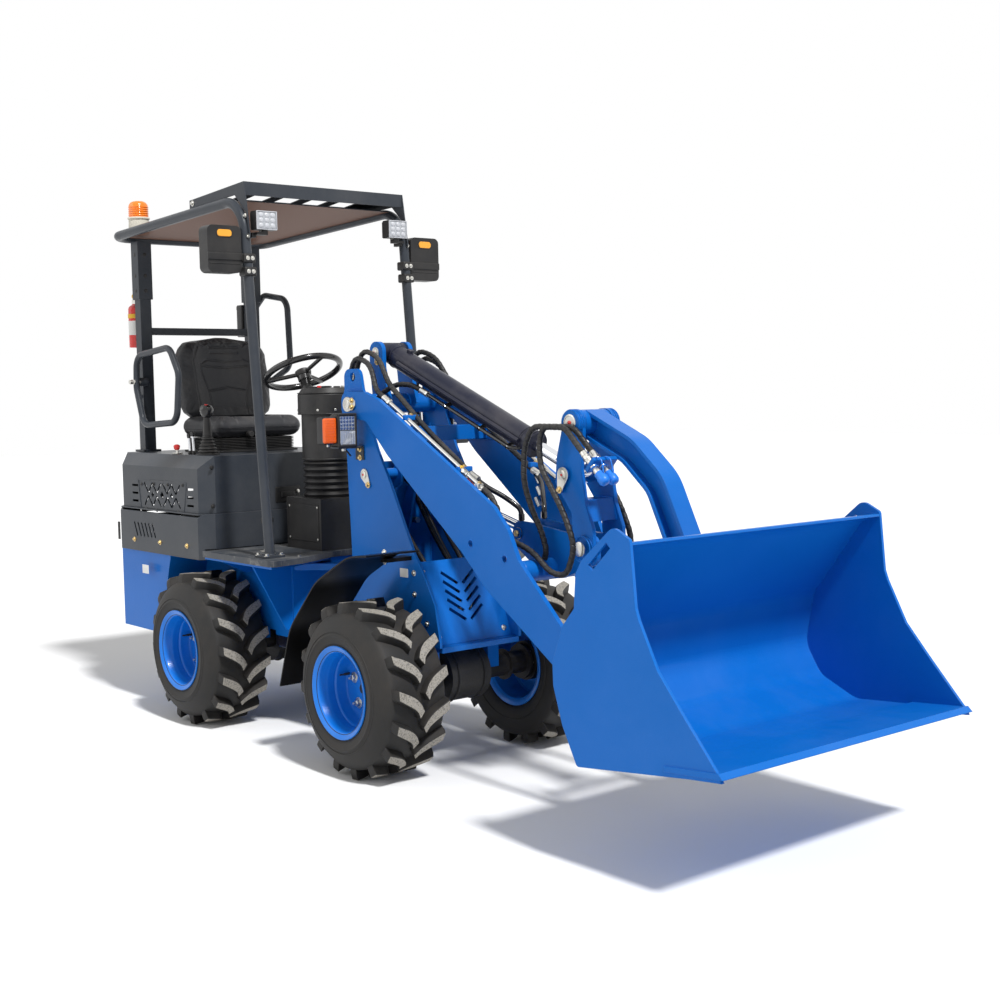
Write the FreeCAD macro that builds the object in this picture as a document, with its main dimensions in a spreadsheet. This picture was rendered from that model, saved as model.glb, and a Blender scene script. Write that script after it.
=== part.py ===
"""Compact articulated wheel loader with a two-post canopy, a bucket and a parallel linkage.

Frame: +X forward, +Y to the driver's left, +Z up, in millimetres. Every size below is measured
from the ground point under the front axle; frame_shift then carries each finished sub-part so
that the origin is the bottom centre of the whole machine.
"""
import FreeCAD
import Part
import Sketcher
import math
import os
import re
from FreeCAD import Rotation, Vector

doc = FreeCAD.newDocument("wheel_loader")
sheet = doc.addObject("Spreadsheet::Sheet", "Sizes")
sums = doc.addObject("Spreadsheet::Sheet", "Sums")

# --------------------------------------------------------------------------------------------
# Driving sizes: (alias, millimetres or degrees)
# --------------------------------------------------------------------------------------------
SIZES = [
    # whole machine
    ("wheelbase", 1254), ("axle_height", 330), ("track_half", 434), ("front_reach", 1905),
    ("rear_reach", 2111), ("fit_gap", 0.3), ("plate", 10), ("pin_radius", 20),
    # wheels
    ("tyre_shift", 40), ("shoulder_radius", 292), ("shoulder_half", 116), ("bulge_radius", 238),
    ("bulge_out", 112), ("bulge_in", 166), ("bead_radius", 186), ("bead_out", 116),
    ("bead_in", 152), ("lug_root", 246), ("lug_top", 324.4), ("lug_count", 16),
    ("lug_bevel_half", 110), ("lug_bevel_low", 296), ("rim_half", 118), ("rim_deep", 150),
    ("flange_radius", 174), ("flange_wall", 7), ("barrel_radius", 151), ("barrel_wall", 7),
    ("disc_inner", 20), ("disc_wall", 10),
    # axles
    ("axle_tube_radius", 45), ("hub_radius", 80), ("hub_length", 60), ("diff_radius", 105),
    ("diff_half", 95), ("axle_pad_in", 120), ("axle_pad_out", 175), ("axle_pad_half", 55),
    # joints in the side view
    ("front_axle_x", 0), ("articulation_x", -627), ("boom_pivot_x", -370), ("boom_pivot_z", 1385),
    ("lift_base_x", -300), ("lift_base_z", 1107), ("lift_eye_x", 465), ("lift_eye_z", 913),
    ("tilt_base_x", -380), ("tilt_base_z", 1590), ("tilt_eye_x", 740), ("tilt_eye_z", 1135),
    ("lever_pivot_x", 830), ("lever_pivot_z", 884), ("link_top_x", 790), ("link_top_z", 1315),
    ("bucket_pivot_x", 1100), ("bucket_pivot_z", 430), ("link_foot_x", 1235), ("link_foot_z", 900),
    ("cross_tube_x", 640), ("cross_tube_z", 800), ("cross_tube_radius", 38),
    # rear frame
    ("chassis_gap", 28), ("chassis_rear", 1960), ("chassis_front", 780), ("chassis_low", 420),
    ("deck_low", 718), ("fork_nose", 70), ("fork_low_z", 400), ("fork_low_wall", 32),
    ("fork_high_z", 690), ("fork_high_wall", 28), ("knuckle_pin_radius", 30),
    ("knuckle_radius", 58), ("knuckle_play", 6), ("outrigger_rear", 1130), ("outrigger_front", 790),
    ("outrigger_low", 440), ("outrigger_rear_low", 656),
    # counterweight
    ("weight_half", 440), ("weight_low", 350), ("weight_rear", 1998), ("weight_top_front", 1504),
    ("weight_low_front", 1625), ("weight_skin", 18), ("weight_skin_low", 372),
    # engine
    ("engine_rear", 1880), ("engine_front", 1330), ("engine_half", 190), ("engine_high", 880),
    # covers
    ("cover_half", 445), ("cover_rear", 2010), ("cover_front", 1166), ("cover_corner", 55),
    ("cover_top", 1168), ("cover_bevel", 55), ("cover_split", 918), ("cover_wall", 6),
    ("skirt_out", 12), ("skirt_bevel", 20), ("grille_half", 330), ("grille_low", 740),
    ("grille_high", 1090), ("grille_wall", 8), ("grille_slots", 9), ("grille_slot", 12),
    ("vent_step", 36), ("vent_count", 6), ("vent_length", 70), ("vent_width", 12),
    ("vent_lean", 25), ("vent_rear", 1800), ("vent_centre_z", 820), ("mesh_x", 1560),
    ("mesh_z", 985), ("mesh_bars", 8), ("mesh_bar", 60), ("mesh_slot", 10), ("mesh_lean", 42),
    ("mesh_step", 41), ("mesh_gap", 20), ("mesh_row", 30), ("mesh_diamond", 20),
    ("diamond_lean", 45), ("mesh_dash", 60), ("mesh_dash_away", 268), ("mesh_dash_step", 36),
    # platform and console
    ("platform_half", 480), ("platform_high", 765), ("platform_wall", 25), ("platform_front", 560),
    ("platform_neck_x", 600), ("platform_neck_half", 300), ("platform_nose_x", 700),
    ("platform_nose_half", 100), ("platform_round", 30), ("console_x", -865),
    ("console_base_half", 135), ("console_base_rear", 1000), ("console_base_front", 728),
    ("console_base_high", 985), ("boot_radius", 100), ("boot_high", 1145), ("boot_fold", 12),
    ("boot_folds", 6), ("column_radius", 112), ("column_high", 1340), ("cap_radius", 126),
    ("cap_high", 1455), ("wheel_hub_x", -1015), ("wheel_hub_z", 1445),
    ("steering_wheel_radius", 180), ("steering_rim_radius", 14), ("steering_tilt", 24),
    ("steering_shaft_radius", 22), ("steering_rise", 88), ("steering_hub_radius", 30),
    ("steering_hub_wall", 26), ("spoke_radius", 9),
    # seat
    ("seat_half", 245), ("seat_front", 1400), ("seat_rear", 1800), ("seat_low", 1236),
    ("seat_high", 1330), ("base_half", 210), ("base_front", 1440), ("base_rear", 1790),
    ("back_thick", 115), ("back_low", 1330.3), ("back_high", 1722), ("back_rear", 1855),
    ("back_lean", 60), ("cushion_round", 38),
    # canopy
    ("roof_tube_radius", 21), ("roof_half", 400), ("post_foot_x", -708), ("roof_corner_x", -839),
    ("roof_corner_z", 2233), ("roof_rear_x", -2066), ("roof_rear_z", 2183), ("roof_bend", 150),
    ("roof_rear_bend", 90), ("foot_plate", 45), ("foot_plate_wall", 10), ("sheet_wall", 4),
    ("sheet_front", 900), ("post_x", -1985), ("post_y", 294), ("post_half", 28),
    ("sleeve_half", 35), ("sleeve_low", 1890), ("rear_bar_z", 1740), ("rear_bar_half", 17),
    ("guard_wall", 5), ("guard_flat", 4), ("guard_slots", 5), ("guard_slot_lean", 30),
    ("guard_slot_half", 45),
    # lamps, mirrors, beacon and extinguisher
    ("beacon_x", -1985), ("beacon_y", -300), ("beacon_radius", 52), ("beacon_base_high", 62),
    ("beacon_high", 160), ("work_lamp_x", -770), ("work_lamp_y", 330), ("work_lamp_z", 2140),
    ("work_lamp_half", 48), ("work_lamp_tall", 38), ("work_lamp_deep", 45), ("mirror_in", 428),
    ("mirror_out", 582), ("mirror_low", 1925), ("mirror_high", 2115), ("mirror_x", -880),
    ("mirror_deep", 70), ("mirror_round", 24), ("mirror_arm_radius", 8), ("mirror_clamp_z", 1975),
    ("extinguisher_x", -2064), ("extinguisher_radius", 36), ("extinguisher_low", 1665),
    ("extinguisher_high", 1870), ("valve_radius", 18), ("valve_high", 1925), ("tail_lamp_y", 385),
    ("tail_lamp_z", 850), ("tail_lamp_radius", 36), ("tail_lamp_deep", 22),
    # arm guards beside the seat
    ("guard_pivot_x", -1945), ("guard_pivot_z", 1500), ("guard_y", 362), ("guard_radius", 15),
    ("guard_bend", 70), ("guard_boss_radius", 20),
    # controls
    ("joystick_x", -1330), ("joystick_y", -330), ("joystick_boot", 48),
    ("joystick_boot_high", 1255), ("joystick_stem", 9), ("joystick_stem_high", 1365),
    ("joystick_knob", 27), ("brake_x", -1560), ("brake_y", -360), ("brake_stem", 7),
    ("brake_high", 1262), ("pedal_x", -890), ("pedal_y", -300), ("pedal_half", 28),
    ("pedal_wall", 12), ("pedal_low", 800),
    # tower and front frame
    ("tower_half", 200), ("tower_plate", 12), ("tower_rear_x", -404), ("tower_low", 470),
    ("tower_floor", 450), ("tower_front_low_x", 165), ("ear_in", 58), ("ear_wall", 18),
    ("pivot_tube_radius", 40), ("lift_ear_in", 42), ("lift_ear_wall", 12), ("arm_half", 60),
    ("arm_high", 650), ("eye_hole_radius", 18), ("louvre_rows", 5), ("louvre_step", 34),
    ("louvre_length", 85), ("louvre_width", 12), ("louvre_lean", 35), ("louvre_low_z", 545),
    # boom
    ("boom_out", 225), ("boom_wall", 18), ("boom_lug_in", 45), ("boom_lug_wall", 15),
    ("boom_hole_radius", 13), ("hole_rear_x", 392), ("hole_rear_z", 884), ("hole_front_x", 581),
    ("hole_front_z", 843), ("channel_x", -73), ("channel_z", 1269), ("channel_long", 84),
    ("channel_tall", 56), ("channel_wall", 8), ("edge_round", 45),
    # lever and link
    ("lever_in", 63), ("lever_wall", 15), ("lever_boss_radius", 44), ("lever_boss_out", 98),
    ("link_half", 40), ("link_web", 16), ("link_tall", 92), ("link_flange", 12),
    ("link_foot_radius", 34), ("coupling_radius", 13), ("coupling_cap", 20), ("coupling_lean", 42),
    ("coupling_y", 96), ("coupling_gap", 42),
    # cylinders
    ("lift_barrel_radius", 38), ("lift_rod_radius", 19), ("lift_barrel_length", 560),
    ("tilt_barrel_radius", 45), ("tilt_rod_radius", 22), ("tilt_barrel_length", 955),
    ("port_inset", 120), ("eye_radius", 34), ("eye_half", 40), ("gland_length", 30),
    ("gland_radius", 6), ("steer_barrel_radius", 30), ("steer_rod_radius", 15),
    ("steer_barrel_length", 430), ("steer_base_x", -980), ("steer_base_y", -190),
    ("steer_eye_x", -280), ("steer_eye_y", -150), ("steer_z", 362), ("steer_eye_radius", 26),
    ("steer_eye_half", 20), ("steer_pin_radius", 14), ("eye_gap", 2),
    # quick coupler and bucket
    ("hitch_out", 205), ("hitch_wall", 16), ("hitch_ear_in", 48), ("hitch_ear_wall", 15),
    ("hitch_tube_radius", 28), ("hitch_tube_x", 1188), ("hitch_tube_z", 690),
    ("hitch_low_tube_z", 520), ("bucket_half", 578), ("bucket_side", 10), ("bucket_skin", 8),
    ("edge_half", 592), ("edge_wall", 16), ("edge_rear", 1690), ("edge_low_z", 366),
    ("bracket_in", 205.3), ("bracket_plate", 14),
    # fenders and headlamps
    ("fender_in", 276), ("fender_out", 512), ("fender_wall", 6), ("fender_bend", 240),
    ("fender_stay_x", -60), ("fender_stay_z", 806), ("lamp_x", -326), ("lamp_y", 280),
    ("lamp_z", 1285), ("lamp_half", 45), ("lamp_tall", 67), ("lamp_deep", 70),
    ("indicator_half", 30), ("indicator_tall", 56), ("lamp_round", 14), ("bracket_high", 1218),
    ("bracket_low", 1165), ("lamp_bracket_wall", 6),
    # more places
    ("outrigger_low_half", 250), ("fork_root", 140), ("grille_margin", 30), ("steering_lift", 0.3),
    ("steering_sleeve", 34), ("sleeve_reach", 150), ("mirror_arm_x", -817), ("hinge_radius", 7),
    ("hinge_x", -2027), ("hinge_z", 1096), ("hinge_half", 60), ("hinge_ear", 36),
    ("guard_crown_x", -826), ("guard_crown_z", 2300), ("guard_tail_x", -1290),
    ("guard_tail_z", 2272), ("guard_foot_z", 2075), ("guard_leg", 16), ("guard_fascia", 55),
    ("guard_slot_rear", -1180), ("guard_slot_front", -880), ("lamp_strap_x", -845),
    ("box_deep", 55), ("box_half", 40), ("box_low", 1720), ("box_high", 1880),
    ("eye_hole_rise", 108), ("tower_wall_high", 1150), ("coupling_x", 940), ("coupling_z", 1178),
    ("coupling_length", 120), ("rod_inside_lift", 583), ("rod_inside_tilt", 800),
    ("rod_inside_steer", 500), ("slot_low_u", 292), ("slot_low_v", 492), ("slot_high_u", 368),
    ("slot_high_v", 562), ("slot_wide", 16), ("edge_rise_rear", 4), ("edge_rise_front", 20),
    # hoses
    ("hose_radius", 11), ("pipe_radius", 8), ("arc_share", 0.45), ("clamp_wall", 14),
    ("clamp_first_x", -20), ("clamp_first_z", 1333), ("clamp_last_x", 300), ("clamp_last_z", 1146),
    ("clamp_end_x", 410), ("clamp_end_z", 1090),
]

# Sizes that follow from others: the tub stays clear of the tyres' inner sides.
FOLLOWERS = [
    ("chassis_half", "=track_half - tyre_shift - shoulder_half - chassis_gap"),
]

# Outlines: each point is (joint that it follows, offset, offset, corner rounding's alias or "").
OUTLINES = {
    "tower": [("tower", 0, 0, ""), ("tower", 0, 330, ""), ("tower", -22, 770, ""),
              ("boom_pivot", -62, -20, ""), ("boom_pivot", -62, 60, "corner_small"),
              ("boom_pivot", 70, 72, "corner_large"), ("boom_pivot", 100, -50, ""),
              ("tower", 195, 735, ""), ("tower", 271, 613, ""), ("tower", 419, 344, ""),
              ("tower", 485, 256, ""), ("tower_front", -27, 159, ""), ("tower_front", 0, 20, ""),
              ("tower_front", 0, 0, "")],
    "lift_eye_tab": [("boom_pivot", -58, 50, ""), ("boom_pivot", -58, 140, "corner_large"),
                     ("boom_pivot", 52, 140, "corner_large"), ("boom_pivot", 72, 50, "")],
    "tilt_ear": [("boom_pivot", -35, -10, ""), ("tilt_base", -45, -60, ""),
                 ("tilt_base", -44, 44, "corner_ear"), ("tilt_base", 44, 44, "corner_ear"),
                 ("tilt_base", 45, -60, ""), ("boom_pivot", 75, 0, "")],
    "lift_ear": [("tower_rear", 10, 950, ""), ("lift_base", 0, 40, ""),
                 ("lift_base", 40, 40, "corner_small"), ("lift_base", 40, -40, "corner_small"),
                 ("lift_base", 0, -60, ""), ("tower_rear", 10, 700, "")],
    "front_cover": [("tower_front", -165, 310, ""), ("tower_front", -157, 310, ""),
                    ("tower_front", -45, 0, ""), ("tower_front", -53, 0, "")],
    "boom": [("boom_pivot", -45, -48, "corner_boom"), ("boom_pivot", -45, 49, "corner_boom"),
             ("boom_pivot", 112, 49, "edge_round"), ("boom_pivot", 209, 17, "edge_round"),
             ("lift_eye", 57, 110, "edge_round"), ("lift_eye", 135, 32, ""),
             ("lift_eye", 188, -71, ""), ("lift_eye", 403, -276, ""),
             ("bucket_pivot", 34, 43, "corner_boom"), ("bucket_pivot", 74, -8, "corner_boom"),
             ("bucket_pivot", -6, -66, "corner_boom"), ("bucket_pivot", -34, -43, ""),
             ("lift_eye", 354, -408, ""), ("lift_eye", 9, -185, ""), ("lift_eye", -123, -66, ""),
             ("boom_pivot", 260, -194, "edge_round"), ("boom_pivot", 122, -65, "edge_round")],
    "boom_lug": [("lift_eye", -42, -30, "corner_boom"), ("lift_eye", -20, 46, "corner_boom"),
                 ("lift_eye", 60, 42, ""), ("lever_pivot", -60, 42, ""),
                 ("lever_pivot", 48, 50, "corner_boom"), ("lever_pivot", 48, -50, "corner_boom"),
                 ("cross_tube", 60, -30, ""), ("cross_tube", -30, -40, "")],
    "lever": [("lever_pivot", -48, -48, "corner_ear"), ("lever_pivot", 50, -46, "corner_ear"),
              ("lever_pivot", 44, 70, ""), ("lever_pivot", 10, 150, ""), ("tilt_eye", 80, 20, ""),
              ("link_top", 42, -30, ""), ("link_top", 42, 46, "corner_ear"),
              ("link_top", -44, 46, "corner_ear"), ("tilt_eye", -42, 60, ""),
              ("tilt_eye", -52, -30, ""), ("lever_pivot", -60, 120, "")],
    "lever_web": [("lever_pivot", -66, 92, ""), ("lever_pivot", 20, 92, ""),
                  ("lever_pivot", 2, 168, ""), ("lever_pivot", -76, 168, "")],
    "link_line": [("link_top", 0, 0, ""), ("link_top", 213, -92, "link_bend"),
                  ("link_top", 340, -200, "link_bend"), ("link_foot", 0, 0, "")],
    "hitch": [("bucket_pivot", -36, -42, "corner_boom"), ("bucket_pivot", 10, -62, "corner_small"),
              ("bucket_pivot", 140, -58, ""), ("bucket_pivot", 140, 170, ""),
              ("link_foot", 42, -200, ""), ("link_foot", 62, -20, ""),
              ("link_foot", 50, 45, "corner_small"), ("link_foot", -10, 45, "corner_small"),
              ("link_foot", -42, -40, ""), ("bucket_pivot", 48, 150, ""),
              ("bucket_pivot", -52, 36, "corner_boom")],
    "hitch_ear": [("hitch_tube", -24, -6, ""), ("hitch_tube", 10, -26, ""),
                  ("hitch_tube", 34, 10, ""), ("link_foot", 40, -16, ""),
                  ("link_foot", 34, 36, "corner_small"), ("link_foot", -34, 36, "corner_small"),
                  ("link_foot", -40, -20, "")],
    "bucket_side": [("bucket_pivot", 395, 610, "corner_large"),
                    ("bucket_pivot", 463, 576, "corner_small"), ("bucket_pivot", 482, 383, ""),
                    ("bucket_pivot", 494, 351, ""), ("bucket_pivot", 565, 216, ""),
                    ("bucket_pivot", 652, 115, ""), ("bucket_pivot", 783, -31, ""),
                    ("bucket_pivot", 798, -54, ""), ("bucket_pivot", 682, -64, ""),
                    ("bucket_pivot", 231, -115, "corner_small"), ("bucket_pivot", 169, 1, ""),
                    ("bucket_pivot", 132, 115, "corner_large"),
                    ("bucket_pivot", 130, 186, "corner_large"),
                    ("bucket_pivot", 175, 298, ""), ("bucket_pivot", 228, 357, ""),
                    ("bucket_pivot", 237, 461, ""), ("bucket_pivot", 263, 502, "")],
    "bucket_skin": [("bucket_pivot", 463, 560, ""), ("bucket_pivot", 408, 560, ""),
                    ("bucket_pivot", 192, 278, "skin_bend"), ("bucket_pivot", 158, 100, "skin_bend"),
                    ("bucket_pivot", 223, -2, "skin_bend"), ("bucket_pivot", 370, -66, "skin_bend"),
                    ("bucket_pivot", 700, -42, "")],
    "bracket": [("bucket_pivot", 141, -50, ""), ("bucket_pivot", 225, -5, ""),
                ("bucket_pivot", 205, 19, ""), ("bucket_pivot", 174, 68, ""),
                ("bucket_pivot", 163, 90, ""), ("bucket_pivot", 159, 112, ""),
                ("bucket_pivot", 161, 136, ""), ("bucket_pivot", 184, 258, ""),
                ("bucket_pivot", 191, 279, ""), ("bucket_pivot", 202, 297, ""),
                ("bucket_pivot", 285, 405, ""), ("bucket_pivot", 214, 482, ""),
                ("bucket_pivot", 198, 445, ""), ("bucket_pivot", 172, 300, ""),
                ("bucket_pivot", 141, 170, "")],
    "fender_line": [("front_axle", 150, 516, ""), ("front_axle", 30, 506, "fender_bend"),
                    ("front_axle", -195, 392, "fender_bend"),
                    ("front_axle", -392, 190, "fender_bend"), ("front_axle", -476, -48, "")],
    "pedal": [("pedal", 0, 0, ""), ("pedal", 12, 0, ""), ("pedal", -48, 112, ""),
              ("pedal", -60, 112, "")],
    "lug": [("lug", -52, 118, ""), ("lug", -14, 118, ""), ("lug", 20, 62, ""),
            ("lug", 60, 12, ""), ("lug", 30, 2, ""), ("lug", -18, 46, "")],
}

ROUNDINGS = [
    ("corner_small", 14), ("corner_large", 34), ("corner_ear", 40), ("corner_boom", 36),
    ("link_bend", 160), ("skin_bend", 90),
]

# Paths of bent tubes and hoses: each point is (joint that it follows, along X, Y itself, along Z).
PATHS = {
    "roof": [("post_foot", 0, -400, 10), ("roof_corner", 0, -400, 0), ("roof_rear", 0, -400, 0),
             ("roof_rear", 0, 400, 0), ("roof_corner", 0, 400, 0), ("post_foot", 0, 400, 10)],
    "arm_guard": [("guard_pivot", 0, 0, -30), ("guard_pivot", 10, 0, 122),
                  ("guard_pivot", 345, 0, 152), ("guard_pivot", 428, 0, 30),
                  ("guard_pivot", 395, 0, -188), ("guard_pivot", 65, 0, -205)],
    "tower_hose_outer": [("boom_pivot", -8, 168, -335), ("boom_pivot", -6, 168, -170),
                         ("boom_pivot", -70, 168, -75), ("boom_pivot", -70, 168, 95),
                         ("boom_pivot", -28, 168, 190), ("boom_pivot", 85, 172, 160),
                         ("boom_pivot", 150, 190, 52), ("boom_pivot", 205, 190, 22)],
    "tower_hose_inner": [("boom_pivot", -8, 135, -335), ("boom_pivot", -6, 135, -170),
                         ("boom_pivot", -78, 135, -65), ("boom_pivot", -76, 135, 115),
                         ("boom_pivot", -20, 135, 218), ("boom_pivot", 100, 142, 186),
                         ("boom_pivot", 176, 150, 80), ("boom_pivot", 230, 150, 40)],
    "boom_pipe": [("boom_pivot", 205.3, 190, 21.8), ("boom_pivot", 345, 190, -54),
                  ("boom_pivot", 800, 190, -306)],
    "boom_hose": [("boom_pivot", 230.3, 150, 39.8), ("boom_pivot", 412, 150, -95),
                  ("lift_eye", -151, 150, 212), ("lift_eye", -92, 138, 172),
                  ("lift_eye", -34, 92, 132), ("lift_eye", 12, 56, 88),
                  ("lift_eye", 12, 54, 45.6)],
    "loop_outer": [("boom_pivot", 800.3, 190, -306.2), ("boom_pivot", 846, 190, -331.5),
                   ("cross_tube", -92, 178, 106), ("cross_tube", 4, 154, 72),
                   ("cross_tube", 86, 140, -2), ("cross_tube", 165, 138, -6),
                   ("lever_pivot", 20, 138, 12), ("lever_pivot", -36, 138, 130),
                   ("link_top", -112, 138, -150), ("link_top", -114, 138, -60),
                   ("link_top", -90, 138, -13), ("link_top", -50, 138, -13)],
    "loop_inner": [("cross_tube", 12, 100, 38.4), ("cross_tube", 22.5, 102, 71),
                   ("cross_tube", 8, 108, 130), ("cross_tube", -38, 110, 204),
                   ("cross_tube", -82, 112, 304), ("cross_tube", -74, 112, 430),
                   ("cross_tube", -30, 114, 502), ("link_top", -60, 114, -13)],
    "tail_outer": [("link_top", -49.7, 138, -13), ("link_top", 16, 138, -13),
                   ("coupling", -74.6, 138, 67.1), ("coupling", -44.8, 138, 40.3)],
    "tail_inner": [("link_top", -59.7, 114, -13), ("link_top", 36, 114, -13),
                   ("coupling", -72, 97, 64.8), ("coupling", -45.1, 96, 40.6)],
}


def cell_values():
    """Every (alias, value) of the sheet: sizes, roundings, outline and path offsets, followers."""
    yield from SIZES
    yield from ROUNDINGS
    for name, points in OUTLINES.items():
        for number, (joint, along, up, rounding) in enumerate(points, 1):
            yield f"{name}_u{number}", along
            yield f"{name}_v{number}", up
    for name, points in PATHS.items():
        for number, (joint, along, side, up) in enumerate(points, 1):
            yield f"{name}_along{number}", along
            yield f"{name}_side{number}", side
            yield f"{name}_up{number}", up
    yield from FOLLOWERS


ALIASES = set()
for row, (alias, value) in enumerate(cell_values(), 1):
    sheet.set(f"A{row}", alias)
    sheet.set(f"B{row}", str(value))
    sheet.setAlias(f"B{row}", alias)
    ALIASES.add(alias)
doc.recompute()

# Joints that outlines hang on, as formulas of the sheet's sizes in the side view (X, Z).
JOINTS = {
    "front_axle": ("front_axle_x", "axle_height"),
    "tower": ("tower_rear_x", "tower_low"),
    "tower_rear": ("tower_rear_x", "0"),
    "tower_front": ("tower_front_low_x", "tower_low"),
    "boom_pivot": ("boom_pivot_x", "boom_pivot_z"),
    "lift_base": ("lift_base_x", "lift_base_z"),
    "lift_eye": ("lift_eye_x", "lift_eye_z"),
    "tilt_base": ("tilt_base_x", "tilt_base_z"),
    "tilt_eye": ("tilt_eye_x", "tilt_eye_z"),
    "lever_pivot": ("lever_pivot_x", "lever_pivot_z"),
    "link_top": ("link_top_x", "link_top_z"),
    "link_foot": ("link_foot_x", "link_foot_z"),
    "bucket_pivot": ("bucket_pivot_x", "bucket_pivot_z"),
    "cross_tube": ("cross_tube_x", "cross_tube_z"),
    "hitch_tube": ("hitch_tube_x", "hitch_tube_z"),
    "pedal": ("pedal_x", "pedal_low"),
    "coupling": ("coupling_x", "coupling_z"),
    "post_foot": ("post_foot_x", "platform_high"),
    "roof_corner": ("roof_corner_x", "roof_corner_z"),
    "roof_rear": ("roof_rear_x", "roof_rear_z"),
    "guard_pivot": ("guard_pivot_x", "guard_pivot_z"),
    "boom_hole_rear": ("hole_rear_x", "hole_rear_z"),
    "boom_hole_front": ("hole_front_x", "hole_front_z"),
    "lug": ("0", "0"),
}
FRAME_SHIFT = "(rear_reach - front_reach) / 2"
SIZE = {alias: float(sheet.get(alias)) for alias in ALIASES}
AXIS_TURN = {"X": Rotation(Vector(0, 1, 0), 90), "Y": Rotation(Vector(1, 0, 0), -90),
             "Z": Rotation()}
PLANE = {"side": "XZ_Plane", "plan": "XY_Plane", "front": "YZ_Plane"}
NODES = []


# --------------------------------------------------------------------------------------------
# Ways of making a solid
# --------------------------------------------------------------------------------------------
def formula(text):
    """A formula of aliases, written so that the document reads each alias from the sheet."""
    return re.sub(r"[a-z]\w*", lambda found: "Sizes." + found.group() if found.group() in ALIASES
                  else found.group(), text)


def amount(text):
    """The number that a formula of aliases comes to now, worked out by a scratch sheet."""
    sums.set("A1", "=" + formula(text))
    sums.recompute()
    return float(sums.get("A1"))


def tie(thing, prop, text):
    """Bind one property to a formula of the sheet's aliases."""
    thing.setExpression(prop, formula(text))


def place(thing, x, y, z):
    for axis, text in zip("xyz", (x, y, z)):
        tie(thing, "Placement.Base." + axis, text)


def block(x, y, z):
    """A box between two formulas on each axis."""
    box = doc.addObject("Part::Box", "Block")
    for prop, (low, high) in zip(("Length", "Width", "Height"), (x, y, z)):
        tie(box, prop, f"({high}) - ({low})")
    place(box, x[0], y[0], z[0])
    return box


def cylinder(axis, at, low, high, radius):
    """A cylinder along one axis from low to high; at holds the other two coordinates in order."""
    bar = doc.addObject("Part::Cylinder", "Bar")
    bar.Placement.Rotation = AXIS_TURN[axis]
    tie(bar, "Radius", radius)
    tie(bar, "Height", f"({high}) - ({low})")
    spots = list(at)
    spots.insert("XYZ".index(axis), low)
    place(bar, *spots)
    return bar


def fuse(*parts):
    joined = doc.addObject("Part::MultiFuse", "Joined")
    joined.Shapes = list(parts)
    joined.Refine = True
    return joined


def cut(base, *tools):
    tool = tools[0] if len(tools) == 1 else group(*tools)
    less = doc.addObject("Part::Cut", "Less")
    less.Base = base
    less.Tool = tool
    return less


def common(first, second):
    both = doc.addObject("Part::Common", "Both")
    both.Base = first
    both.Tool = second
    return both


def group(*parts):
    """Solids kept apart, or only touching at flat faces, in one sub-part."""
    kept = doc.addObject("Part::Compound", "Kept")
    kept.Links = list(parts)
    return kept


def both_sides(make):
    """The same thing made on the right (-1) and on the left (+1)."""
    return [make(side) for side in (-1, 1)]


def span(side, near, far):
    """Low and high formulas of a stretch from near to far, out on one side of the machine."""
    return (f"-({far})", f"-({near})") if side < 0 else (near, far)


def outline_texts(name):
    """The outline's corners as pairs of formulas."""
    return [(f"{JOINTS[joint][0]} + {name}_u{number}", f"{JOINTS[joint][1]} + {name}_v{number}")
            for number, (joint, along, up, rounding) in enumerate(OUTLINES[name], 1)]


def outline_values(name):
    """The outline's corners as numbers of the sheet."""
    def number_of(alias):
        return SIZE.get(alias, 0.0)
    return [(number_of(JOINTS[joint][0]) + SIZE[f"{name}_u{number}"],
             number_of(JOINTS[joint][1]) + SIZE[f"{name}_v{number}"])
            for number, (joint, along, up, rounding) in enumerate(OUTLINES[name], 1)]


def sketch_of(body, plane, corners):
    """A closed sketch on one of the body's own planes, each corner held by two formulas."""
    sketch = body.newObject("Sketcher::SketchObject", "Outline")
    support = [thing for thing in body.Origin.OriginFeatures if thing.Role == PLANE[plane]][0]
    sketch.AttachmentSupport = [(support, "")]
    sketch.MapMode = "FlatFace"
    count = len(corners)
    spots = [Vector(*[amount(text) for text in corner], 0) for corner in corners]
    for number in range(count):
        sketch.addGeometry(Part.LineSegment(spots[number], spots[(number + 1) % count]))
    for number in range(count):
        sketch.addConstraint(Sketcher.Constraint("Coincident", number, 2, (number + 1) % count, 1))
    for number, (corner, spot) in enumerate(zip(corners, spots)):
        for kind, text, distance in zip(("DistanceX", "DistanceY"), corner, spot):
            held = sketch.addConstraint(Sketcher.Constraint(kind, -1, 1, number, 1, distance))
            tie(sketch, f"Constraints[{held}]", text)
    return sketch


def corner_edges(solid, plane, spots):
    """Names of the solid's edges that run square to the plane through the given spots."""
    names = []
    for number, edge in enumerate(solid.Edges, 1):
        first, last = edge.Vertexes[0].Point, edge.Vertexes[-1].Point
        flat = [{"side": (point.x, point.z), "plan": (point.x, point.y),
                 "front": (point.y, point.z)}[plane] for point in (first, last)]
        if math.dist(*flat) > 0.01:
            continue
        if any(math.dist(flat[0], spot) < 0.01 for spot in spots):
            names.append(f"Edge{number}")
    return names


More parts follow.
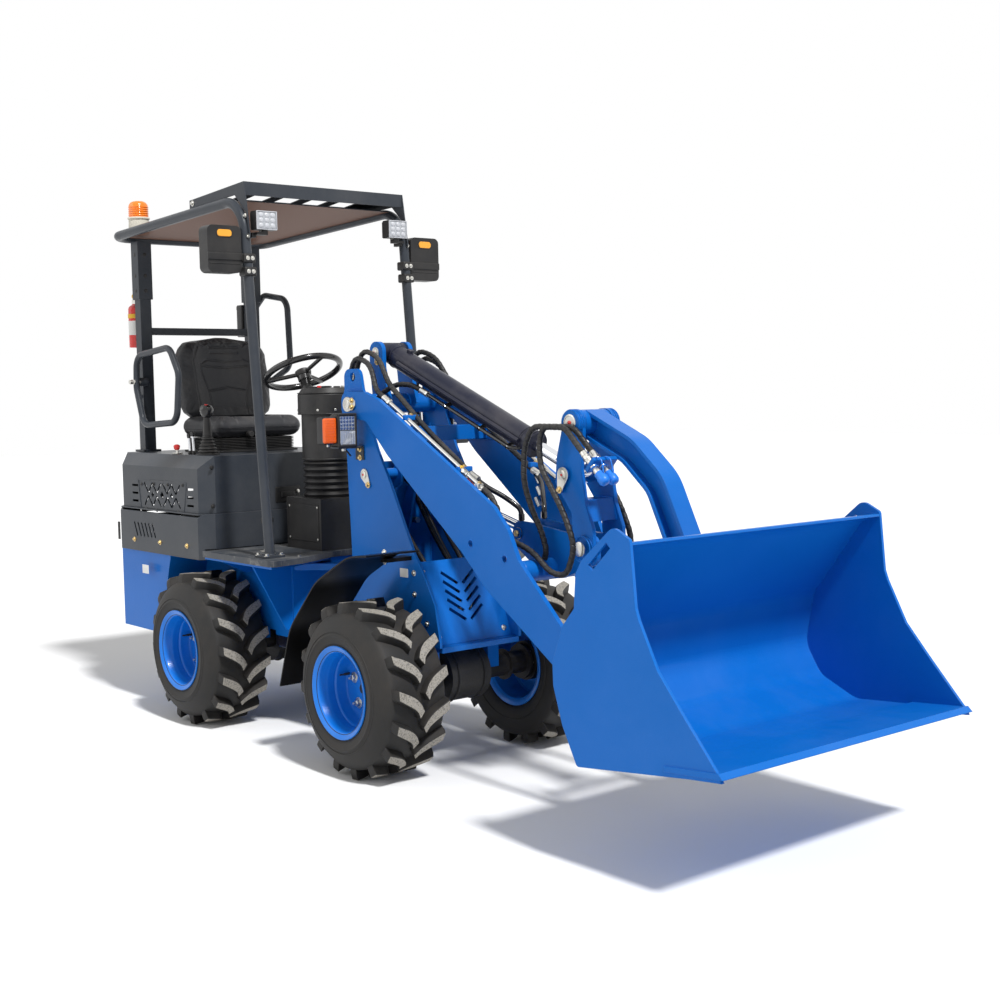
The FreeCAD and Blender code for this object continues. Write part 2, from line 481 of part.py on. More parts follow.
def prism(plane, corners, low, high, rounds=()):
    """A padded outline between two formulas square to its plane, with rounded corners.

    rounds pairs an alias for the radius with the numbers of the corners that it rounds.
    """
    body = doc.addObject("PartDesign::Body", "Panel")
    sketch = sketch_of(body, plane, corners)
    pad = body.newObject("PartDesign::Pad", "Pad")
    pad.Profile = sketch
    tie(pad, "Length", f"({high}) - ({low})")
    start = f"-({high})" if plane == "side" else low
    tie(sketch, "AttachmentOffset.Base.z", start)
    doc.recompute()
    spots = [(line.StartPoint.x, line.StartPoint.y) for line in sketch.Geometry]
    for alias, numbers in rounds:
        edges = corner_edges(body.Shape, plane, [spots[number] for number in numbers])
        last = body.Tip
        fillet = body.newObject("PartDesign::Fillet", "Rounding")
        fillet.Base = (last, edges)
        tie(fillet, "Radius", alias)
        doc.recompute()
    return body


def plate(name, low, high):
    """A plate in the side view from a named outline, between two formulas across the machine."""
    rounds = {}
    for number, point in enumerate(OUTLINES[name]):
        if point[3]:
            rounds.setdefault(point[3], []).append(number)
    return prism("side", outline_texts(name), low, high, list(rounds.items()))


def plates(name, near, far):
    """The same plate on both sides of the machine."""
    return both_sides(lambda side: plate(name, *span(side, near, far)))


def turned(profile):
    """A solid of revolution about its own Z axis from (radius, height) formulas."""
    body = doc.addObject("PartDesign::Body", "Turned")
    sketch = sketch_of(body, "side", profile)
    turn = body.newObject("PartDesign::Revolution", "Turn")
    turn.Profile = sketch
    turn.ReferenceAxis = (sketch, ["V_Axis"])
    turn.Angle = 360
    return body


def bent_wire(points, radii):
    """Straight runs joined by tangent arcs: one radius for each inner point."""
    edges = []
    start = points[0]
    for before, corner, after, radius in zip(points, points[1:], points[2:], radii):
        back, ahead = (before - corner).normalize(), (after - corner).normalize()
        half = back.getAngle(ahead) / 2
        reach = radius / math.tan(half)
        first, last = corner + back * reach, corner + ahead * reach
        inward = (back + ahead).normalize()
        middle = corner + inward * (radius / math.sin(half) - radius)
        edges.append(Part.LineSegment(start, first).toShape())
        edges.append(Part.Arc(first, middle, last).toShape())
        start = last
    edges.append(Part.LineSegment(start, points[-1]).toShape())
    return Part.Wire(edges)


def flowing_wire(points):
    """Straight runs joined by arcs as large as the two runs beside each point allow."""
    radii = []
    for before, corner, after in zip(points, points[1:], points[2:]):
        turn = math.pi - (before - corner).getAngle(after - corner)
        radii.append(SIZE["arc_share"] * min((before - corner).Length, (after - corner).Length)
                     / math.tan(turn / 2))
    return bent_wire(points, radii)


def hoses(radius, *names):
    """Round hoses or pipes along their paths, the same on both sides of the machine."""
    return [shaped(tube_along(flowing_wire(path_values(name, side)), SIZE[radius]))
            for name in names for side in (-1, 1)]


def tube_along(wire, radius):
    """A round solid swept along a wire."""
    first = wire.Edges[0]
    direction = first.tangentAt(first.FirstParameter)
    ring = Part.Wire(Part.Circle(wire.OrderedVertexes[0].Point, direction, radius).toShape())
    return wire.makePipeShell([ring], True, True)


def path_values(name, side=1):
    """A path's points from the sheet; side -1 mirrors it to the other side of the machine."""
    return [Vector(SIZE.get(JOINTS[joint][0], 0.0) + SIZE[f"{name}_along{number}"],
                   side * SIZE[f"{name}_side{number}"],
                   SIZE.get(JOINTS[joint][1], 0.0) + SIZE[f"{name}_up{number}"])
            for number, (joint, along, across, up) in enumerate(PATHS[name], 1)]


def strip(name, thickness, low, high, radii):
    """Bent sheet: a line of the side view, thickened to one side and drawn across the machine."""
    points = [Vector(along, 0, up) for along, up in outline_values(name)]
    line = bent_wire(points, radii)
    face = line.makeOffset2D(thickness, join=2, fill=True, openResult=True)
    face.translate(Vector(0, low, 0))
    return face.extrude(Vector(0, high - low, 0))


def shaped(shape):
    """A solid worked out in code from the sheet's sizes."""
    thing = doc.addObject("Part::Feature", "Shaped")
    thing.Shape = Part.makeCompound([shape])
    return thing


def node(label, thing):
    """Name a finished sub-part and carry it into the machine's own frame."""
    thing.Label = label
    start = ([text for prop, text in thing.ExpressionEngine if prop.endswith("Placement.Base.x")]
             + ["0"])[0]
    thing.setExpression("Placement.Base.x", f"{start} + {formula(FRAME_SHIFT)}")
    NODES.append(thing)
    return thing


def wheel_node(label, body, axle, side):
    """A turned sub-part laid on its axle, outer face out."""
    body.Label = label
    body.Placement.Rotation = Rotation(Vector(1, 0, 0), 90 if side < 0 else -90)
    place(body, f"{axle} + {FRAME_SHIFT}", "-track_half" if side < 0 else "track_half",
          "axle_height")
    NODES.append(body)


# --------------------------------------------------------------------------------------------
# Rear half: frame, counterweight, engine, covers
# --------------------------------------------------------------------------------------------
def rear_frame():
    """Open tub with outriggers that carry the platform, and the two fork plates of the pivot."""
    tub = cut(block(("-chassis_rear", "-chassis_front"), ("-chassis_half", "chassis_half"),
                    ("chassis_low", "deck_low")),
              block(("-chassis_rear + plate", "-chassis_front - plate"),
                    ("-chassis_half + plate", "chassis_half - plate"),
                    ("chassis_low + plate", "deck_low + plate")))
    deck = block(("-outrigger_rear", "-platform_nose_x - plate"),
                 ("-platform_nose_half", "platform_nose_half"),
                 ("deck_low", "platform_high - platform_wall"))
    wing = [("-outrigger_rear", "-platform_half + plate"), ("-platform_front - plate * 2",
                                                            "-platform_half + plate"),
            ("-platform_neck_x - plate * 2", "-platform_neck_half"),
            ("-platform_nose_x - plate * 2", "-platform_nose_half"),
            ("-platform_nose_x - plate * 2", "platform_nose_half"),
            ("-platform_neck_x - plate * 2", "platform_neck_half"),
            ("-platform_front - plate * 2", "platform_half - plate"),
            ("-outrigger_rear", "platform_half - plate")]
    under = prism("plan", wing, "platform_high - platform_wall - plate",
                  "platform_high - platform_wall")
    brackets = []
    for place_x, low in (("-outrigger_rear", "outrigger_rear_low"),
                         ("-outrigger_front - plate", "outrigger_low")):
        for side in (-1, 1):
            corners = [("chassis_half - plate", low), ("chassis_half + plate * 3", low),
                       ("platform_half - plate * 4", "platform_high - platform_wall - plate / 2"),
                       ("chassis_half - plate", "platform_high - platform_wall - plate / 2")]
            if side < 0:
                corners = [(f"-({across})", up) for across, up in corners]
            brackets.append(prism("front", corners, place_x, place_x + " + plate"))
    forks = []
    for low, wall, half in (("fork_low_z", "fork_low_wall", "outrigger_low_half"),
                            ("fork_high_z", "fork_high_wall", "chassis_half")):
        outline = [("-outrigger_front - fork_root", f"-{half}"),
                   ("-outrigger_front", f"-{half}"),
                   ("articulation_x + fork_nose", "-fork_nose / 2"),
                   ("articulation_x + fork_nose", "fork_nose / 2"),
                   ("-outrigger_front", half), ("-outrigger_front - fork_root", half)]
        forks.append(prism("plan", outline, low, f"{low} + {wall}",
                           [("corner_large", [2, 3])]))
    pin = cylinder("Z", ("articulation_x", "0"), "fork_low_z", "fork_high_z + fork_high_wall",
                   "knuckle_pin_radius")
    lug = cylinder("Z", ("steer_base_x", "steer_base_y"), "steer_z - steer_eye_half - eye_gap * 3",
                   "chassis_low + plate / 2", "steer_pin_radius")
    boss = cylinder("Z", ("steer_base_x", "steer_base_y"), "steer_z + steer_eye_half + eye_gap * 5",
                    "chassis_low + plate / 2", "steer_eye_radius")
    pads = both_sides(lambda side: axle_pad("-wheelbase", side, "chassis_low + plate / 2"))
    return node("rear_frame", fuse(tub, deck, under, pin, lug, boss, *brackets, *forks, *pads))


def axle_pad(axle, side, high):
    """A mounting block that saddles an axle's tube, up to the frame above it."""
    saddle = block((f"{axle} - axle_pad_half", f"{axle} + axle_pad_half"),
                   span(side, "axle_pad_in", "axle_pad_out"), ("axle_height + plate", high))
    return cut(saddle, cylinder("Y", (axle, "axle_height"), *span(side, "0", "track_half"),
                                "axle_tube_radius + fit_gap"))


def counterweight():
    """Cast block behind the rear wheels with a flat skin on its back."""
    profile = [("-weight_rear", "weight_low"), ("-weight_low_front", "weight_low"),
               ("-weight_top_front", "deck_low"), ("-weight_rear", "deck_low")]
    cast = prism("side", profile, "-weight_half", "weight_half")
    hollow = block(("-chassis_rear - fit_gap", "-weight_top_front + plate"),
                   ("-chassis_half - fit_gap", "chassis_half + fit_gap"),
                   ("chassis_low - fit_gap", "deck_low + plate"))
    skin = block(("-weight_rear - weight_skin", "-weight_rear + plate"),
                 ("-weight_half + plate", "weight_half - plate"),
                 ("weight_skin_low", "deck_low - plate"))
    return node("counterweight", cut(fuse(cast, skin), hollow))


def engine_block():
    """The engine as one plain heavy block, standing on the frame's floor."""
    return node("engine_block", block(("-engine_rear", "-engine_front"),
                                      ("-engine_half", "engine_half"),
                                      ("chassis_low + plate + fit_gap", "engine_high")))


def cover_plan(out):
    """The covers' plan with cut corners, moved out or in by a formula."""
    corner = "cover_corner"
    rear, front, half = f"-cover_rear - ({out})", f"-cover_front + ({out})", f"cover_half + ({out})"
    return [(rear, f"-({half}) + {corner}"), (f"{rear} + {corner}", f"-({half})"),
            (f"{front} - {corner}", f"-({half})"), (front, f"-({half}) + {corner}"),
            (front, f"{half} - {corner}"), (f"{front} - {corner}", half),
            (f"{rear} + {corner}", half), (rear, f"{half} - {corner}")]


def bevelled_cover(out, low, high, bevel):
    """A block with the covers' plan and bevelled long top edges."""
    plan = prism("plan", cover_plan(out), low, high)
    half = f"cover_half + ({out}) + 1"
    section = [(f"-({half})", f"{low} - 1"), (half, f"{low} - 1"),
               (half, f"{high} - {bevel} - 1"), (f"{half} - {bevel} - 1", high),
               (f"-({half}) + {bevel} + 1", high), (f"-({half})", f"{high} - {bevel} - 1")]
    return common(plan, prism("front", section, "-cover_rear - plate * 3",
                              "-cover_front + plate * 3"))


def grille_opening():
    return block(("-cover_rear - skirt_out * 3", "-cover_rear + cover_wall * 2"),
                 ("-grille_half - fit_gap", "grille_half + fit_gap"),
                 ("grille_low - fit_gap", "grille_high + fit_gap"))


def engine_cover():
    """Upper cover: a bevelled shell, open below, that the seat and the rear posts stand on."""
    shell = cut(bevelled_cover("0", "cover_split + fit_gap", "cover_top", "cover_bevel"),
                bevelled_cover("-cover_wall", "cover_split - plate", "cover_top - cover_wall",
                               "cover_bevel"),
                grille_opening(), *mesh_slots())
    ears = both_sides(lambda side: fuse(
        cylinder("Y", ("hinge_x", "hinge_z"),
                 *span(side, "hinge_half + fit_gap * 2", "hinge_half + hinge_ear"),
                 "hinge_radius"),
        block(("hinge_x", "-cover_rear + cover_wall / 2"),
              span(side, "hinge_half + fit_gap * 2", "hinge_half + hinge_ear"),
              ("hinge_z - fit_gap", "hinge_z + hinge_radius"))))
    return node("engine_cover", fuse(shell, *ears))


def mesh_slots():
    """Slots through both sides of the upper cover: two mirrored rows of bars that lean to and
    fro, diamonds between the rows, and three short dashes at each end."""
    through = ("-cover_half - plate", "cover_half + plate")

    def leaning(long, tall, way, lean, middle_x, middle_z):
        bar = doc.addObject("Part::Box", "Slot")
        tie(bar, "Length", long)
        tie(bar, "Width", "cover_half * 2 + plate * 2")
        tie(bar, "Height", tall)
        bar.Placement.Rotation = Rotation(Vector(0, 1, 0), way * SIZE[lean])
        place(bar,
              f"{middle_x} - {long} / 2 * cos({lean}) - {way} * {tall} / 2 * sin({lean})",
              through[0],
              f"{middle_z} + {way} * {long} / 2 * sin({lean}) - {tall} / 2 * cos({lean})")
        return bar
    slots = []
    half = int(SIZE["mesh_bars"]) // 2
    for side in (-1, 1):
        slots.append(leaning("mesh_diamond", "mesh_diamond", 1, "diamond_lean",
                             f"-mesh_x + {side} * (mesh_step * {half / 2} + mesh_gap / 2)",
                             "mesh_z"))
        for column in range(half):
            along = f"-mesh_x + {side} * (mesh_gap / 2 + mesh_step * {column + 0.5})"
            for row in (-1, 1):
                slots.append(leaning("mesh_slot", "mesh_bar", -side * row * (-1) ** column,
                                     "mesh_lean", along, f"mesh_z + {row} * mesh_row"))
        for row in (-1, 0, 1):
            along = f"-mesh_x + {side} * mesh_dash_away"
            slots.append(block((f"{along} - mesh_dash / 2", f"{along} + mesh_dash / 2"), through,
                               (f"mesh_z + {row} * mesh_dash_step - mesh_slot / 2",
                                f"mesh_z + {row} * mesh_dash_step + mesh_slot / 2")))
    slots.append(leaning("mesh_diamond * 1.3", "mesh_diamond * 1.3", 1, "diamond_lean",
                         "-mesh_x", "mesh_z"))
    return slots


def lower_cover():
    """Lower cover: a skirt that stands proud of the upper one, notched round the platform."""
    shell = cut(bevelled_cover("skirt_out", "deck_low + fit_gap", "cover_split", "skirt_bevel"),
                prism("plan", cover_plan("skirt_out - cover_wall"), "deck_low - plate",
                      "cover_split + plate"),
                block(("-outrigger_rear - plate * 6", "-cover_front + plate * 6"),
                      ("-cover_half * 2", "cover_half * 2"),
                      ("deck_low - plate", "platform_high + fit_gap")),
                grille_opening(), *vent_slots())
    rim = cut(prism("plan", cover_plan("skirt_out - cover_wall / 2"), "cover_split - cover_wall",
                    "cover_split"),
              prism("plan", cover_plan("-cover_wall * 2"), "cover_split - plate",
                    "cover_split + plate"), grille_opening())
    return node("lower_cover", fuse(shell, rim))


def vent_slots():
    """Leaning slots through both sides of the lower cover."""
    slots = []
    for number in range(int(SIZE["vent_count"])):
        slot = doc.addObject("Part::Box", "Slot")
        tie(slot, "Length", "vent_width")
        tie(slot, "Width", "cover_half * 2 + skirt_out * 4")
        tie(slot, "Height", "vent_length")
        slot.Placement.Rotation = Rotation(Vector(0, 1, 0), -SIZE["vent_lean"])
        place(slot, f"-vent_rear + {number} * vent_step", "-cover_half - skirt_out * 2",
              "vent_centre_z - vent_length / 2")
        slots.append(slot)
    return slots


def rear_grille():
    """Radiator grille door in the back of both covers, hinged along its top edge."""
    door = block(("-cover_rear - skirt_out", "-cover_rear - skirt_out + grille_wall"),
                 ("-grille_half + plate / 2", "grille_half - plate / 2"),
                 ("grille_low + plate / 2", "grille_high - plate / 2"))
    slots = []
    for number in range(int(SIZE["grille_slots"])):
        low = f"grille_low + grille_margin + {number} * (grille_high - grille_low" \
              f" - grille_margin * 2) / grille_slots"
        slots.append(block(("-cover_rear - skirt_out * 2", "-cover_rear"),
                           ("-grille_half + grille_margin", "grille_half - grille_margin"),
                           (low, f"{low} + grille_slot")))
    barrel = cylinder("Y", ("hinge_x", "hinge_z"), "-hinge_half", "hinge_half", "hinge_radius")
    leaf = block(("hinge_x", "-cover_rear - skirt_out + grille_wall"),
                 ("-hinge_half", "hinge_half"), ("grille_high - plate * 2", "hinge_z"))
    return node("rear_grille", fuse(cut(door, *slots), leaf, barrel))


def tail_lamps():
    """A round rubber-rimmed lamp on each rear corner of the upper cover."""
    lamps = both_sides(lambda side: cylinder(
        "X", (f"{side} * tail_lamp_y", "tail_lamp_z"), "-cover_rear - skirt_out - tail_lamp_deep",
        "-cover_rear - skirt_out - fit_gap", "tail_lamp_radius"))
    return node("tail_lamps", group(*lamps))


# --------------------------------------------------------------------------------------------
# Platform, console and controls
# --------------------------------------------------------------------------------------------
def platform():
    """Tread plate round the console, its front edge cut back to let the tower swing."""
    outline = [("-outrigger_rear", "-platform_half"), ("-platform_front", "-platform_half"),
               ("-platform_neck_x", "-platform_neck_half"),
               ("-platform_nose_x", "-platform_nose_half"),
               ("-platform_nose_x", "platform_nose_half"),
               ("-platform_neck_x", "platform_neck_half"),
               ("-platform_front", "platform_half"), ("-outrigger_rear", "platform_half")]
    return node("platform", prism("plan", outline, "platform_high - platform_wall + fit_gap",
                                  "platform_high", [("platform_round", [1, 6])]))


def console():
    """Console base, folded boot, column and cap in front of the driver."""
    base = block(("-console_base_rear", "-console_base_front"),
                 ("-console_base_half", "console_base_half"),
                 ("platform_high + fit_gap", "console_base_high"))
    profile = [("0", "console_base_high - plate")]
    folds = int(SIZE["boot_folds"])
    for number in range(folds):
        step = "(boot_high - console_base_high) / boot_folds"
        profile.append(("boot_radius", f"console_base_high + {number} * {step}"))
        profile.append(("boot_radius + boot_fold", f"console_base_high + {number + 0.5} * {step}"))
    profile[1] = ("boot_radius", "console_base_high - plate")
    profile += [("boot_radius", "boot_high"), ("column_radius", "boot_high"),
                ("column_radius", "column_high"), ("cap_radius", "column_high"),
                ("cap_radius", "cap_high - plate * 3"), ("cap_radius - plate * 2", "cap_high"),
                ("0", "cap_high")]
    column = turned(profile)
    tie(column, "Placement.Base.x", "console_x")
    sleeve = doc.addObject("Part::Cylinder", "Sleeve")
    tie(sleeve, "Radius", "steering_sleeve")
    tie(sleeve, "Height", "sleeve_reach")
    sleeve.Placement.Rotation = Rotation(Vector(0, 1, 0), -SIZE["steering_tilt"])
    place(sleeve, "wheel_hub_x + sin(steering_tilt) * sleeve_reach", "0",
          "wheel_hub_z - cos(steering_tilt) * sleeve_reach")
    return node("console", fuse(base, column, sleeve))


def steering_wheel():
    """Rim, three spokes, hub and shaft, modelled about the shaft's own tilted axis."""
    rim = doc.addObject("Part::Torus", "Rim")
    tie(rim, "Radius1", "steering_wheel_radius - steering_rim_radius")
    tie(rim, "Radius2", "steering_rim_radius")
    tie(rim, "Placement.Base.z", "steering_rise")
    hub = cylinder("Z", ("0", "0"), "steering_rise - steering_hub_wall * 1.5",
                   "steering_rise", "steering_hub_radius")
    shaft = cylinder("Z", ("0", "0"), "steering_lift", "steering_rise - steering_hub_wall",
                     "steering_shaft_radius")
    spokes = []
    for angle in (0, 120, 240):
        spoke = doc.addObject("Part::Cylinder", "Spoke")
        tie(spoke, "Radius", "spoke_radius")
        tie(spoke, "Height", "steering_wheel_radius - steering_rim_radius")
        spoke.Placement.Rotation = Rotation(Vector(0, 0, 1), angle).multiply(
            Rotation(Vector(0, 1, 0), 90))
        tie(spoke, "Placement.Base.z", "steering_rise - steering_rim_radius / 2")
        spokes.append(spoke)
    wheel = fuse(rim, hub, shaft, *spokes)
    wheel.Label = "steering_wheel"
    wheel.Placement.Rotation = Rotation(Vector(0, 1, 0), -SIZE["steering_tilt"])
    place(wheel, f"wheel_hub_x + {FRAME_SHIFT}", "0", "wheel_hub_z")
    NODES.append(wheel)


def control_levers():
    """Joystick with its boot, and the small brake lever, both standing on the upper cover."""
    def stick(across, boot_radius, boot_high, stem_radius, stem_high, knob_radius, along):
        boot = doc.addObject("Part::Cone", "Boot")
        tie(boot, "Radius1", boot_radius)
        tie(boot, "Radius2", f"{boot_radius} / 2")
        tie(boot, "Height", f"{boot_high} - cover_top - fit_gap")
        place(boot, along, across, "cover_top + fit_gap")
        stem = cylinder("Z", (along, across), "cover_top + plate", stem_high, stem_radius)
        knob = doc.addObject("Part::Sphere", "Knob")
        tie(knob, "Radius", knob_radius)
        place(knob, along, across, stem_high)
        return fuse(boot, stem, knob)
    joystick = stick("joystick_y", "joystick_boot", "joystick_boot_high", "joystick_stem",
                     "joystick_stem_high", "joystick_knob", "joystick_x")
    brake = stick("brake_y", "brake_stem * 2", "cover_top + plate * 2", "brake_stem",
                  "brake_high - joystick_stem", "brake_stem * 2", "brake_x")
    return node("control_levers", group(joystick, brake, pedal()))


def pedal():
    """Drive pedal on a foot that stands on the tread plate."""
    pad = plate("pedal", "pedal_y - pedal_half", "pedal_y + pedal_half")
    foot = block(("pedal_x - pedal_wall", "pedal_x + pedal_wall * 2"),
                 ("pedal_y - pedal_half / 2", "pedal_y + pedal_half / 2"),
                 ("platform_high + fit_gap", "pedal_low + pedal_wall"))
    return fuse(pad, foot)


# --------------------------------------------------------------------------------------------
# Seat
# --------------------------------------------------------------------------------------------
def seat_base():
    return node("seat_base", block(("-base_rear", "-base_front"), ("-base_half", "base_half"),
                                   ("cover_top + fit_gap", "seat_low - fit_gap")))


def seat_cushion():
    corners = [("-seat_rear", "-seat_half"), ("-seat_front", "-seat_half"),
               ("-seat_front", "seat_half"), ("-seat_rear", "seat_half")]
    return node("seat_cushion", prism("plan", corners, "seat_low", "seat_high",
                                      [("cushion_round", [0, 1, 2, 3])]))


def seat_back():
    """Backrest, leaning back from the cushion's rear edge."""
    corners = [("-back_rear + back_lean", "back_low"),
               ("-back_rear + back_lean + back_thick", "back_low"),
               ("-back_rear + back_thick", "back_high"), ("-back_rear", "back_high")]
    return node("seat_back", prism("side", corners, "-seat_half - plate", "seat_half + plate",
                                   [("cushion_round", [2, 3])]))


# --------------------------------------------------------------------------------------------
# Canopy and what hangs on it
# --------------------------------------------------------------------------------------------
def roof_frame():
    """One bent tube: up the front posts, back along both sides and across the rear."""
    bends = [SIZE["roof_bend"], SIZE["roof_rear_bend"], SIZE["roof_rear_bend"], SIZE["roof_bend"]]
    tube = shaped(tube_along(bent_wire(path_values("roof"), bends), SIZE["roof_tube_radius"]))
    feet = both_sides(lambda side: block(
        ("post_foot_x - foot_plate", "post_foot_x + foot_plate"),
        (f"{side} * roof_half - foot_plate", f"{side} * roof_half + foot_plate"),
        ("platform_high + fit_gap", "platform_high + foot_plate_wall + fit_gap")))
    return node("roof_frame", fuse(tube, *feet))


def rear_posts():
    """Two square posts with larger upper sleeves, feet and a cross bar."""
    roof_low = "roof_rear_z - roof_tube_radius"
    pieces = []
    for side in (-1, 1):
        centre = f"{side} * post_y"
        for half, low, high in (("post_half", "cover_top + fit_gap", "sleeve_low + plate"),
                                ("sleeve_half", "sleeve_low", roof_low),
                                ("foot_plate", "cover_top + fit_gap",
                                 "cover_top + foot_plate_wall")):
            pieces.append(block((f"post_x - {half}", f"post_x + {half}"),
                                (f"{centre} - {half}", f"{centre} + {half}"), (low, high)))
    pieces.append(block(("post_x - rear_bar_half", "post_x + rear_bar_half"),
                        ("-post_y", "post_y"),
                        ("rear_bar_z - rear_bar_half", "rear_bar_z + rear_bar_half")))
    pieces += both_sides(lambda side: cylinder(
        "Y", ("guard_pivot_x", "guard_pivot_z"),
        *span(side, "post_y + post_half / 2", "guard_y - guard_radius - fit_gap"),
        "guard_boss_radius"))
    pieces += both_sides(lambda side: block(
        ("post_x", "guard_pivot_x"), span(side, "post_y", "post_y + post_half"),
        ("guard_pivot_z - guard_boss_radius", "guard_pivot_z + guard_boss_radius")))
    return node("rear_posts", fuse(*pieces))


def roof_slope(along, above):
    """Height of the roof tube's centre line at a place along the machine, plus an offset."""
    slope = "(roof_corner_z - roof_rear_z) / (roof_corner_x - roof_rear_x)"
    return f"roof_rear_z + (({along}) - roof_rear_x) * {slope} + ({above})"


def post_line(up, ahead):
    """Place along the machine of the front post's centre line at a height, plus an offset."""
    lean = "(post_foot_x - roof_corner_x) / (roof_corner_z - platform_high)"
    return f"roof_corner_x + (roof_corner_z - ({up})) * {lean} + ({ahead})"


def roof_sheet():
    """Flat sheet between the roof tubes, with a cross rail under its front and middle."""
    rear, front = "roof_rear_x + roof_tube_radius + fit_gap", "-sheet_front"
    corners = [(rear, roof_slope(rear, "0")), (front, roof_slope(front, "0")),
               (front, roof_slope(front, "sheet_wall")), (rear, roof_slope(rear, "sheet_wall"))]
    half = "roof_half - roof_tube_radius - fit_gap"
    plan = prism("plan", [(rear, f"-({half})"), (front, f"-({half})"), (front, half),
                          (rear, half)], "roof_rear_z - roof_bend", "roof_corner_z + roof_bend",
                 [("roof_rear_bend", [0, 3])])
    return node("roof_sheet", common(prism("side", corners, f"-({half})", half), plan))


def roof_guard():
    """Slotted guard over the front of the roof: two side plates, a fascia and a slotted top."""
    crown, tail = "guard_crown_x", "guard_tail_x"
    top, tail_top = "guard_crown_z", "guard_tail_z"
    bend_start, bend_end = "roof_corner_x - roof_bend * 0.42", "roof_corner_z - roof_bend * 0.42"
    corners = [(tail, tail_top), (tail, roof_slope(tail, "roof_tube_radius + plate / 10")),
               (bend_start, roof_slope(bend_start, "roof_tube_radius + plate / 10")),
               (post_line(bend_end, "roof_tube_radius + plate / 10"), bend_end),
               (post_line("guard_foot_z", "roof_tube_radius + plate / 10"), "guard_foot_z"),
               (post_line("guard_foot_z", "roof_tube_radius + guard_leg"), "guard_foot_z"),
               (crown, top)]
    sides = both_sides(lambda side: prism("side", corners, *span(
        side, "roof_half - guard_wall", "roof_half")))
    panel = prism("side", [(tail, f"{tail_top} - guard_flat"), (tail, tail_top), (crown, top),
                           (crown, f"{top} - guard_flat")],
                  "-roof_half", "roof_half")
    slots = []
    for number in range(int(SIZE["guard_slots"])):
        step = "(roof_half * 2 - plate * 8) / guard_slots"
        low = f"-roof_half + plate * 6 + {number} * {step}"
        corners = [("guard_slot_rear", low), ("guard_slot_front", f"{low} - guard_slot_lean"),
                   ("guard_slot_front", f"{low} - guard_slot_lean + guard_slot_half * 2"),
                   ("guard_slot_rear", f"{low} + guard_slot_half * 2")]
        slots.append(prism("plan", corners, f"{tail_top} - plate * 2", f"{top} + plate"))
    fascia = block((f"{crown} - guard_flat", crown), ("-roof_half", "roof_half"),
                   (f"{top} - guard_fascia", top))
    rear = block((tail, f"{tail} + guard_flat"), ("-roof_half", "roof_half"),
                 (f"{tail_top} - guard_fascia / 2", tail_top))
    return node("roof_guard", fuse(cut(panel, *slots), fascia, rear, *sides))


def beacon():
    """Flashing lamp: a base and a domed lens, on the roof sheet."""
    foot = roof_slope("beacon_x + beacon_radius", "sheet_wall + fit_gap")
    lens_half = "beacon_radius * 0.92"
    profile = [("0", "0"), ("beacon_radius", "0"), ("beacon_radius", "beacon_base_high"),
               (lens_half, "beacon_base_high"), (lens_half, "beacon_high - beacon_radius / 2"),
               ("beacon_radius * 0.6", "beacon_high"), ("0", "beacon_high")]
    body = turned(profile)
    body.Label = "beacon"
    place(body, f"beacon_x + {FRAME_SHIFT}", "beacon_y", foot)
    NODES.append(body)


def work_lamps():
    """A square lamp on a bracket inside each front post."""
    def lamp(side):
        near, far = "work_lamp_y - work_lamp_half", "work_lamp_y + work_lamp_half"
        head = block(("work_lamp_x - work_lamp_deep", "work_lamp_x"), span(side, near, far),
                     ("work_lamp_z - work_lamp_tall", "work_lamp_z + work_lamp_tall"))
        arm = block(("work_lamp_x - work_lamp_deep", "work_lamp_x - plate"),
                    span(side, "work_lamp_y - plate",
                         "roof_half - roof_tube_radius - fit_gap * 30"),
                    ("work_lamp_z - work_lamp_tall - plate * 2",
                     "work_lamp_z - work_lamp_tall - plate"))
        neck = block(("work_lamp_x - work_lamp_deep", "work_lamp_x - plate"),
                     span(side, "work_lamp_y - plate", "work_lamp_y + plate"),
                     ("work_lamp_z - work_lamp_tall - plate * 1.5",
                      "work_lamp_z - work_lamp_tall + plate / 2"))
        strap = block(("lamp_strap_x", "work_lamp_x - work_lamp_deep + plate"),
                      span(side, "roof_half - roof_tube_radius - fit_gap * 30 - plate",
                           "roof_half - roof_tube_radius - fit_gap"),
                      ("work_lamp_z - work_lamp_tall - plate * 3",
                       "work_lamp_z - work_lamp_tall - plate"))
        return fuse(head, arm, neck, strap)
    return node("work_lamps", group(*both_sides(lamp)))


def mirrors():
    """A rounded mirror head outside each front post, on a short arm with a clamp block."""
    def mirror(side):
        corners = [("mirror_in", "mirror_low"), ("mirror_out", "mirror_low"),
                   ("mirror_out", "mirror_high"), ("mirror_in", "mirror_high")]
        if side < 0:
            corners = [(f"-{across}", up) for across, up in corners]
        head = prism("front", corners, "mirror_x", "mirror_x + mirror_deep",
                     [("mirror_round", [0, 1, 2, 3])])
        arm = cylinder("Y", ("mirror_arm_x", "mirror_clamp_z"),
                       *span(side, "roof_half + roof_tube_radius + fit_gap", "mirror_in + plate"),
                       "mirror_arm_radius")
        return fuse(head, arm)
    return node("mirrors", group(*both_sides(mirror)))


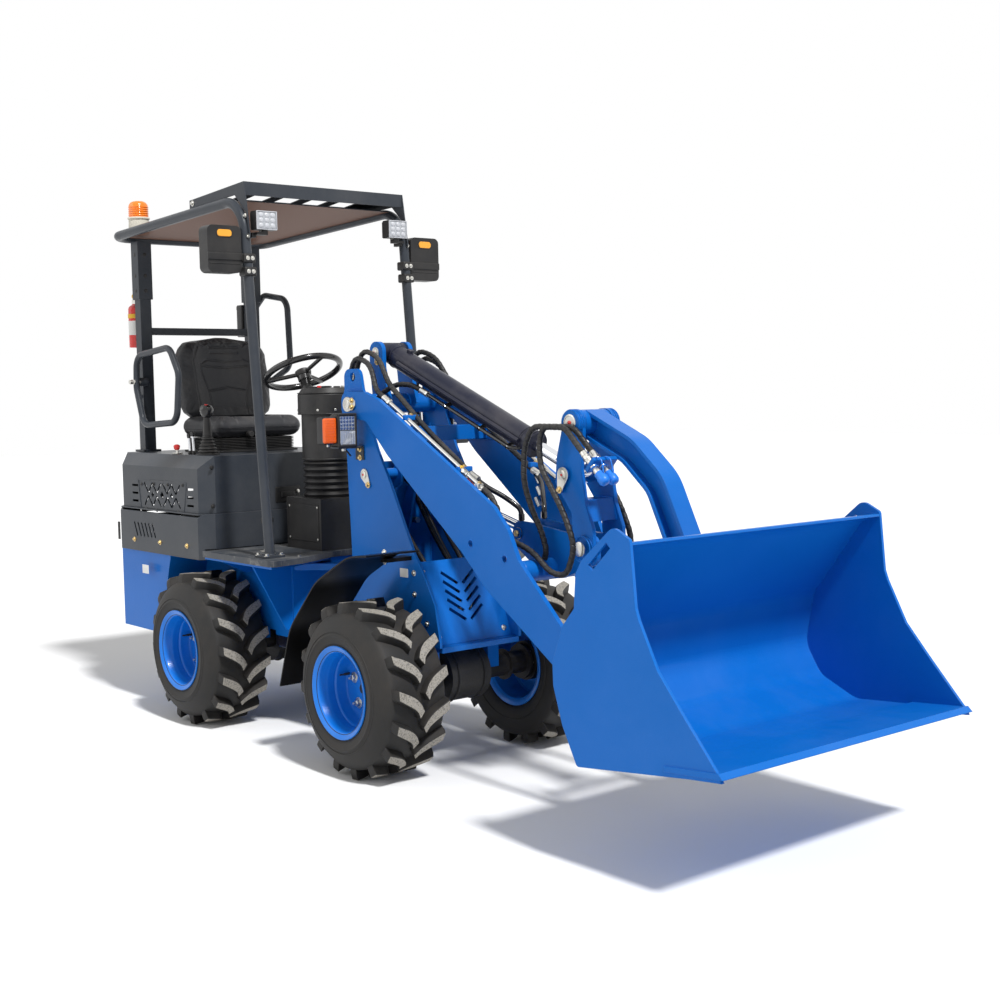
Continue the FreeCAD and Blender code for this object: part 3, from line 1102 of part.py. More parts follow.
def extinguisher():
    """Small fire extinguisher behind the right rear post, and the manual box behind the left."""
    bottle = cylinder("Z", ("extinguisher_x", "-post_y"), "extinguisher_low", "extinguisher_high",
                      "extinguisher_radius")
    valve = cylinder("Z", ("extinguisher_x", "-post_y"), "extinguisher_high - plate",
                     "valve_high", "valve_radius")
    clip = block(("extinguisher_x", "post_x - post_half - fit_gap"),
                 ("-post_y - plate", "-post_y + plate"),
                 ("extinguisher_low + plate * 8", "extinguisher_low + plate * 11"))
    box = block(("post_x - post_half - fit_gap - box_deep", "post_x - post_half - fit_gap"),
                ("post_y - box_half", "post_y + box_half"), ("box_low", "box_high"))
    return node("extinguisher", group(fuse(bottle, valve, clip), box))


def arm_guards():
    """Closed tube loops hinged to the rear posts: right one down, left one swung up."""
    for side, turn, label in ((-1, 0, "right_guard"), (1, -90, "left_guard")):
        points = path_values("arm_guard")
        middle = (points[0] + points[1]) / 2
        wire = bent_wire([middle] + points[1:] + [points[0], middle],
                         [SIZE["guard_bend"]] * len(points))
        ring = tube_along(wire, SIZE["guard_radius"])
        pivot = Vector(SIZE["guard_pivot_x"], 0, SIZE["guard_pivot_z"])
        ring.rotate(pivot, Vector(0, 1, 0), turn)
        ring.translate(Vector(0, side * SIZE["guard_y"], 0))
        node(label, shaped(ring))


# --------------------------------------------------------------------------------------------
# Axles and wheels
# --------------------------------------------------------------------------------------------
def axle(label, along, high):
    """Axle tube, round drive case and a hub at each end, bolted up to its frame."""
    tube = cylinder("Y", (along, "axle_height"), "-track_half + disc_inner + plate",
                    "track_half - disc_inner - plate", "axle_tube_radius")
    case = cylinder("Y", (along, "axle_height"), "-diff_half", "diff_half", "diff_radius")
    case_cut = block((f"{along} - diff_radius * 2", f"{along} + diff_radius * 2"),
                     ("-track_half", "track_half"), (high, f"{high} + diff_radius"))
    hubs = both_sides(lambda side: cylinder(
        "Y", (along, "axle_height"),
        *span(side, "track_half - disc_inner - hub_length", "track_half - disc_inner - fit_gap"),
        "hub_radius"))
    return node(label, cut(fuse(tube, case, *hubs), case_cut))


def wheels():
    """Four equal wheels: a deep rim with its disc, and a lugged tyre."""
    rim = [("0", "-disc_inner"), ("barrel_radius - barrel_wall", "-disc_inner"),
           ("barrel_radius - barrel_wall", "-rim_deep"), ("flange_radius", "-rim_deep"),
           ("flange_radius", "-rim_deep + flange_wall"), ("barrel_radius", "-rim_deep + flange_wall"),
           ("barrel_radius", "rim_half - flange_wall"), ("flange_radius", "rim_half - flange_wall"),
           ("flange_radius", "rim_half"), ("barrel_radius - barrel_wall", "rim_half"),
           ("barrel_radius - barrel_wall", "-disc_inner + disc_wall"),
           ("0", "-disc_inner + disc_wall")]
    for end, along in (("front", "0"), ("rear", "-wheelbase")):
        for side, name in ((-1, "right"), (1, "left")):
            wheel_node(f"{end}_{name}_rim", turned(rim), along, side)
            wheel_node(f"{end}_{name}_tyre", shaped(tyre_shape(side)), along, side)


def tyre_shape(lead):
    """A flat-sided carcass with two rows of bent lugs, their inner ends first as it rolls on."""
    ring = [("barrel_radius + plate / 3", "-rim_deep + flange_wall + fit_gap"),
            ("flange_radius + plate * 0.45", "-rim_deep + flange_wall + fit_gap"),
            ("bead_radius", "-bead_in"), ("bulge_radius", "-bulge_in"),
            ("shoulder_radius", "-shoulder_half - tyre_shift"),
            ("shoulder_radius", "shoulder_half - tyre_shift"), ("bulge_radius", "bulge_out"),
            ("bead_radius", "bead_out"),
            ("flange_radius + plate * 0.45", "rim_half - flange_wall - fit_gap"),
            ("barrel_radius + plate / 3", "rim_half - flange_wall - fit_gap")]
    ring = [(amount(radius), amount(across)) for radius, across in ring]
    count = int(SIZE["lug_count"])
    rows = [[Vector(radius, 0, across) for radius, across in ring]]
    for number in range(1, count + 1):
        turn = Rotation(Vector(0, 0, 1), 360 * (number % count) / count)
        rows.append([turn.multVec(point) for point in rows[0]])
    panels = [[rows[number][spot - 1], rows[number][spot], rows[number + 1][spot],
               rows[number + 1][spot - 1]]
              for number in range(count) for spot in range(len(ring))]
    lugs = []
    for number in range(2 * count):
        turn = Rotation(Vector(0, 0, 1), 180 * number / count)
        across = 1 if number % 2 else -1
        lugs.append(flat_sided([[turn.multVec(Vector(point.x, point.y * lead,
                                                     point.z * across - SIZE["tyre_shift"]))
                                 for point in panel] for panel in lug_panels()]))
    return flat_sided(panels).fuse(lugs).removeSplitter()


def lug_panels():
    """One lug standing along X: its outline drawn outward, its outer end bevelled at the top."""
    outline = outline_values("lug")
    (first_along, end), (second_along, end) = outline[:2]
    root, top, bevel = SIZE["lug_root"], SIZE["lug_top"], SIZE["lug_bevel_low"]

    def drawn_in(corner, beside):
        share = (end - SIZE["lug_bevel_half"]) / (end - beside[1])
        return Vector(top, corner[0] + share * (beside[0] - corner[0]), SIZE["lug_bevel_half"])
    low = [Vector(root, *corner) for corner in outline]
    high = [Vector(top, *corner) for corner in outline]
    high[0], high[1] = drawn_in(outline[0], outline[-1]), drawn_in(outline[1], outline[2])
    first, second = Vector(bevel, first_along, end), Vector(bevel, second_along, end)
    sides = [[low[number], low[number + 1], high[number + 1], high[number]]
             for number in range(2, len(outline) - 1)]
    return [low, high, [low[0], low[1], second, first], [first, second, high[1], high[0]],
            [low[1], low[2], high[2], high[1], second],
            [low[-1], low[0], first, high[0], high[-1]], *sides]


def flat_sided(panels):
    """A closed solid from its flat panels' corners."""
    faces = [Part.Face(Part.makePolygon(panel + panel[:1])) for panel in panels]
    solid = Part.Solid(Part.Shell(faces))
    if solid.Volume < 0:
        solid.reverse()
    return solid


# --------------------------------------------------------------------------------------------
# Front half: frame, tower, fenders, headlamps
# --------------------------------------------------------------------------------------------
def front_frame():
    """Floor of the front half, its arm back to the pivot and the knuckle round the pivot's pin."""
    floor = block(("tower_rear_x", "tower_front_low_x"),
                  ("-tower_half + tower_plate", "tower_half - tower_plate"),
                  ("tower_floor", "tower_low - fit_gap"))
    arm = block(("articulation_x + knuckle_radius / 2", "tower_rear_x + plate * 3"),
                ("-arm_half", "arm_half"), ("tower_floor", "arm_high"))
    cheek = block(("tower_rear_x + tower_plate + fit_gap", "tower_rear_x + plate * 6"),
                  ("-arm_half", "arm_half"), ("tower_floor", "arm_high"))
    knuckle = cylinder("Z", ("articulation_x", "0"), "fork_low_z + fork_low_wall + knuckle_play",
                       "fork_high_z - knuckle_play", "knuckle_radius")
    bore = cylinder("Z", ("articulation_x", "0"), "fork_low_z", "fork_high_z + fork_high_wall",
                    "knuckle_pin_radius + fit_gap")
    pads = both_sides(lambda side: axle_pad("0", side, "tower_floor + plate / 2"))
    lug = cylinder("Z", ("steer_eye_x", "steer_eye_y"), "steer_z + steer_eye_half + eye_gap",
                   "tower_floor + plate / 2", "steer_eye_radius")
    return node("front_frame", cut(fuse(floor, arm, knuckle, *pads), bore))


def tower():
    """Two side plates, and between them the rear wall, pivot tube and cylinders' base ears."""
    between = ("-tower_half + tower_plate", "tower_half - tower_plate")
    sides = plates("tower", "tower_half - tower_plate", "tower_half")
    eyes = plates("lift_eye_tab", "tower_half - tower_plate", "tower_half")
    eye_hole = cylinder("Y", ("boom_pivot_x", "boom_pivot_z + eye_hole_rise"), "-tower_half * 2",
                        "tower_half * 2", "eye_hole_radius")
    tube = cylinder("Y", ("boom_pivot_x", "boom_pivot_z"), *between, "pivot_tube_radius")
    pins = both_sides(lambda side: cylinder(
        "Y", ("boom_pivot_x", "boom_pivot_z"), *span(side, "tower_half - plate", "boom_out"),
        "pin_radius"))
    tilt_ears = plates("tilt_ear", "ear_in", "ear_in + ear_wall")
    tilt_pin = cylinder("Y", ("tilt_base_x", "tilt_base_z"), "-ear_in - ear_wall",
                        "ear_in + ear_wall", "pin_radius")
    lift_ears = plates("lift_ear", "lift_ear_in", "lift_ear_in + lift_ear_wall")
    lift_pin = cylinder("Y", ("lift_base_x", "lift_base_z"), *between, "pin_radius")
    wall = block(("tower_rear_x", "tower_rear_x + tower_plate"), between,
                 ("tower_low", "tower_wall_high"))
    arm_hole = block(("tower_rear_x - plate", "tower_rear_x + plate * 4"),
                     ("-arm_half - fit_gap", "arm_half + fit_gap"),
                     ("tower_low - plate", "arm_high + fit_gap"))
    wall = cut(wall, arm_hole)
    cheeks = [cut(fuse(*parts), eye_hole) for parts in zip(sides, eyes, pins)]
    return node("tower", group(*cheeks, fuse(tube, *tilt_ears, tilt_pin, *lift_ears, lift_pin,
                                             wall)))


def front_cover():
    """Louvred cover between the tower's side plates: slots in a chevron."""
    cover = plate("front_cover", "-tower_half + tower_plate + fit_gap",
                  "tower_half - tower_plate - fit_gap")
    slots = []
    for number in range(int(SIZE["louvre_rows"])):
        for side in (-1, 1):
            slot = doc.addObject("Part::Box", "Louvre")
            tie(slot, "Length", "tower_half")
            tie(slot, "Width", "louvre_length")
            tie(slot, "Height", "louvre_width")
            slot.Placement.Rotation = Rotation(Vector(1, 0, 0), side * SIZE["louvre_lean"])
            start = "plate * 1.5" if side > 0 else "-louvre_length * cos(louvre_lean) - plate * 1.5"
            rise = "0" if side > 0 else "louvre_length * sin(louvre_lean)"
            place(slot, "-tower_half / 4", start,
                  f"louvre_low_z + {number} * louvre_step + {rise}")
            slots.append(slot)
    return node("front_cover", cut(cover, *slots))


def front_fenders():
    """Bent sheet over and behind each front wheel, bolted to the tower's side plates."""
    def fender(side):
        low, high = (SIZE["fender_in"], SIZE["fender_out"])
        if side < 0:
            low, high = -high, -low
        bends = [SIZE["fender_bend"]] * (len(OUTLINES["fender_line"]) - 2)
        sheet_metal = shaped(strip("fender_line", SIZE["fender_wall"], low, high, bends))
        stay = block(("fender_stay_x", "fender_stay_x + plate * 6"),
                     span(side, "tower_half + fit_gap", "fender_in + plate * 4"),
                     ("fender_stay_z - plate * 1.5", "fender_stay_z"))
        return fuse(sheet_metal, stay)
    return node("front_fenders", group(*both_sides(fender)))


def headlamps():
    """Headlamp with an indicator beside it on a bracket from each side of the tower."""
    def lamp(side):
        near, far = "lamp_y - lamp_half", "lamp_y + lamp_half"
        head = prism("front", mirrored([(near, "lamp_z - lamp_tall"), (far, "lamp_z - lamp_tall"),
                                        (far, "lamp_z + lamp_tall"), (near, "lamp_z + lamp_tall")],
                                       side), "lamp_x - lamp_deep / 2", "lamp_x + lamp_deep / 2",
                     [("lamp_round", [0, 1, 2, 3])])
        amber = block(("lamp_x - lamp_deep / 2", "lamp_x + lamp_deep / 3"),
                      span(side, f"{far} - plate", f"{far} + indicator_half * 2"),
                      ("lamp_z - indicator_tall", "lamp_z + indicator_tall"))
        arm = block(("lamp_x - lamp_deep / 2 + plate", "lamp_x + lamp_deep / 2 - plate"),
                    span(side, "tower_half + fit_gap", far),
                    ("bracket_high - lamp_bracket_wall", "bracket_high + plate / 2"))
        foot = block(("lamp_x - lamp_deep / 2 + plate", "lamp_x + lamp_deep / 2 - plate"),
                     span(side, "tower_half + fit_gap", "tower_half + lamp_bracket_wall - 1"),
                     ("bracket_low", "bracket_high"))
        return fuse(head, amber, arm, foot)
    return node("headlamps", group(*both_sides(lamp)))


def mirrored(corners, side):
    """Corners of the front view, moved to one side of the machine."""
    return [(f"{side} * ({across})", up) for across, up in corners]


# --------------------------------------------------------------------------------------------
# Boom, lever, link and cylinders
# --------------------------------------------------------------------------------------------
def bored(solid, *holes):
    """Round holes across the machine: (joint, low, high, radius) each."""
    return cut(solid, *[cylinder("Y", JOINTS[joint], low, high, radius)
                        for joint, low, high, radius in holes])


def boom():
    """Two side plates with a channel, a cross tube and the inner lugs for rod and lever."""
    between = ("-boom_out + boom_wall", "boom_out - boom_wall")
    sides = plates("boom", "boom_out - boom_wall", "boom_out")
    channel = cut(block(("channel_x - channel_long / 2", "channel_x + channel_long / 2"), between,
                        ("channel_z - channel_tall / 2", "channel_z + channel_tall / 2")),
                  block(("channel_x - channel_long / 2 + channel_wall",
                         "channel_x + channel_long / 2 - channel_wall"),
                        ("-boom_out", "boom_out"),
                        ("channel_z - channel_tall / 2 - plate",
                         "channel_z + channel_tall / 2 - channel_wall")))
    tube = cylinder("Y", JOINTS["cross_tube"], *between, "cross_tube_radius")
    lugs = plates("boom_lug", "boom_lug_in", "boom_lug_in + boom_lug_wall")
    ends = []
    for joint in ("lift_eye", "lever_pivot"):
        ends += both_sides(lambda side: cylinder(
            "Y", JOINTS[joint], *span(side, "boom_lug_in",
                                      "lever_in + lever_wall" if joint == "lever_pivot"
                                      else "boom_lug_in + boom_lug_wall * 1.5"), "pin_radius"))
    whole = (f"-boom_out - plate", "boom_out + plate", "pin_radius + fit_gap")
    open_through = whole[:2] + ("boom_hole_radius",)
    holes = [("boom_pivot",) + whole, ("bucket_pivot",) + whole,
             ("boom_hole_rear",) + open_through, ("boom_hole_front",) + open_through]
    return node("boom", group(*[bored(side, *holes) for side in sides],
                              fuse(channel, tube, *lugs, *ends)))


def boom_lines():
    """Pipes and hoses along both inner walls of the boom, held by clamp blocks."""
    def clamps(side):
        return [block((f"{name}_x - clamp_wall / 2", f"{name}_x + clamp_wall / 2"),
                      span(side, near, "boom_out - boom_wall - fit_gap"),
                      (f"{name}_z - clamp_wall / 2", f"{name}_z + clamp_wall / 2"))
                for name, near in (("clamp_first", "boom_hose_side1 - plate"),
                                   ("clamp_last", "boom_hose_side1 - plate"),
                                   ("clamp_end", "boom_pipe_side1 - plate"))]
    sets = [fuse(pipe, hose, *clamps(side)) for side, pipe, hose in
            zip((-1, 1), hoses("pipe_radius", "boom_pipe"), hoses("hose_radius", "boom_hose"))]
    return node("boom_lines", group(*sets))


def moving_hoses():
    """Hoses that cross the boom's pivot, the lever's pivot and the link's top pin."""
    node("tower_hoses", group(*hoses("hose_radius", "tower_hose_outer", "tower_hose_inner")))
    node("loop_hoses", group(*hoses("hose_radius", "loop_outer", "loop_inner")))
    node("tail_hoses", group(*hoses("hose_radius", "tail_outer", "tail_inner")))


def lever():
    """Bell-crank: two plates, a web low down and bosses at the top pin."""
    sides = plates("lever", "lever_in", "lever_in + lever_wall")
    web = plate("lever_web", "-lever_in - plate / 2", "lever_in + plate / 2")
    bosses = both_sides(lambda side: cylinder(
        "Y", JOINTS["link_top"], *span(side, "lever_in", "lever_boss_out"), "lever_boss_radius"))
    pin = cylinder("Y", JOINTS["link_top"], "-lever_boss_out", "lever_boss_out", "pin_radius")
    tilt_pins = both_sides(lambda side: cylinder(
        "Y", JOINTS["tilt_eye"], *span(side, "lever_in", "lever_in + lever_wall * 1.6"),
        "pin_radius"))
    return node("lever", bored(fuse(*sides, web, *bosses, pin, *tilt_pins),
                               ("lever_pivot", "-lever_boss_out", "lever_boss_out",
                                "pin_radius + fit_gap")))


def link():
    """Curved link of I section from the lever's top pin down to the quick coupler."""
    points = [Vector(along, 0, up) for along, up in outline_values("link_line")]
    bends = [SIZE["link_bend"]] * (len(points) - 2)
    line = bent_wire(points, bends)

    def ribbon(low, high, half_wide):
        outer = line.makeOffset2D(high, join=2, fill=False, openResult=True)
        inner = line.makeOffset2D(low, join=2, fill=False, openResult=True)
        ends = [Part.LineSegment(outer.OrderedVertexes[place_].Point,
                                 inner.OrderedVertexes[place_].Point).toShape()
                for place_ in (0, -1)]
        face = Part.Face(Part.Wire(Part.__sortEdges__(outer.Edges + inner.Edges + ends)))
        face.translate(Vector(0, -half_wide, 0))
        return face.extrude(Vector(0, 2 * half_wide, 0))
    tall, flange = SIZE["link_tall"] / 2, SIZE["link_flange"]
    web = ribbon(-tall, tall, SIZE["link_web"] / 2)
    top = ribbon(tall - flange, tall, SIZE["link_half"])
    bottom = ribbon(-tall, -tall + flange, SIZE["link_half"])
    beam = shaped(web.fuse([top, bottom]).removeSplitter())
    head = cylinder("Y", JOINTS["link_top"], "-lever_in + eye_gap", "lever_in - eye_gap",
                    "lever_boss_radius")
    foot = cylinder("Y", JOINTS["link_foot"], "-hitch_ear_in + eye_gap",
                    "hitch_ear_in - eye_gap", "link_foot_radius")
    return node("link", bored(fuse(beam, head, foot),
                              ("link_top", "-lever_boss_out", "lever_boss_out",
                               "pin_radius + fit_gap")))


def link_couplings():
    """Capped hydraulic couplings in a bracket on each side of the link."""
    def side_set(side):
        bracket = block(("coupling_x - plate * 3", "coupling_x + plate * 3"),
                        span(side, "link_half + fit_gap", "coupling_y + coupling_gap + plate"),
                        ("coupling_z - plate * 3", "coupling_z + plate * 3"))
        bodies = []
        for number in (0, 1):
            body = doc.addObject("Part::Cylinder", "Coupling")
            tie(body, "Radius", "coupling_radius")
            tie(body, "Height", "coupling_length")
            turn = Rotation(Vector(0, 1, 0), 90 + SIZE["coupling_lean"])
            body.Placement.Rotation = turn
            across = f"{side} * (coupling_y + {number} * coupling_gap)"
            place(body, "coupling_x - cos(coupling_lean) * coupling_length / 2", across,
                  "coupling_z + sin(coupling_lean) * coupling_length / 2")
            cap = doc.addObject("Part::Cylinder", "Cap")
            tie(cap, "Radius", "coupling_cap")
            tie(cap, "Height", "coupling_cap * 2")
            cap.Placement.Rotation = turn
            place(cap, "coupling_x + cos(coupling_lean) * coupling_length / 2 - plate", across,
                  "coupling_z - sin(coupling_lean) * coupling_length / 2 + plate")
            bodies += [body, cap]
        return fuse(bracket, *bodies)
    return node("link_couplings", group(*both_sides(side_set)))


def lean_of(base, eye):
    """Angle in degrees below the horizontal of the line from base to eye."""
    (base_x, base_z), (eye_x, eye_z) = [[SIZE[text] for text in JOINTS[name]]
                                        for name in (base, eye)]
    return math.degrees(math.atan2(base_z - eye_z, eye_x - base_x))


def ram(name, base, eye, base_half):
    """Cylinder between two joints: a barrel on the base's pin and a rod to the eye."""
    lean = lean_of(base, eye)
    (base_x, base_z), (eye_x, eye_z) = JOINTS[base], JOINTS[eye]
    reach = f"sqrt(pow({eye_x} - {base_x}; 2) + pow({eye_z} - {base_z}; 2))"

    def along(label, low, high, radius):
        bar = doc.addObject("Part::Cylinder", label)
        tie(bar, "Radius", radius)
        tie(bar, "Height", f"({high}) - ({low})")
        bar.Placement.Rotation = Rotation(Vector(0, 1, 0), 90 + lean)
        run = (f"({eye_x} - ({base_x})) / {reach}", f"({eye_z} - ({base_z})) / {reach}")
        place(bar, f"{base_x} + {run[0]} * ({low})", "0", f"{base_z} + {run[1]} * ({low})")
        return bar
    barrel_radius, rod_radius = f"{name}_barrel_radius", f"{name}_rod_radius"
    barrel_length = f"{name}_barrel_length"
    tube = along("Barrel", "pin_radius", barrel_length, barrel_radius)
    gland = along("Gland", f"{barrel_length} - gland_length", barrel_length,
                  f"{barrel_radius} + gland_radius / 2")
    eye_end = cylinder("Y", JOINTS[base], f"-{base_half} + eye_gap", f"{base_half} - eye_gap",
                       "eye_radius + gland_radius")
    bore = along("Bore", "pin_radius + eye_radius", f"{barrel_length} + plate",
                 f"{rod_radius} + fit_gap")
    pin_hole = cylinder("Y", JOINTS[base], f"-{base_half}", base_half, "pin_radius + fit_gap")
    feed = along("Feed", "port_inset", f"{barrel_length} - gland_length * 1.5", "pipe_radius")
    tie(feed, "Placement.Base.y", f"-({barrel_radius}) - pipe_radius + fit_gap * 3")
    node(f"{name}_barrel", cut(fuse(tube, gland, eye_end, feed), bore, pin_hole))
    rod = along("Rod", f"{reach} - rod_inside_{name}", reach, rod_radius)
    rod_eye = cylinder("Y", JOINTS[eye], "-eye_half", "eye_half", "eye_radius")
    node(f"{name}_rod", fuse(rod, rod_eye))


def steering_ram():
    """Steering cylinder low on the right, from the rear frame to the front frame."""
    base = Vector(SIZE["steer_base_x"], SIZE["steer_base_y"], 0)
    eye = Vector(SIZE["steer_eye_x"], SIZE["steer_eye_y"], 0)
    turn = Rotation(Vector(1, 0, 0), eye - base).multiply(Rotation(Vector(0, 1, 0), 90))
    reach = "sqrt(pow(steer_eye_x - steer_base_x; 2) + pow(steer_eye_y - steer_base_y; 2))"

    def along(low, high, radius):
        bar = doc.addObject("Part::Cylinder", "Steer")
        tie(bar, "Radius", radius)
        tie(bar, "Height", f"({high}) - ({low})")
        bar.Placement.Rotation = turn
        place(bar, f"steer_base_x + (steer_eye_x - steer_base_x) / {reach} * ({low})",
              f"steer_base_y + (steer_eye_y - steer_base_y) / {reach} * ({low})", "steer_z")
        return bar

    def eye_boss(along_x, across):
        return cylinder("Z", (along_x, across), "steer_z - steer_eye_half",
                        "steer_z + steer_eye_half", "steer_eye_radius")
    barrel = cut(fuse(along("steer_pin_radius", "steer_barrel_length", "steer_barrel_radius"),
                      eye_boss("steer_base_x", "steer_base_y")),
                 along("steer_eye_radius + plate", "steer_barrel_length + plate",
                       "steer_rod_radius + fit_gap"),
                 cylinder("Z", ("steer_base_x", "steer_base_y"), "steer_z - steer_eye_radius * 2",
                          "steer_z + steer_eye_radius * 2", "steer_pin_radius + fit_gap"))
    node("steer_barrel", barrel)
    node("steer_rod", fuse(along(f"{reach} - rod_inside_steer", reach, "steer_rod_radius"),
                           eye_boss("steer_eye_x", "steer_eye_y")))


# --------------------------------------------------------------------------------------------
# Quick coupler and bucket
# --------------------------------------------------------------------------------------------
def quick_coupler():
    """Coupler frame: side plates inside the boom's tips, two tubes, ears for the link's foot."""
    sides = plates("hitch", "hitch_out - hitch_wall", "hitch_out")
    tubes = [cylinder("Y", ("hitch_tube_x", height), "-hitch_out + hitch_wall / 2",
                      "hitch_out - hitch_wall / 2", "hitch_tube_radius")
             for height in ("hitch_tube_z", "hitch_low_tube_z")]
    ears = plates("hitch_ear", "hitch_ear_in", "hitch_ear_in + hitch_ear_wall")
    foot_pins = both_sides(lambda side: cylinder(
        "Y", JOINTS["link_foot"], *span(side, "hitch_ear_in", "hitch_ear_in + hitch_ear_wall * 1.6"),
        "pin_radius"))
    pins = both_sides(lambda side: cylinder(
        "Y", JOINTS["bucket_pivot"], *span(side, "hitch_out - plate", "boom_out"), "pin_radius"))
    return node("quick_coupler", fuse(*sides, *tubes, *ears, *foot_pins, *pins))


def bucket():
    """Bent shell between two side plates with a cutting edge, and the brackets on its back."""
    skin = shaped(strip("bucket_skin", -SIZE["bucket_skin"], -SIZE["bucket_half"],
                        SIZE["bucket_half"], [SIZE["skin_bend"]] * 5))
    sides = plates("bucket_side", "bucket_half - plate / 10", "bucket_half + bucket_side")
    slot = [("bucket_pivot_x + slot_low_u", "bucket_pivot_z + slot_low_v"),
            ("bucket_pivot_x + slot_low_u + slot_wide", "bucket_pivot_z + slot_low_v - slot_wide"),
            ("bucket_pivot_x + slot_high_u + slot_wide", "bucket_pivot_z + slot_high_v - slot_wide"),
            ("bucket_pivot_x + slot_high_u", "bucket_pivot_z + slot_high_v")]
    slots = [prism("side", slot, "-bucket_half * 2", "bucket_half * 2")]
    edge = prism("side", [("edge_rear", "edge_low_z + edge_rise_rear"),
                          ("front_reach", "edge_low_z + edge_rise_front"),
                          ("front_reach - edge_wall", "edge_low_z + edge_rise_front + edge_wall"),
                          ("edge_rear", "edge_low_z + edge_rise_rear + edge_wall")],
                 "-edge_half", "edge_half")
    brackets = plates("bracket", "bracket_in", "bracket_in + bracket_plate")
    return node("bucket", fuse(skin, cut(fuse(*sides), *slots), edge, *brackets))


# --------------------------------------------------------------------------------------------
# Build, check and export
# --------------------------------------------------------------------------------------------
rear_frame()
counterweight()
engine_block()
lower_cover()
engine_cover()
rear_grille()
tail_lamps()
platform()
console()
steering_wheel()
control_levers()
seat_base()
seat_cushion()
seat_back()
roof_frame()
rear_posts()
roof_sheet()
roof_guard()
beacon()
work_lamps()
mirrors()
extinguisher()
arm_guards()
axle("rear_axle", "-wheelbase", "chassis_low - fit_gap")
axle("front_axle", "0", "tower_floor - fit_gap")
wheels()
front_frame()
tower()
front_cover()
front_fenders()
headlamps()
boom()
boom_lines()
moving_hoses()
lever()
link()
link_couplings()
ram("lift", "lift_base", "lift_eye", "lift_ear_in")
ram("tilt", "tilt_base", "tilt_eye", "ear_in")
steering_ram()
quick_coupler()
bucket()
doc.recompute()

broken = [thing.Label for thing in doc.Objects
          if "Invalid" in thing.State or "Error" in thing.State]
broken += [thing.Label for thing in NODES if thing.Shape.isNull() or not thing.Shape.isValid()]
if broken:
    raise RuntimeError("sub-parts that didn't build: " + ", ".join(broken))
os.makedirs("parts", exist_ok=True)
for thing in NODES:
    thing.Shape.exportStep(f"parts/{thing.Label}.step")
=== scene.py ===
"""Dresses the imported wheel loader: paint, tyres, seat, hoses, lamps, fittings and its stage.

Places are given in millimetres from the ground point under the front axle: X forward, Y to the
driver's left, Z up. They are carried into the machine's own frame, in metres, as meshes are made.
"""

import math

import bmesh
import bpy
import numpy as np
from bpy.props import FloatProperty, FloatVectorProperty, IntProperty, PointerProperty
from mathutils import Matrix


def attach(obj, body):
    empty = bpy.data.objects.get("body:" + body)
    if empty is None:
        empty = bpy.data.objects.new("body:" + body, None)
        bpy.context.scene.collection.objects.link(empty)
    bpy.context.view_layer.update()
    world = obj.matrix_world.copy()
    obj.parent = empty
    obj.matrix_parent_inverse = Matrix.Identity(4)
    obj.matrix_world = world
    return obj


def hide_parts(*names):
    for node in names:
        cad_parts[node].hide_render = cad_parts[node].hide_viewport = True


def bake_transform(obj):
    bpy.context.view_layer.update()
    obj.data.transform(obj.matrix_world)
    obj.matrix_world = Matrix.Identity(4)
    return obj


bl_info = {
    "name": "Wheel Loader Dressing",
    "version": (1, 0, 0),
    "blender": (4, 5, 0),
    "location": "View3D > Sidebar > Loader",
    "description": "Adds paint, tyres, seat, hoses and small fittings to the wheel loader",
    "category": "Object",
}

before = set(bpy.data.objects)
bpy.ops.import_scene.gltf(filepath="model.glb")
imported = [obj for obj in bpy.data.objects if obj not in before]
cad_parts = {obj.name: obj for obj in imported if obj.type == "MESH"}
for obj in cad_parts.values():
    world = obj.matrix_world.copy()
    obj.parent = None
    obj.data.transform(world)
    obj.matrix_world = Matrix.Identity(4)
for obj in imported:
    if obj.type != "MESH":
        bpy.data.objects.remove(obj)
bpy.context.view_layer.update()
MIDDLE = 103  # how far the machine's middle lies behind the front axle
SIDES = (-1, 1)
AHEAD, ACROSS, UP = (1, 0, 0), (0, 1, 0), (0, 0, 1)
TRACK_HALF, WHEELBASE, AXLE_HEIGHT = 434, 1254, 330
FINISH = {}  # finished materials by name


# --------------------------------------------------------------------------------------------
# Settings
# --------------------------------------------------------------------------------------------
def colour(name, value, words):
    return FloatVectorProperty(name=name, subtype="COLOR", size=3, min=0, max=1, default=value,
                               description=words)


class LoaderPaint(bpy.types.PropertyGroup):
    blue: colour("Blue", (0.003, 0.128, 0.49), "Gloss paint of the frames, boom and bucket")
    charcoal: colour("Charcoal", (0.034, 0.040, 0.050), "Satin paint of the covers and canopy")
    black: colour("Black", (0.012, 0.012, 0.013), "Moulded plastic and rubber")
    amber: colour("Amber", (0.86, 0.20, 0.008), "Beacon and indicator lenses")
    red: colour("Red", (0.62, 0.015, 0.012), "Extinguisher and small knobs")
    dust: colour("Dust", (0.30, 0.27, 0.23), "Dry dust on the tread and in corners")


class LoaderWheels(bpy.types.PropertyGroup):
    lugs: IntProperty(name="Lugs", default=16, min=8, max=24,
                      description="Lugs in each of a tyre's two rows")
    nuts: IntProperty(name="Nuts", default=5, min=3, max=8,
                      description="Wheel nuts on each disc")


class LoaderSeat(bpy.types.PropertyGroup):
    pressure: FloatProperty(name="Pressure", default=4.0, min=0, max=20,
                            description="Air pressure that swells the pads")
    swell: FloatProperty(name="Swell", default=9.0, min=0, max=40,
                         description="The furthest a pad's surface may move, in millimetres")


class LoaderStage(bpy.types.PropertyGroup):
    lens: FloatProperty(name="Lens", default=52.2, min=10, max=300,
                        description="Focal length in millimetres on a 36 mm sensor")
    key_power: FloatProperty(name="Key Light", default=3.5, min=0, max=20,
                             description="Strength of the high lamp")
    sky: FloatProperty(name="Sky", default=0.45, min=0, max=5,
                       description="Strength of the even light from all round")


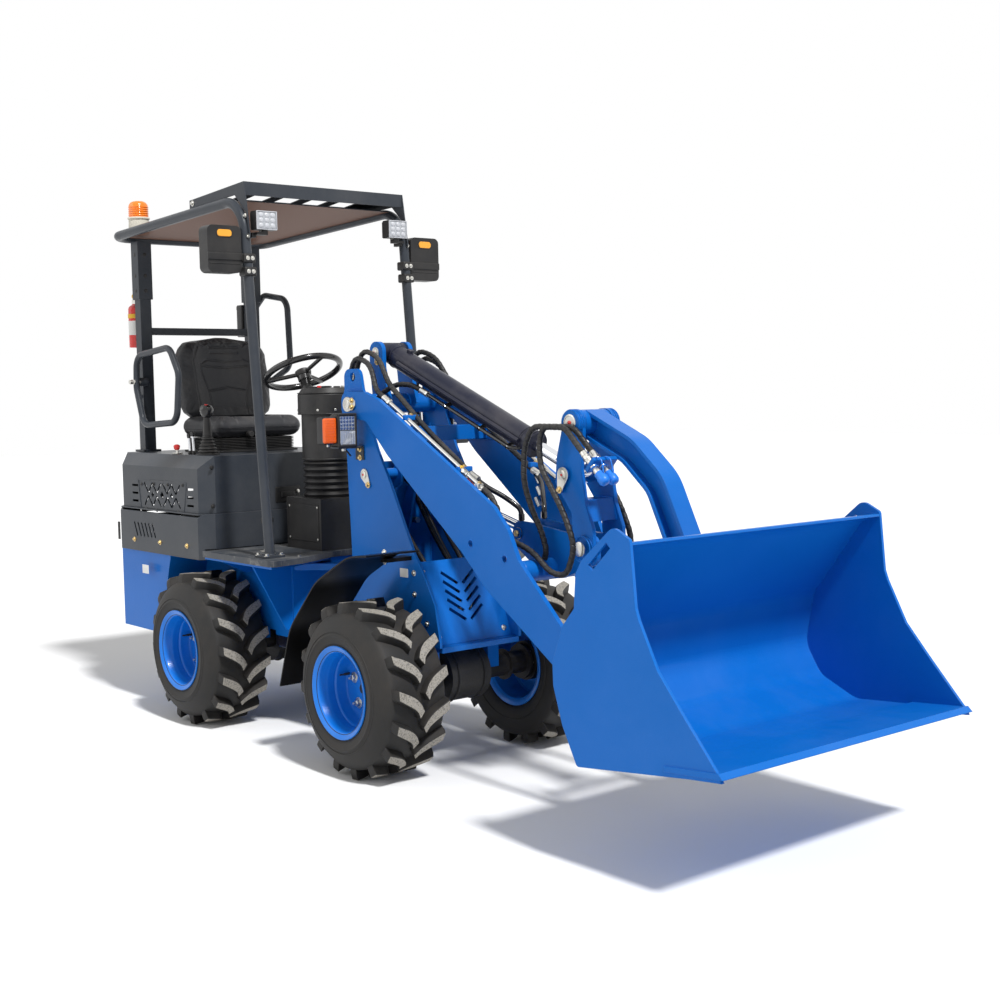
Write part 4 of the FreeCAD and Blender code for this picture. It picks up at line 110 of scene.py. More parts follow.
# --------------------------------------------------------------------------------------------
# Node groups and materials
# --------------------------------------------------------------------------------------------
def feed(tree, target, given):
    """Gives an input a link from a socket, or a fixed value."""
    if isinstance(given, bpy.types.NodeSocket):
        tree.links.new(given, target)
    else:
        target.default_value = given


def node(tree, kind, values=None, **settings):
    """One node with its settings; values are its inputs' links and fixed values."""
    made = tree.nodes.new(kind)
    for name, value in settings.items():
        setattr(made, name, value)
    for socket, given in (values or {}).items():
        feed(tree, made.inputs[socket], given)
    return made


def mix_colour(tree, share, first, second):
    return node(tree, "ShaderNodeMix", {0: share, 6: first, 7: second},
                data_type="RGBA").outputs[2]


def maths(tree, operation, *inputs, clamp=False):
    return node(tree, "ShaderNodeMath", dict(enumerate(inputs)), operation=operation,
                use_clamp=clamp).outputs[0]


def ranged(tree, source, low, high, bottom=0.0, top=1.0):
    """A value carried over from the range low to high to the range bottom to top, clamped."""
    return node(tree, "ShaderNodeMapRange", {"Value": source, "From Min": low, "From Max": high,
                                             "To Min": bottom, "To Max": top}).outputs[0]


def noise(tree, where, scale, detail, roughness=0.5):
    return node(tree, "ShaderNodeTexNoise", {"Vector": where, "Scale": scale, "Detail": detail,
                                             "Roughness": roughness}).outputs[0]


def bevelled(tree, radius):
    """The normal that an edge rounded by the radius would have."""
    return node(tree, "ShaderNodeBevel", {"Radius": radius}, samples=4).outputs[0]


def face_normal(tree):
    return node(tree, "ShaderNodeNewGeometry").outputs["Normal"]


def upward(tree):
    """How far a face looks up: 1 for level and up, -1 for level and down."""
    return node(tree, "ShaderNodeSeparateXYZ", {0: face_normal(tree)}).outputs["Z"]


def object_place(tree):
    return node(tree, "ShaderNodeTexCoord").outputs["Object"]


def new_group(name, ins, outs):
    """An empty node group: ins are (name, socket type, default) and outs (name, socket type)."""
    tree = bpy.data.node_groups.new(name, "ShaderNodeTree")
    for label, kind, default in ins:
        socket = tree.interface.new_socket(label, in_out="INPUT", socket_type=kind)
        if default is not None:
            socket.default_value = default
    for label, kind in outs:
        tree.interface.new_socket(label, in_out="OUTPUT", socket_type=kind)
    return tree, node(tree, "NodeGroupInput").outputs, node(tree, "NodeGroupOutput").inputs


def group_in(tree, name, values):
    return node(tree, "ShaderNodeGroup", values, node_tree=bpy.data.node_groups[name]).outputs


def make_weathering():
    """Dust that lies on upward faces and gathers in soft patches, with fine specks."""
    tree, ins, outs = new_group(
        "Weathering",
        [("Vector", "NodeSocketVector", None), ("Color", "NodeSocketColor", (0.1, 0.1, 0.1, 1)),
         ("Dust Color", "NodeSocketColor", (0.3, 0.27, 0.23, 1)),
         ("Dust", "NodeSocketFloat", 0.2), ("Patch Scale", "NodeSocketFloat", 5.0),
         ("Variation", "NodeSocketFloat", 0.1)],
        [("Color", "NodeSocketColor"), ("Mask", "NodeSocketFloat")])
    patches = noise(tree, ins["Vector"], ins["Patch Scale"], 6.0, 0.62)
    specks = noise(tree, ins["Vector"], 260.0, 3.0, 0.7)
    lying = maths(tree, "MULTIPLY_ADD", upward(tree), 0.5, 0.45, clamp=True)
    soft = maths(tree, "MULTIPLY", ranged(tree, patches, 0.42, 0.72), lying)
    both = maths(tree, "MULTIPLY_ADD", ranged(tree, specks, 0.60, 0.74), 0.35, soft, clamp=True)
    mask = maths(tree, "MULTIPLY", both, ins["Dust"], clamp=True)
    shade = maths(tree, "MULTIPLY_ADD", patches, ins["Variation"],
                  maths(tree, "MULTIPLY_ADD", ins["Variation"], -0.5, 1.0))
    varied = node(tree, "ShaderNodeVectorMath", {0: ins["Color"], "Scale": shade},
                  operation="SCALE").outputs[0]
    feed(tree, outs["Color"], mix_colour(tree, mask, varied, ins["Dust Color"]))
    feed(tree, outs["Mask"], mask)


def make_unevenness():
    """Height of a fine, even unevenness such as orange peel in paint or grain in plastic."""
    tree, ins, outs = new_group(
        "Unevenness",
        [("Vector", "NodeSocketVector", None), ("Grain Scale", "NodeSocketFloat", 300.0),
         ("Wave Scale", "NodeSocketFloat", 9.0), ("Wave", "NodeSocketFloat", 0.5)],
        [("Height", "NodeSocketFloat")])
    grain = noise(tree, ins["Vector"], ins["Grain Scale"], 3.0)
    wave = noise(tree, ins["Vector"], ins["Wave Scale"], 1.0)
    feed(tree, outs["Height"], maths(tree, "MULTIPLY_ADD", wave, ins["Wave"], grain))


def make_edges():
    """Mask along outer edges, broken up by a noise: scuffed paint or rubber on most finishes, and
    a painted highlight along the edges of the blue paint.
    """
    tree, ins, outs = new_group(
        "Edge Wear and Highlight",
        [("Vector", "NodeSocketVector", None), ("Amount", "NodeSocketFloat", 0.3)],
        [("Mask", "NodeSocketFloat")])
    turned_away = node(tree, "ShaderNodeVectorMath",
                       {0: bevelled(tree, 0.004), 1: face_normal(tree)},
                       operation="DOT_PRODUCT").outputs["Value"]
    edge = ranged(tree, turned_away, 0.985, 0.86)
    kept = ranged(tree, noise(tree, ins["Vector"], 34.0, 5.0, 0.7), 0.40, 0.62)
    feed(tree, outs["Mask"], maths(tree, "MULTIPLY", maths(tree, "MULTIPLY", edge, kept),
                                   ins["Amount"], clamp=True))


def shader_of(material):
    return material.node_tree.nodes["Principled BSDF"]


def finish_of(name, base, roughness, metallic=0.0, coat=0.0, shine=0.35, grain=300.0,
              height=0.0002, wave=0.5, dust=0.15, patch=5.0, variation=0.12, wear_and_highlight=0.0,
              wear_and_highlight_colour=(0.25, 0.25, 0.26), soften=0.0, dust_colour=None, sheen=0.0, glow=0.0):
    """A material: dusted colour, scuffed edges (on the blue paint a painted highlight instead),
    fine unevenness and softened hard edges.
    """
    material = bpy.data.materials.new(name)
    material.use_nodes = True
    tree = material.node_tree
    where = object_place(tree)
    dust_colour = dust_colour or tuple(bpy.context.scene.loader_paint.dust)
    aged = group_in(tree, "Weathering", {
        "Vector": where, "Color": (*base, 1), "Dust Color": (*dust_colour, 1), "Dust": dust,
        "Patch Scale": patch, "Variation": variation})
    tint = aged["Color"]
    rough = maths(tree, "MULTIPLY_ADD", aged["Mask"], 0.45, roughness, clamp=True)
    if wear_and_highlight:
        # edge colour: scuffed paint or plastic on most finishes, a painted highlight on the blue
        # paint
        edge_mask = group_in(tree, "Edge Wear and Highlight", {"Vector": where, "Amount": wear_and_highlight})["Mask"]
        tint = mix_colour(tree, edge_mask, tint, (*wear_and_highlight_colour, 1))
        rough = maths(tree, "MULTIPLY_ADD", edge_mask, 0.2, rough, clamp=True)
    uneven = group_in(tree, "Unevenness", {"Vector": where, "Grain Scale": grain, "Wave": wave})
    bump = {"Strength": 1.0, "Distance": height, "Height": uneven["Height"]}
    if soften:
        bump["Normal"] = bevelled(tree, soften)
    surface = {"Base Color": tint, "Roughness": rough, "Metallic": metallic, "Coat Weight": coat,
               "Coat Roughness": 0.04, "IOR": 1.5, "Sheen Weight": sheen,
               "Specular IOR Level": shine,
               "Normal": node(tree, "ShaderNodeBump", bump).outputs[0]}
    if glow:
        surface |= {"Emission Color": (*base, 1), "Emission Strength": glow}
    for socket, given in surface.items():
        feed(tree, shader_of(material).inputs[socket], given)
    FINISH[name] = material
    return material


def overlay(material, share, colour_on_top):
    """Mixes a colour over a finish's own by a share from its node tree."""
    tree, base = material.node_tree, shader_of(material).inputs["Base Color"]
    feed(tree, base, mix_colour(tree, share, base.links[0].from_socket, (*colour_on_top, 1)))


def extra_bump(material, height, strength, distance):
    """Lays a height over a finish's own unevenness."""
    tree, normal = material.node_tree, shader_of(material).inputs["Normal"]
    bump = node(tree, "ShaderNodeBump", {"Strength": strength, "Distance": distance,
                                         "Height": height, "Normal": normal.links[0].from_socket})
    feed(tree, normal, bump.outputs[0])


def make_tread_finish():
    """Tyre rubber: its worn attribute is 1 on the lugs' tops, where dry dust is ground in."""
    material = finish_of("tyre_rubber", (0.013, 0.0125, 0.012), 0.62, grain=420, height=0.0003,
                         dust=0.34, patch=7, variation=0.5, dust_colour=(0.075, 0.06, 0.048))
    tree, rough = material.node_tree, shader_of(material).inputs["Roughness"]
    tops = node(tree, "ShaderNodeAttribute", attribute_name="wear_and_highlight").outputs["Fac"]
    pits = noise(tree, object_place(tree), 150.0, 5.0, 0.75)
    dusty = maths(tree, "MULTIPLY", ranged(tree, tops, 0.80, 0.94),
                  ranged(tree, pits, 0.30, 0.52))
    share = maths(tree, "MULTIPLY", dusty, 0.82, clamp=True)
    overlay(material, share, (0.36, 0.335, 0.29))
    feed(tree, rough, maths(tree, "MULTIPLY_ADD", share, 0.3, rough.links[0].from_socket,
                            clamp=True))


def make_hose_finish():
    """Black hose in a spiral wrap: ridges wind round it along its own UV map."""
    material = finish_of("hose_wrap", (0.013, 0.013, 0.014), 0.46, grain=500, height=0.0002,
                         dust=0.2, variation=0.4)
    tree = material.node_tree
    wrap = node(tree, "ShaderNodeUVMap", uv_map="wrap").outputs[0]
    around = node(tree, "ShaderNodeSeparateXYZ", {0: wrap}).outputs
    ridge = maths(tree, "PINGPONG", maths(tree, "ADD", around["X"], around["Y"]), 0.5)
    extra_bump(material, ranged(tree, ridge, 0.03, 0.13), 0.8, 0.0022)


def make_vinyl_finish():
    """Seat vinyl: leather-like grain from small cells, a soft sheen and dust in its folds."""
    material = finish_of("seat_vinyl", (0.016, 0.017, 0.021), 0.40, grain=900, height=0.0002,
                         dust=0.16, patch=6, variation=0.3, sheen=0.05)
    tree = material.node_tree
    cells = node(tree, "ShaderNodeTexVoronoi", {"Vector": object_place(tree), "Scale": 420.0},
                 feature="DISTANCE_TO_EDGE").outputs[0]
    extra_bump(material, ranged(tree, cells, 0.0, 0.12), 0.35, 0.0004)


def make_platform_finish(paint):
    """Platform paint scuffed by boots: bare, pale scratches over a wide patchy area."""
    material = finish_of("platform_paint", tuple(paint.charcoal), 0.42, grain=240, height=0.0003,
                         dust=0.45, patch=7, variation=0.25, wear_and_highlight=0.5, soften=0.002,
                         dust_colour=(0.23, 0.22, 0.20))
    tree = material.node_tree
    stretched = node(tree, "ShaderNodeMapping", {"Vector": object_place(tree),
                                                 "Scale": (3.0, 40.0, 3.0)}).outputs[0]
    marks = noise(tree, stretched, 6.0, 6.0, 0.7)
    overlay(material, ranged(tree, marks, 0.56, 0.70, top=0.5), (0.33, 0.32, 0.30))


def make_roof_reflection_finish(paint):
    """Canopy sheet: satin paint above, and a warm brown on the faces that look down, painted there
    as the reflection of the ground below.
    """
    material = finish_of("roof_sheet_painted_reflection", tuple(paint.charcoal), 0.5, shine=0.08,
                         grain=260, height=0.0003, dust=0.12, variation=0.3)
    tree = material.node_tree
    # painted reflection: faces that look down get a warm brown that stands in for light from the
    # ground
    overlay(material, maths(tree, "LESS_THAN", upward(tree), -0.5), (0.125, 0.058, 0.036))


def make_finishes(context):
    paint = context.scene.loader_paint
    blue, charcoal, black = tuple(paint.blue), tuple(paint.charcoal), tuple(paint.black)
    make_weathering()
    make_unevenness()
    make_edges()
    # painted light: the rims carry the frame's blue lightened by a quarter, standing in for light
    # on rims that sit in shade
    finish_of("rim_blue_painted_light", tuple(1.25 * share for share in blue), 0.28, coat=0.15, shine=0.25,
              grain=260, height=0.0003, wave=0.8, dust=0.06, patch=4, variation=0.2)
    # painted highlight: its edge colour is a lighter, stronger blue standing in for light caught
    # along the edges
    finish_of("blue_gloss", blue, 0.32, coat=0.05, shine=0.13, grain=160, height=0.00035, wave=1.2,
              dust=0.05, patch=4, variation=0.16, wear_and_highlight=0.25, wear_and_highlight_colour=(0.02, 0.22, 0.80),
              soften=0.003)
    finish_of("charcoal_satin", charcoal, 0.36, coat=0.05, shine=0.2, grain=260,
              height=0.00035, wave=0.9, dust=0.13, patch=4, variation=0.3, wear_and_highlight=0.35,
              wear_and_highlight_colour=(0.12, 0.13, 0.14), soften=0.003)
    finish_of("moulded_black", black, 0.42, grain=620, height=0.0003, dust=0.14, variation=0.3,
              wear_and_highlight=0.25, wear_and_highlight_colour=(0.05, 0.05, 0.05), soften=0.002)
    finish_of("gloss_black", (0.010, 0.010, 0.011), 0.20, coat=0.4, grain=200, height=0.0002,
              dust=0.06, variation=0.2)
    finish_of("fender_black", (0.004, 0.004, 0.0045), 0.30, shine=0.12, grain=300,
              height=0.0004, wave=1.5, dust=0.18, patch=6, variation=0.5,
              dust_colour=(0.045, 0.038, 0.03), soften=0.002)
    finish_of("barrel_paint", (0.010, 0.012, 0.028), 0.33, coat=0.05, shine=0.2, grain=300,
              height=0.0003, dust=0.16, variation=0.35)
    finish_of("chrome", (0.80, 0.81, 0.84), 0.10, metallic=1.0, grain=700, height=0.00003,
              dust=0.02, variation=0.04)
    finish_of("zinc", (0.62, 0.61, 0.57), 0.30, metallic=1.0, grain=380, height=0.0002,
              dust=0.18, variation=0.3)
    finish_of("brass_zinc", (0.62, 0.46, 0.22), 0.34, metallic=1.0, grain=380, height=0.0002,
              dust=0.15, variation=0.3)
    finish_of("cast_black", (0.014, 0.014, 0.015), 0.5, grain=150, height=0.0012, wave=1.0,
              dust=0.5, patch=9, variation=0.4, dust_colour=(0.10, 0.085, 0.07))
    finish_of("amber_lens", tuple(paint.amber), 0.16, coat=0.5, grain=200, height=0.0001,
              dust=0.03, variation=0.25, glow=0.10)
    finish_of("lamp_glass", (0.46, 0.48, 0.51), 0.16, metallic=0.5, coat=0.5, grain=240,
              height=0.0002, dust=0.04, variation=0.5)
    finish_of("led_dot", (0.50, 0.51, 0.54), 0.25, coat=0.3, dust=0.02, variation=0.5)
    finish_of("led_field", (0.045, 0.075, 0.17), 0.25, coat=0.4, dust=0.02, variation=0.3)
    finish_of("bone_plastic", (0.72, 0.68, 0.58), 0.42, grain=500, height=0.0002, dust=0.12)
    finish_of("red_gloss", tuple(paint.red), 0.25, coat=0.5, dust=0.06, variation=0.15)
    finish_of("yellow_plastic", (0.72, 0.42, 0.03), 0.40, dust=0.08, variation=0.15)
    finish_of("orange_reflector", (0.83, 0.36, 0.03), 0.25, coat=0.4, dust=0.04)
    finish_of("indicator_lens", (0.72, 0.105, 0.008), 0.2, coat=0.4, dust=0.04, variation=0.3)
    finish_of("mirror_glass", (0.75, 0.78, 0.80), 0.03, metallic=1.0, grain=90,
              height=0.00001, dust=0.04, variation=0.02)
    finish_of("blue_plastic", (0.01, 0.19, 0.72), 0.34, coat=0.1, grain=400, height=0.0002,
              dust=0.08, variation=0.2)
    finish_of("plain_plate", (0.70, 0.70, 0.68), 0.38, dust=0.10, variation=0.1)
    make_tread_finish()
    make_hose_finish()
    make_vinyl_finish()
    make_platform_finish(paint)
    make_roof_reflection_finish(paint)


NODE_FINISH = {
    "blue_gloss": ("rear_frame", "counterweight", "front_frame", "tower", "front_cover", "boom",
                   "lever", "link", "quick_coupler", "bucket", "front_left_rim",
                   "front_right_rim", "rear_left_rim", "rear_right_rim"),
    "charcoal_satin": ("engine_cover", "lower_cover", "roof_frame", "rear_posts",
                       "roof_guard", "right_guard", "left_guard"),
    # the roof sheet's finish carries a painted reflection of the ground on its underside
    "roof_sheet_painted_reflection": ("roof_sheet",),
    "platform_paint": ("platform",),
    "moulded_black": ("console", "rear_grille", "control_levers", "mirrors", "seat_base",
                      "work_lamps", "headlamps", "tail_lamps"),
    "gloss_black": ("steering_wheel",),
    "fender_black": ("front_fenders",),
    "tyre_rubber": ("front_left_tyre", "front_right_tyre", "rear_left_tyre", "rear_right_tyre"),
    "seat_vinyl": ("seat_cushion", "seat_back"),
    "chrome": ("lift_rod", "tilt_rod", "steer_rod"),
    "barrel_paint": ("lift_barrel", "tilt_barrel", "steer_barrel"),
    "cast_black": ("engine_block", "rear_axle", "front_axle"),
    "hose_wrap": ("boom_lines", "tower_hoses", "loop_hoses", "tail_hoses"),
    "zinc": ("link_couplings",),
    "amber_lens": ("beacon",),
    "red_gloss": ("extinguisher",),
}


# --------------------------------------------------------------------------------------------
# Surfaces
# --------------------------------------------------------------------------------------------
def basis(axis):
    """A unit axis and two unit directions square to it, right-handed."""
    axis = np.asarray(axis, float)
    axis = axis / np.linalg.norm(axis)
    helper = np.array((0.0, 0.0, 1.0) if abs(axis[2]) < 0.9 else (1.0, 0.0, 0.0))
    first = np.cross(helper, axis)
    first /= np.linalg.norm(first)
    return axis, first, np.cross(axis, first)


def lathe(profile, place, axis, count=32):
    """A profile of (distance along, radius) carried round an axis that starts at place.

    Point = place + along * axis + radius * (cos(angle) * first + sin(angle) * second).
    """
    axis, first, second = basis(axis)
    along, radius = np.asarray(profile, float).T
    angle = np.arange(count) * 2 * np.pi / count
    ring = np.cos(angle)[:, None] * first + np.sin(angle)[:, None] * second
    return (np.asarray(place, float) + along[:, None, None] * axis
            + radius[:, None, None] * ring[None])


def along_path(path, radius, count=14):
    """A round section carried along a path that mostly keeps to one side view.

    Point = path + radius * (cos(angle) * across + sin(angle) * (tangent x across)), where
    across is the machine's Y made square to the path's tangent.
    """
    path = np.asarray(path, float)
    tangent = np.gradient(path, axis=0)
    tangent /= np.linalg.norm(tangent, axis=1)[:, None]
    across = np.array((0.0, 1.0, 0.0)) - tangent[:, 1:2] * tangent
    across /= np.linalg.norm(across, axis=1)[:, None]
    third = np.cross(tangent, across)
    angle = np.arange(count) * 2 * np.pi / count
    radius = np.broadcast_to(np.asarray(radius, float), len(path))
    ring = (np.cos(angle)[None, :, None] * across[:, None]
            + np.sin(angle)[None, :, None] * third[:, None])
    return path[:, None] + radius[:, None, None] * ring


def inset(outline, amount):
    """A closed flat outline moved inward: each corner slides along the bisector of its edges."""
    ahead = np.roll(outline, -1, 0) - outline
    ahead /= np.linalg.norm(ahead, axis=1)[:, None]
    inward = np.stack((-ahead[:, 1], ahead[:, 0]), 1)
    before = np.roll(inward, 1, 0)
    bisector = inward + before
    return outline + amount * 2 * bisector / (bisector ** 2).sum(1)[:, None]


def slab(outline, low, high, place=(0, 0, 0), across=ACROSS, bevel=1.5):
    """A flat outline given thickness along one direction, its rims bevelled.

    Four rings: the outline moved in at both ends, and whole between them.
    """
    normal, first, second = basis(across)
    outline = np.asarray(outline, float)
    if abs(normal[1]) > 0.9:  # side view: outline in X and Z
        first, second = np.array((1.0, 0, 0)), np.array((0, 0, 1.0))
        if normal[1] > 0:
            first, second, outline = second, first, outline[:, ::-1]
    area = np.sum(outline[:, 0] * np.roll(outline[:, 1], -1)
                  - outline[:, 1] * np.roll(outline[:, 0], -1))
    if area < 0:
        outline = outline[::-1]
    small = inset(outline, bevel)
    rings = np.stack((small, outline, outline, small))
    heights = np.array((low, low + bevel, high - bevel, high), float)
    return (np.asarray(place, float) + rings[..., :1] * first + rings[..., 1:] * second
            + heights[:, None, None] * normal)


def rounded_box(centre, half, radius, turn=None, steps=4):
    """A box with rounded edges: a sphere's octants moved out to the corners of an inner box.

    Point = centre + sign(direction) * (half - radius) + radius * direction.
    """
    quarter = np.linspace(0, np.pi / 2, steps + 1)
    around = np.concatenate([quarter + k * np.pi / 2 for k in range(4)])
    sign_x = np.repeat((1, -1, -1, 1), steps + 1)
    sign_y = np.repeat((1, 1, -1, -1), steps + 1)
    lift = np.concatenate((quarter - np.pi / 2, quarter))
    sign_z = np.repeat((-1, 1), steps + 1)
    direction = np.stack((np.cos(lift)[:, None] * np.cos(around)[None],
                          np.cos(lift)[:, None] * np.sin(around)[None],
                          np.sin(lift)[:, None] * np.ones_like(around)[None]), -1)
    sign = np.stack(np.broadcast_arrays(sign_x[None], sign_y[None], sign_z[:, None]), -1)
    points = sign * (np.asarray(half, float) - radius) + radius * direction
    if turn is not None:
        points = points @ np.array(turn).T
    return points + np.asarray(centre, float)


def smooth_line(points, count):
    """Points along a rounded line through the given ones: Catmull-Rom between neighbours."""
    points = np.asarray(points, float)
    padded = np.vstack((2 * points[0] - points[1], points, 2 * points[-1] - points[-2]))
    spot = np.linspace(0, len(points) - 1, count)
    piece = np.minimum(spot.astype(int), len(points) - 2)
    t = (spot - piece)[:, None]
    a, b, c, d = (padded[piece + k] for k in range(4))
    return 0.5 * (2 * b + (c - a) * t + (2 * a - 5 * b + 4 * c - d) * t ** 2
                  + (3 * b - a - 3 * c + d) * t ** 3)


def oval(first, first_radius, second, second_radius, count=28):
    """The outline round two circles of different size, as on a keeper plate."""
    first, second = np.asarray(first, float), np.asarray(second, float)
    line = second - first
    heading = math.atan2(line[1], line[0])
    lean = math.acos((first_radius - second_radius) / np.hypot(*line))
    wide = np.linspace(heading + lean, heading + 2 * np.pi - lean, count)
    narrow = np.linspace(heading - lean, heading + lean, count // 2)
    return np.vstack((first + first_radius * np.stack((np.cos(wide), np.sin(wide)), 1),
                      second + second_radius * np.stack((np.cos(narrow), np.sin(narrow)), 1)))


class Form:
    """Closed surfaces gathered into one piece, in millimetres from the front axle's point."""

    def __init__(self, *finishes):
        self.finishes = finishes
        self.points, self.faces, self.kinds, self.marks, self.flats = [], [], [], [], []
        self.maps, self.count = [], 0

    def add(self, points, finish=None, ends=True, around=True, mark=0.0, flat=False, uv=None):
        """A net of points [rows, columns]; columns close round and both end rows are filled."""
        rows, columns = points.shape[:2]
        index = np.arange(rows * columns).reshape(rows, columns) + self.count
        ahead = np.roll(index, -1, 1)
        quads = np.stack((index[:-1], ahead[:-1], ahead[1:], index[1:]), -1)
        if not around:
            quads = quads[:, :-1]
        faces = quads.reshape(-1, 4).tolist()
        if ends:
            faces += [index[0][::-1].tolist(), index[-1].tolist()]
        self.points.append(points.reshape(-1, 3))
        self.marks.append(np.broadcast_to(mark, (rows, columns)).reshape(-1))
        self.maps.append(np.zeros((rows * columns, 2)) if uv is None else uv.reshape(-1, 2))
        self.faces += faces
        kind = self.finishes.index(finish) if finish else 0
        self.kinds += [kind] * len(faces)
        self.flats += [flat] * len(faces)
        self.count += rows * columns

    def closed(self, points, finish=None, mark=0.0):
        """A net that closes both ways, such as a ring with a section of its own."""
        self.add(np.concatenate((points, points[:1])), finish, ends=False, mark=mark)

    def turned(self, profile, place, axis, finish=None, count=28, flat=False):
        """A profile of (along, radius) turned round an axis that starts at place."""
        self.add(lathe(profile, place, axis, count), finish, flat=flat)

    def rod(self, start, end, radius, finish=None, count=20, edge=1.0):
        """A straight round bar between two points, its end rims bevelled."""
        start, end = np.asarray(start, float), np.asarray(end, float)
        long = np.linalg.norm(end - start)
        self.turned([(0, radius - edge), (edge, radius), (long - edge, radius), (long,
                                                                                 radius - edge)],
                    start, end - start, finish, count)

    def ring(self, place, axis, radius, thick, finish=None, count=40):
        """A ring of round section, such as a weld bead: a small circle turned round an axis."""
        turn = np.linspace(0, 2 * np.pi, 8, endpoint=False)
        self.closed(lathe(np.stack((thick * np.sin(turn), radius + thick * np.cos(turn)), 1),
                          place, axis, count), finish)

    def tube(self, path, radius, finish=None, count=14):
        self.add(along_path(path, radius, count), finish)

    def bead(self, start, end, thick, finish=None):
        """A weld bead between two points: a thin bar whose radius ripples along it."""
        start, end = np.asarray(start, float), np.asarray(end, float)
        long = np.linalg.norm(end - start)
        along = np.arange(0, long + 2, 4.0)
        self.turned(np.stack((along, thick * (0.82 + 0.18 * np.cos(along * 0.9))), 1), start,
                    end - start, finish, 8)

    def bolt(self, place, axis, size=13, finish="zinc", washer=True):
        """A hexagon head on a washer, lying on a surface at place and standing along axis."""
        place, axis = np.asarray(place, float), np.asarray(axis, float)
        start = -1.0
        if washer:
            self.turned([(-1, size * 0.98), (1.6, size * 0.98), (2.0, size * 0.9)], place, axis,
                        finish, 20)
            start = 1.5
        corner = size / math.sqrt(3)
        self.turned([(start, corner), (start + size * 0.5, corner), (start + size * 0.6,
                                                                     corner * 0.82)], place, axis,
                    finish, 6, True)

    def box(self, finish, centre, half, radius, **more):
        """A box with rounded edges."""
        self.add(rounded_box(centre, half, radius, **more), finish)

    def bare_mesh(self, name):
        """The gathered points and faces as a new mesh in metres, before any merging."""
        points = (np.concatenate(self.points) + (MIDDLE, 0, 0)) / 1000
        mesh = bpy.data.meshes.new(name)
        mesh.from_pydata(points.tolist(), [], self.faces)
        return mesh

    def piece(self, name, body, slot, replaces=(), marked=False, wrapped=False):
        """The finished object: merged, faces out, shaded smooth but for its sharp edges."""
        mesh = self.bare_mesh(name)
        mesh.polygons.foreach_set("material_index", self.kinds)
        mesh.polygons.foreach_set("use_smooth", [not flat for flat in self.flats])
        for finish in self.finishes:
            mesh.materials.append(FINISH[finish])
        if marked:
            wear_and_highlight = mesh.attributes.new("wear_and_highlight", "FLOAT", "POINT")
            wear_and_highlight.data.foreach_set("value", np.concatenate(self.marks).astype(np.float32))
        if wrapped:
            uv = mesh.uv_layers.new(name="wrap")
            corners = np.zeros(len(mesh.loops), np.int32)
            mesh.loops.foreach_get("vertex_index", corners)
            spread = np.concatenate(self.maps)[corners]
            uv.data.foreach_set("uv", spread.astype(np.float32).reshape(-1))
        work = bmesh.new()
        work.from_mesh(mesh)
        bmesh.ops.remove_doubles(work, verts=work.verts, dist=1e-6)
        bmesh.ops.dissolve_degenerate(work, edges=work.edges, dist=1e-7)
        bmesh.ops.recalc_face_normals(work, faces=work.faces)
        work.to_mesh(mesh)
        work.free()
        mesh.set_sharp_from_angle(angle=math.radians(38))
        made = bpy.data.objects.new(name, mesh)
        bpy.context.scene.collection.objects.link(made)
        if body:
            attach(made, body)
        if replaces:
            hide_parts(*replaces)
        return made


# --------------------------------------------------------------------------------------------
# Wheels
# --------------------------------------------------------------------------------------------
WHEELS = [(f"{end}_{word}", along, side) for end, along in (("front", 0), ("rear", -WHEELBASE))
          for word, side in (("right", -1), ("left", 1))]
TYRE_SHIFT = -40  # the tread's middle lies inboard of the wheel's
TREAD_RADIUS = 320  # where a lug's outline is laid round the tyre
CARCASS = np.array(((153, 110.7), (178.5, 110.7), (182, 114), (188, 116), (205, 118),
                    (208, 119.5), (210, 121), (214, 121), (216, 119), (238, 114), (255, 106),
                    (270, 97), (282, 86), (290, 77), (293, 68), (296, 30), (297.5, -40),
                    (296, -110), (293, -148), (290, -156), (282, -161), (262, -165),
                    (238, -166), (210, -163), (188, -154), (180, -146), (178.5, -142.7),
                    (153, -142.7)))
RIM = np.array(((-7, 0), (-7, 32), (-10, 37), (-10.5, 118), (-9, 126), (-3, 131), (30, 133),
                (36, 135), (40, 139), (64, 140.5), (72, 142), (78, 145.5), (102, 147.5),
                (107, 150), (110.6, 155), (114, 163), (116.5, 168), (118, 171), (117.6, 173.4),
                (116, 174.4), (112, 174.4), (110.6, 173), (110.6, 158), (107, 152), (102, 151),
                (-134, 151), (-139, 152), (-142.6, 158), (-142.6, 173), (-144, 174.4),
                (-148, 174.4), (-150, 172), (-148, 165), (-142, 152), (-136, 146), (-32, 144),
                (-25, 138), (-20, 60), (-20, 0)))


def lug_net():
    """One lug as (round, across, radius, worn): eight-point sections at twelve stations.

    Its rear and front edges are rounded lines from the shoulder to the middle. A section rises
    from the carcass, with drafted walls and a rounded top edge; its outer end drops steeply.
    """
    rear = np.vstack(((-56, 118), (-54, 115.5),
                      smooth_line(((-52, 111), (-24, 50), (4, 18), (34, 0)), 9)))
    front = np.vstack(((-10, 118), (-8.5, 115.5),
                       smooth_line(((-6, 111), (25, 60), (44, 34), (68, 22)), 9)))
    rear, front = (np.vstack((edge, edge[-1] + (2.5, -2))) for edge in (rear, front))
    share = np.array((0, 0.05, 0.09, 0.15, 0.85, 0.91, 0.95, 1))
    rise = np.array((0, 0.6, 0.94, 1, 1, 0.94, 0.6, 0))
    edge = rear[:, None] + share[None, :, None] * (front - rear)[:, None]
    across = edge[..., 1]
    root = np.interp(across, (0, 80, 108, 114, 118), (297, 295, 291, 286, 280)) - 5
    top = np.interp(across, (111, 115.5, 118), (329.6, 318, 296))
    tall = np.ones((len(edge), 1))
    tall[-1] = 0.45
    radius = root + (top - root) * rise * tall
    wear_and_highlight = (rise == 1) * (across <= 112) * (tall == 1)
    return edge[..., 0], across, radius, wear_and_highlight.astype(float)


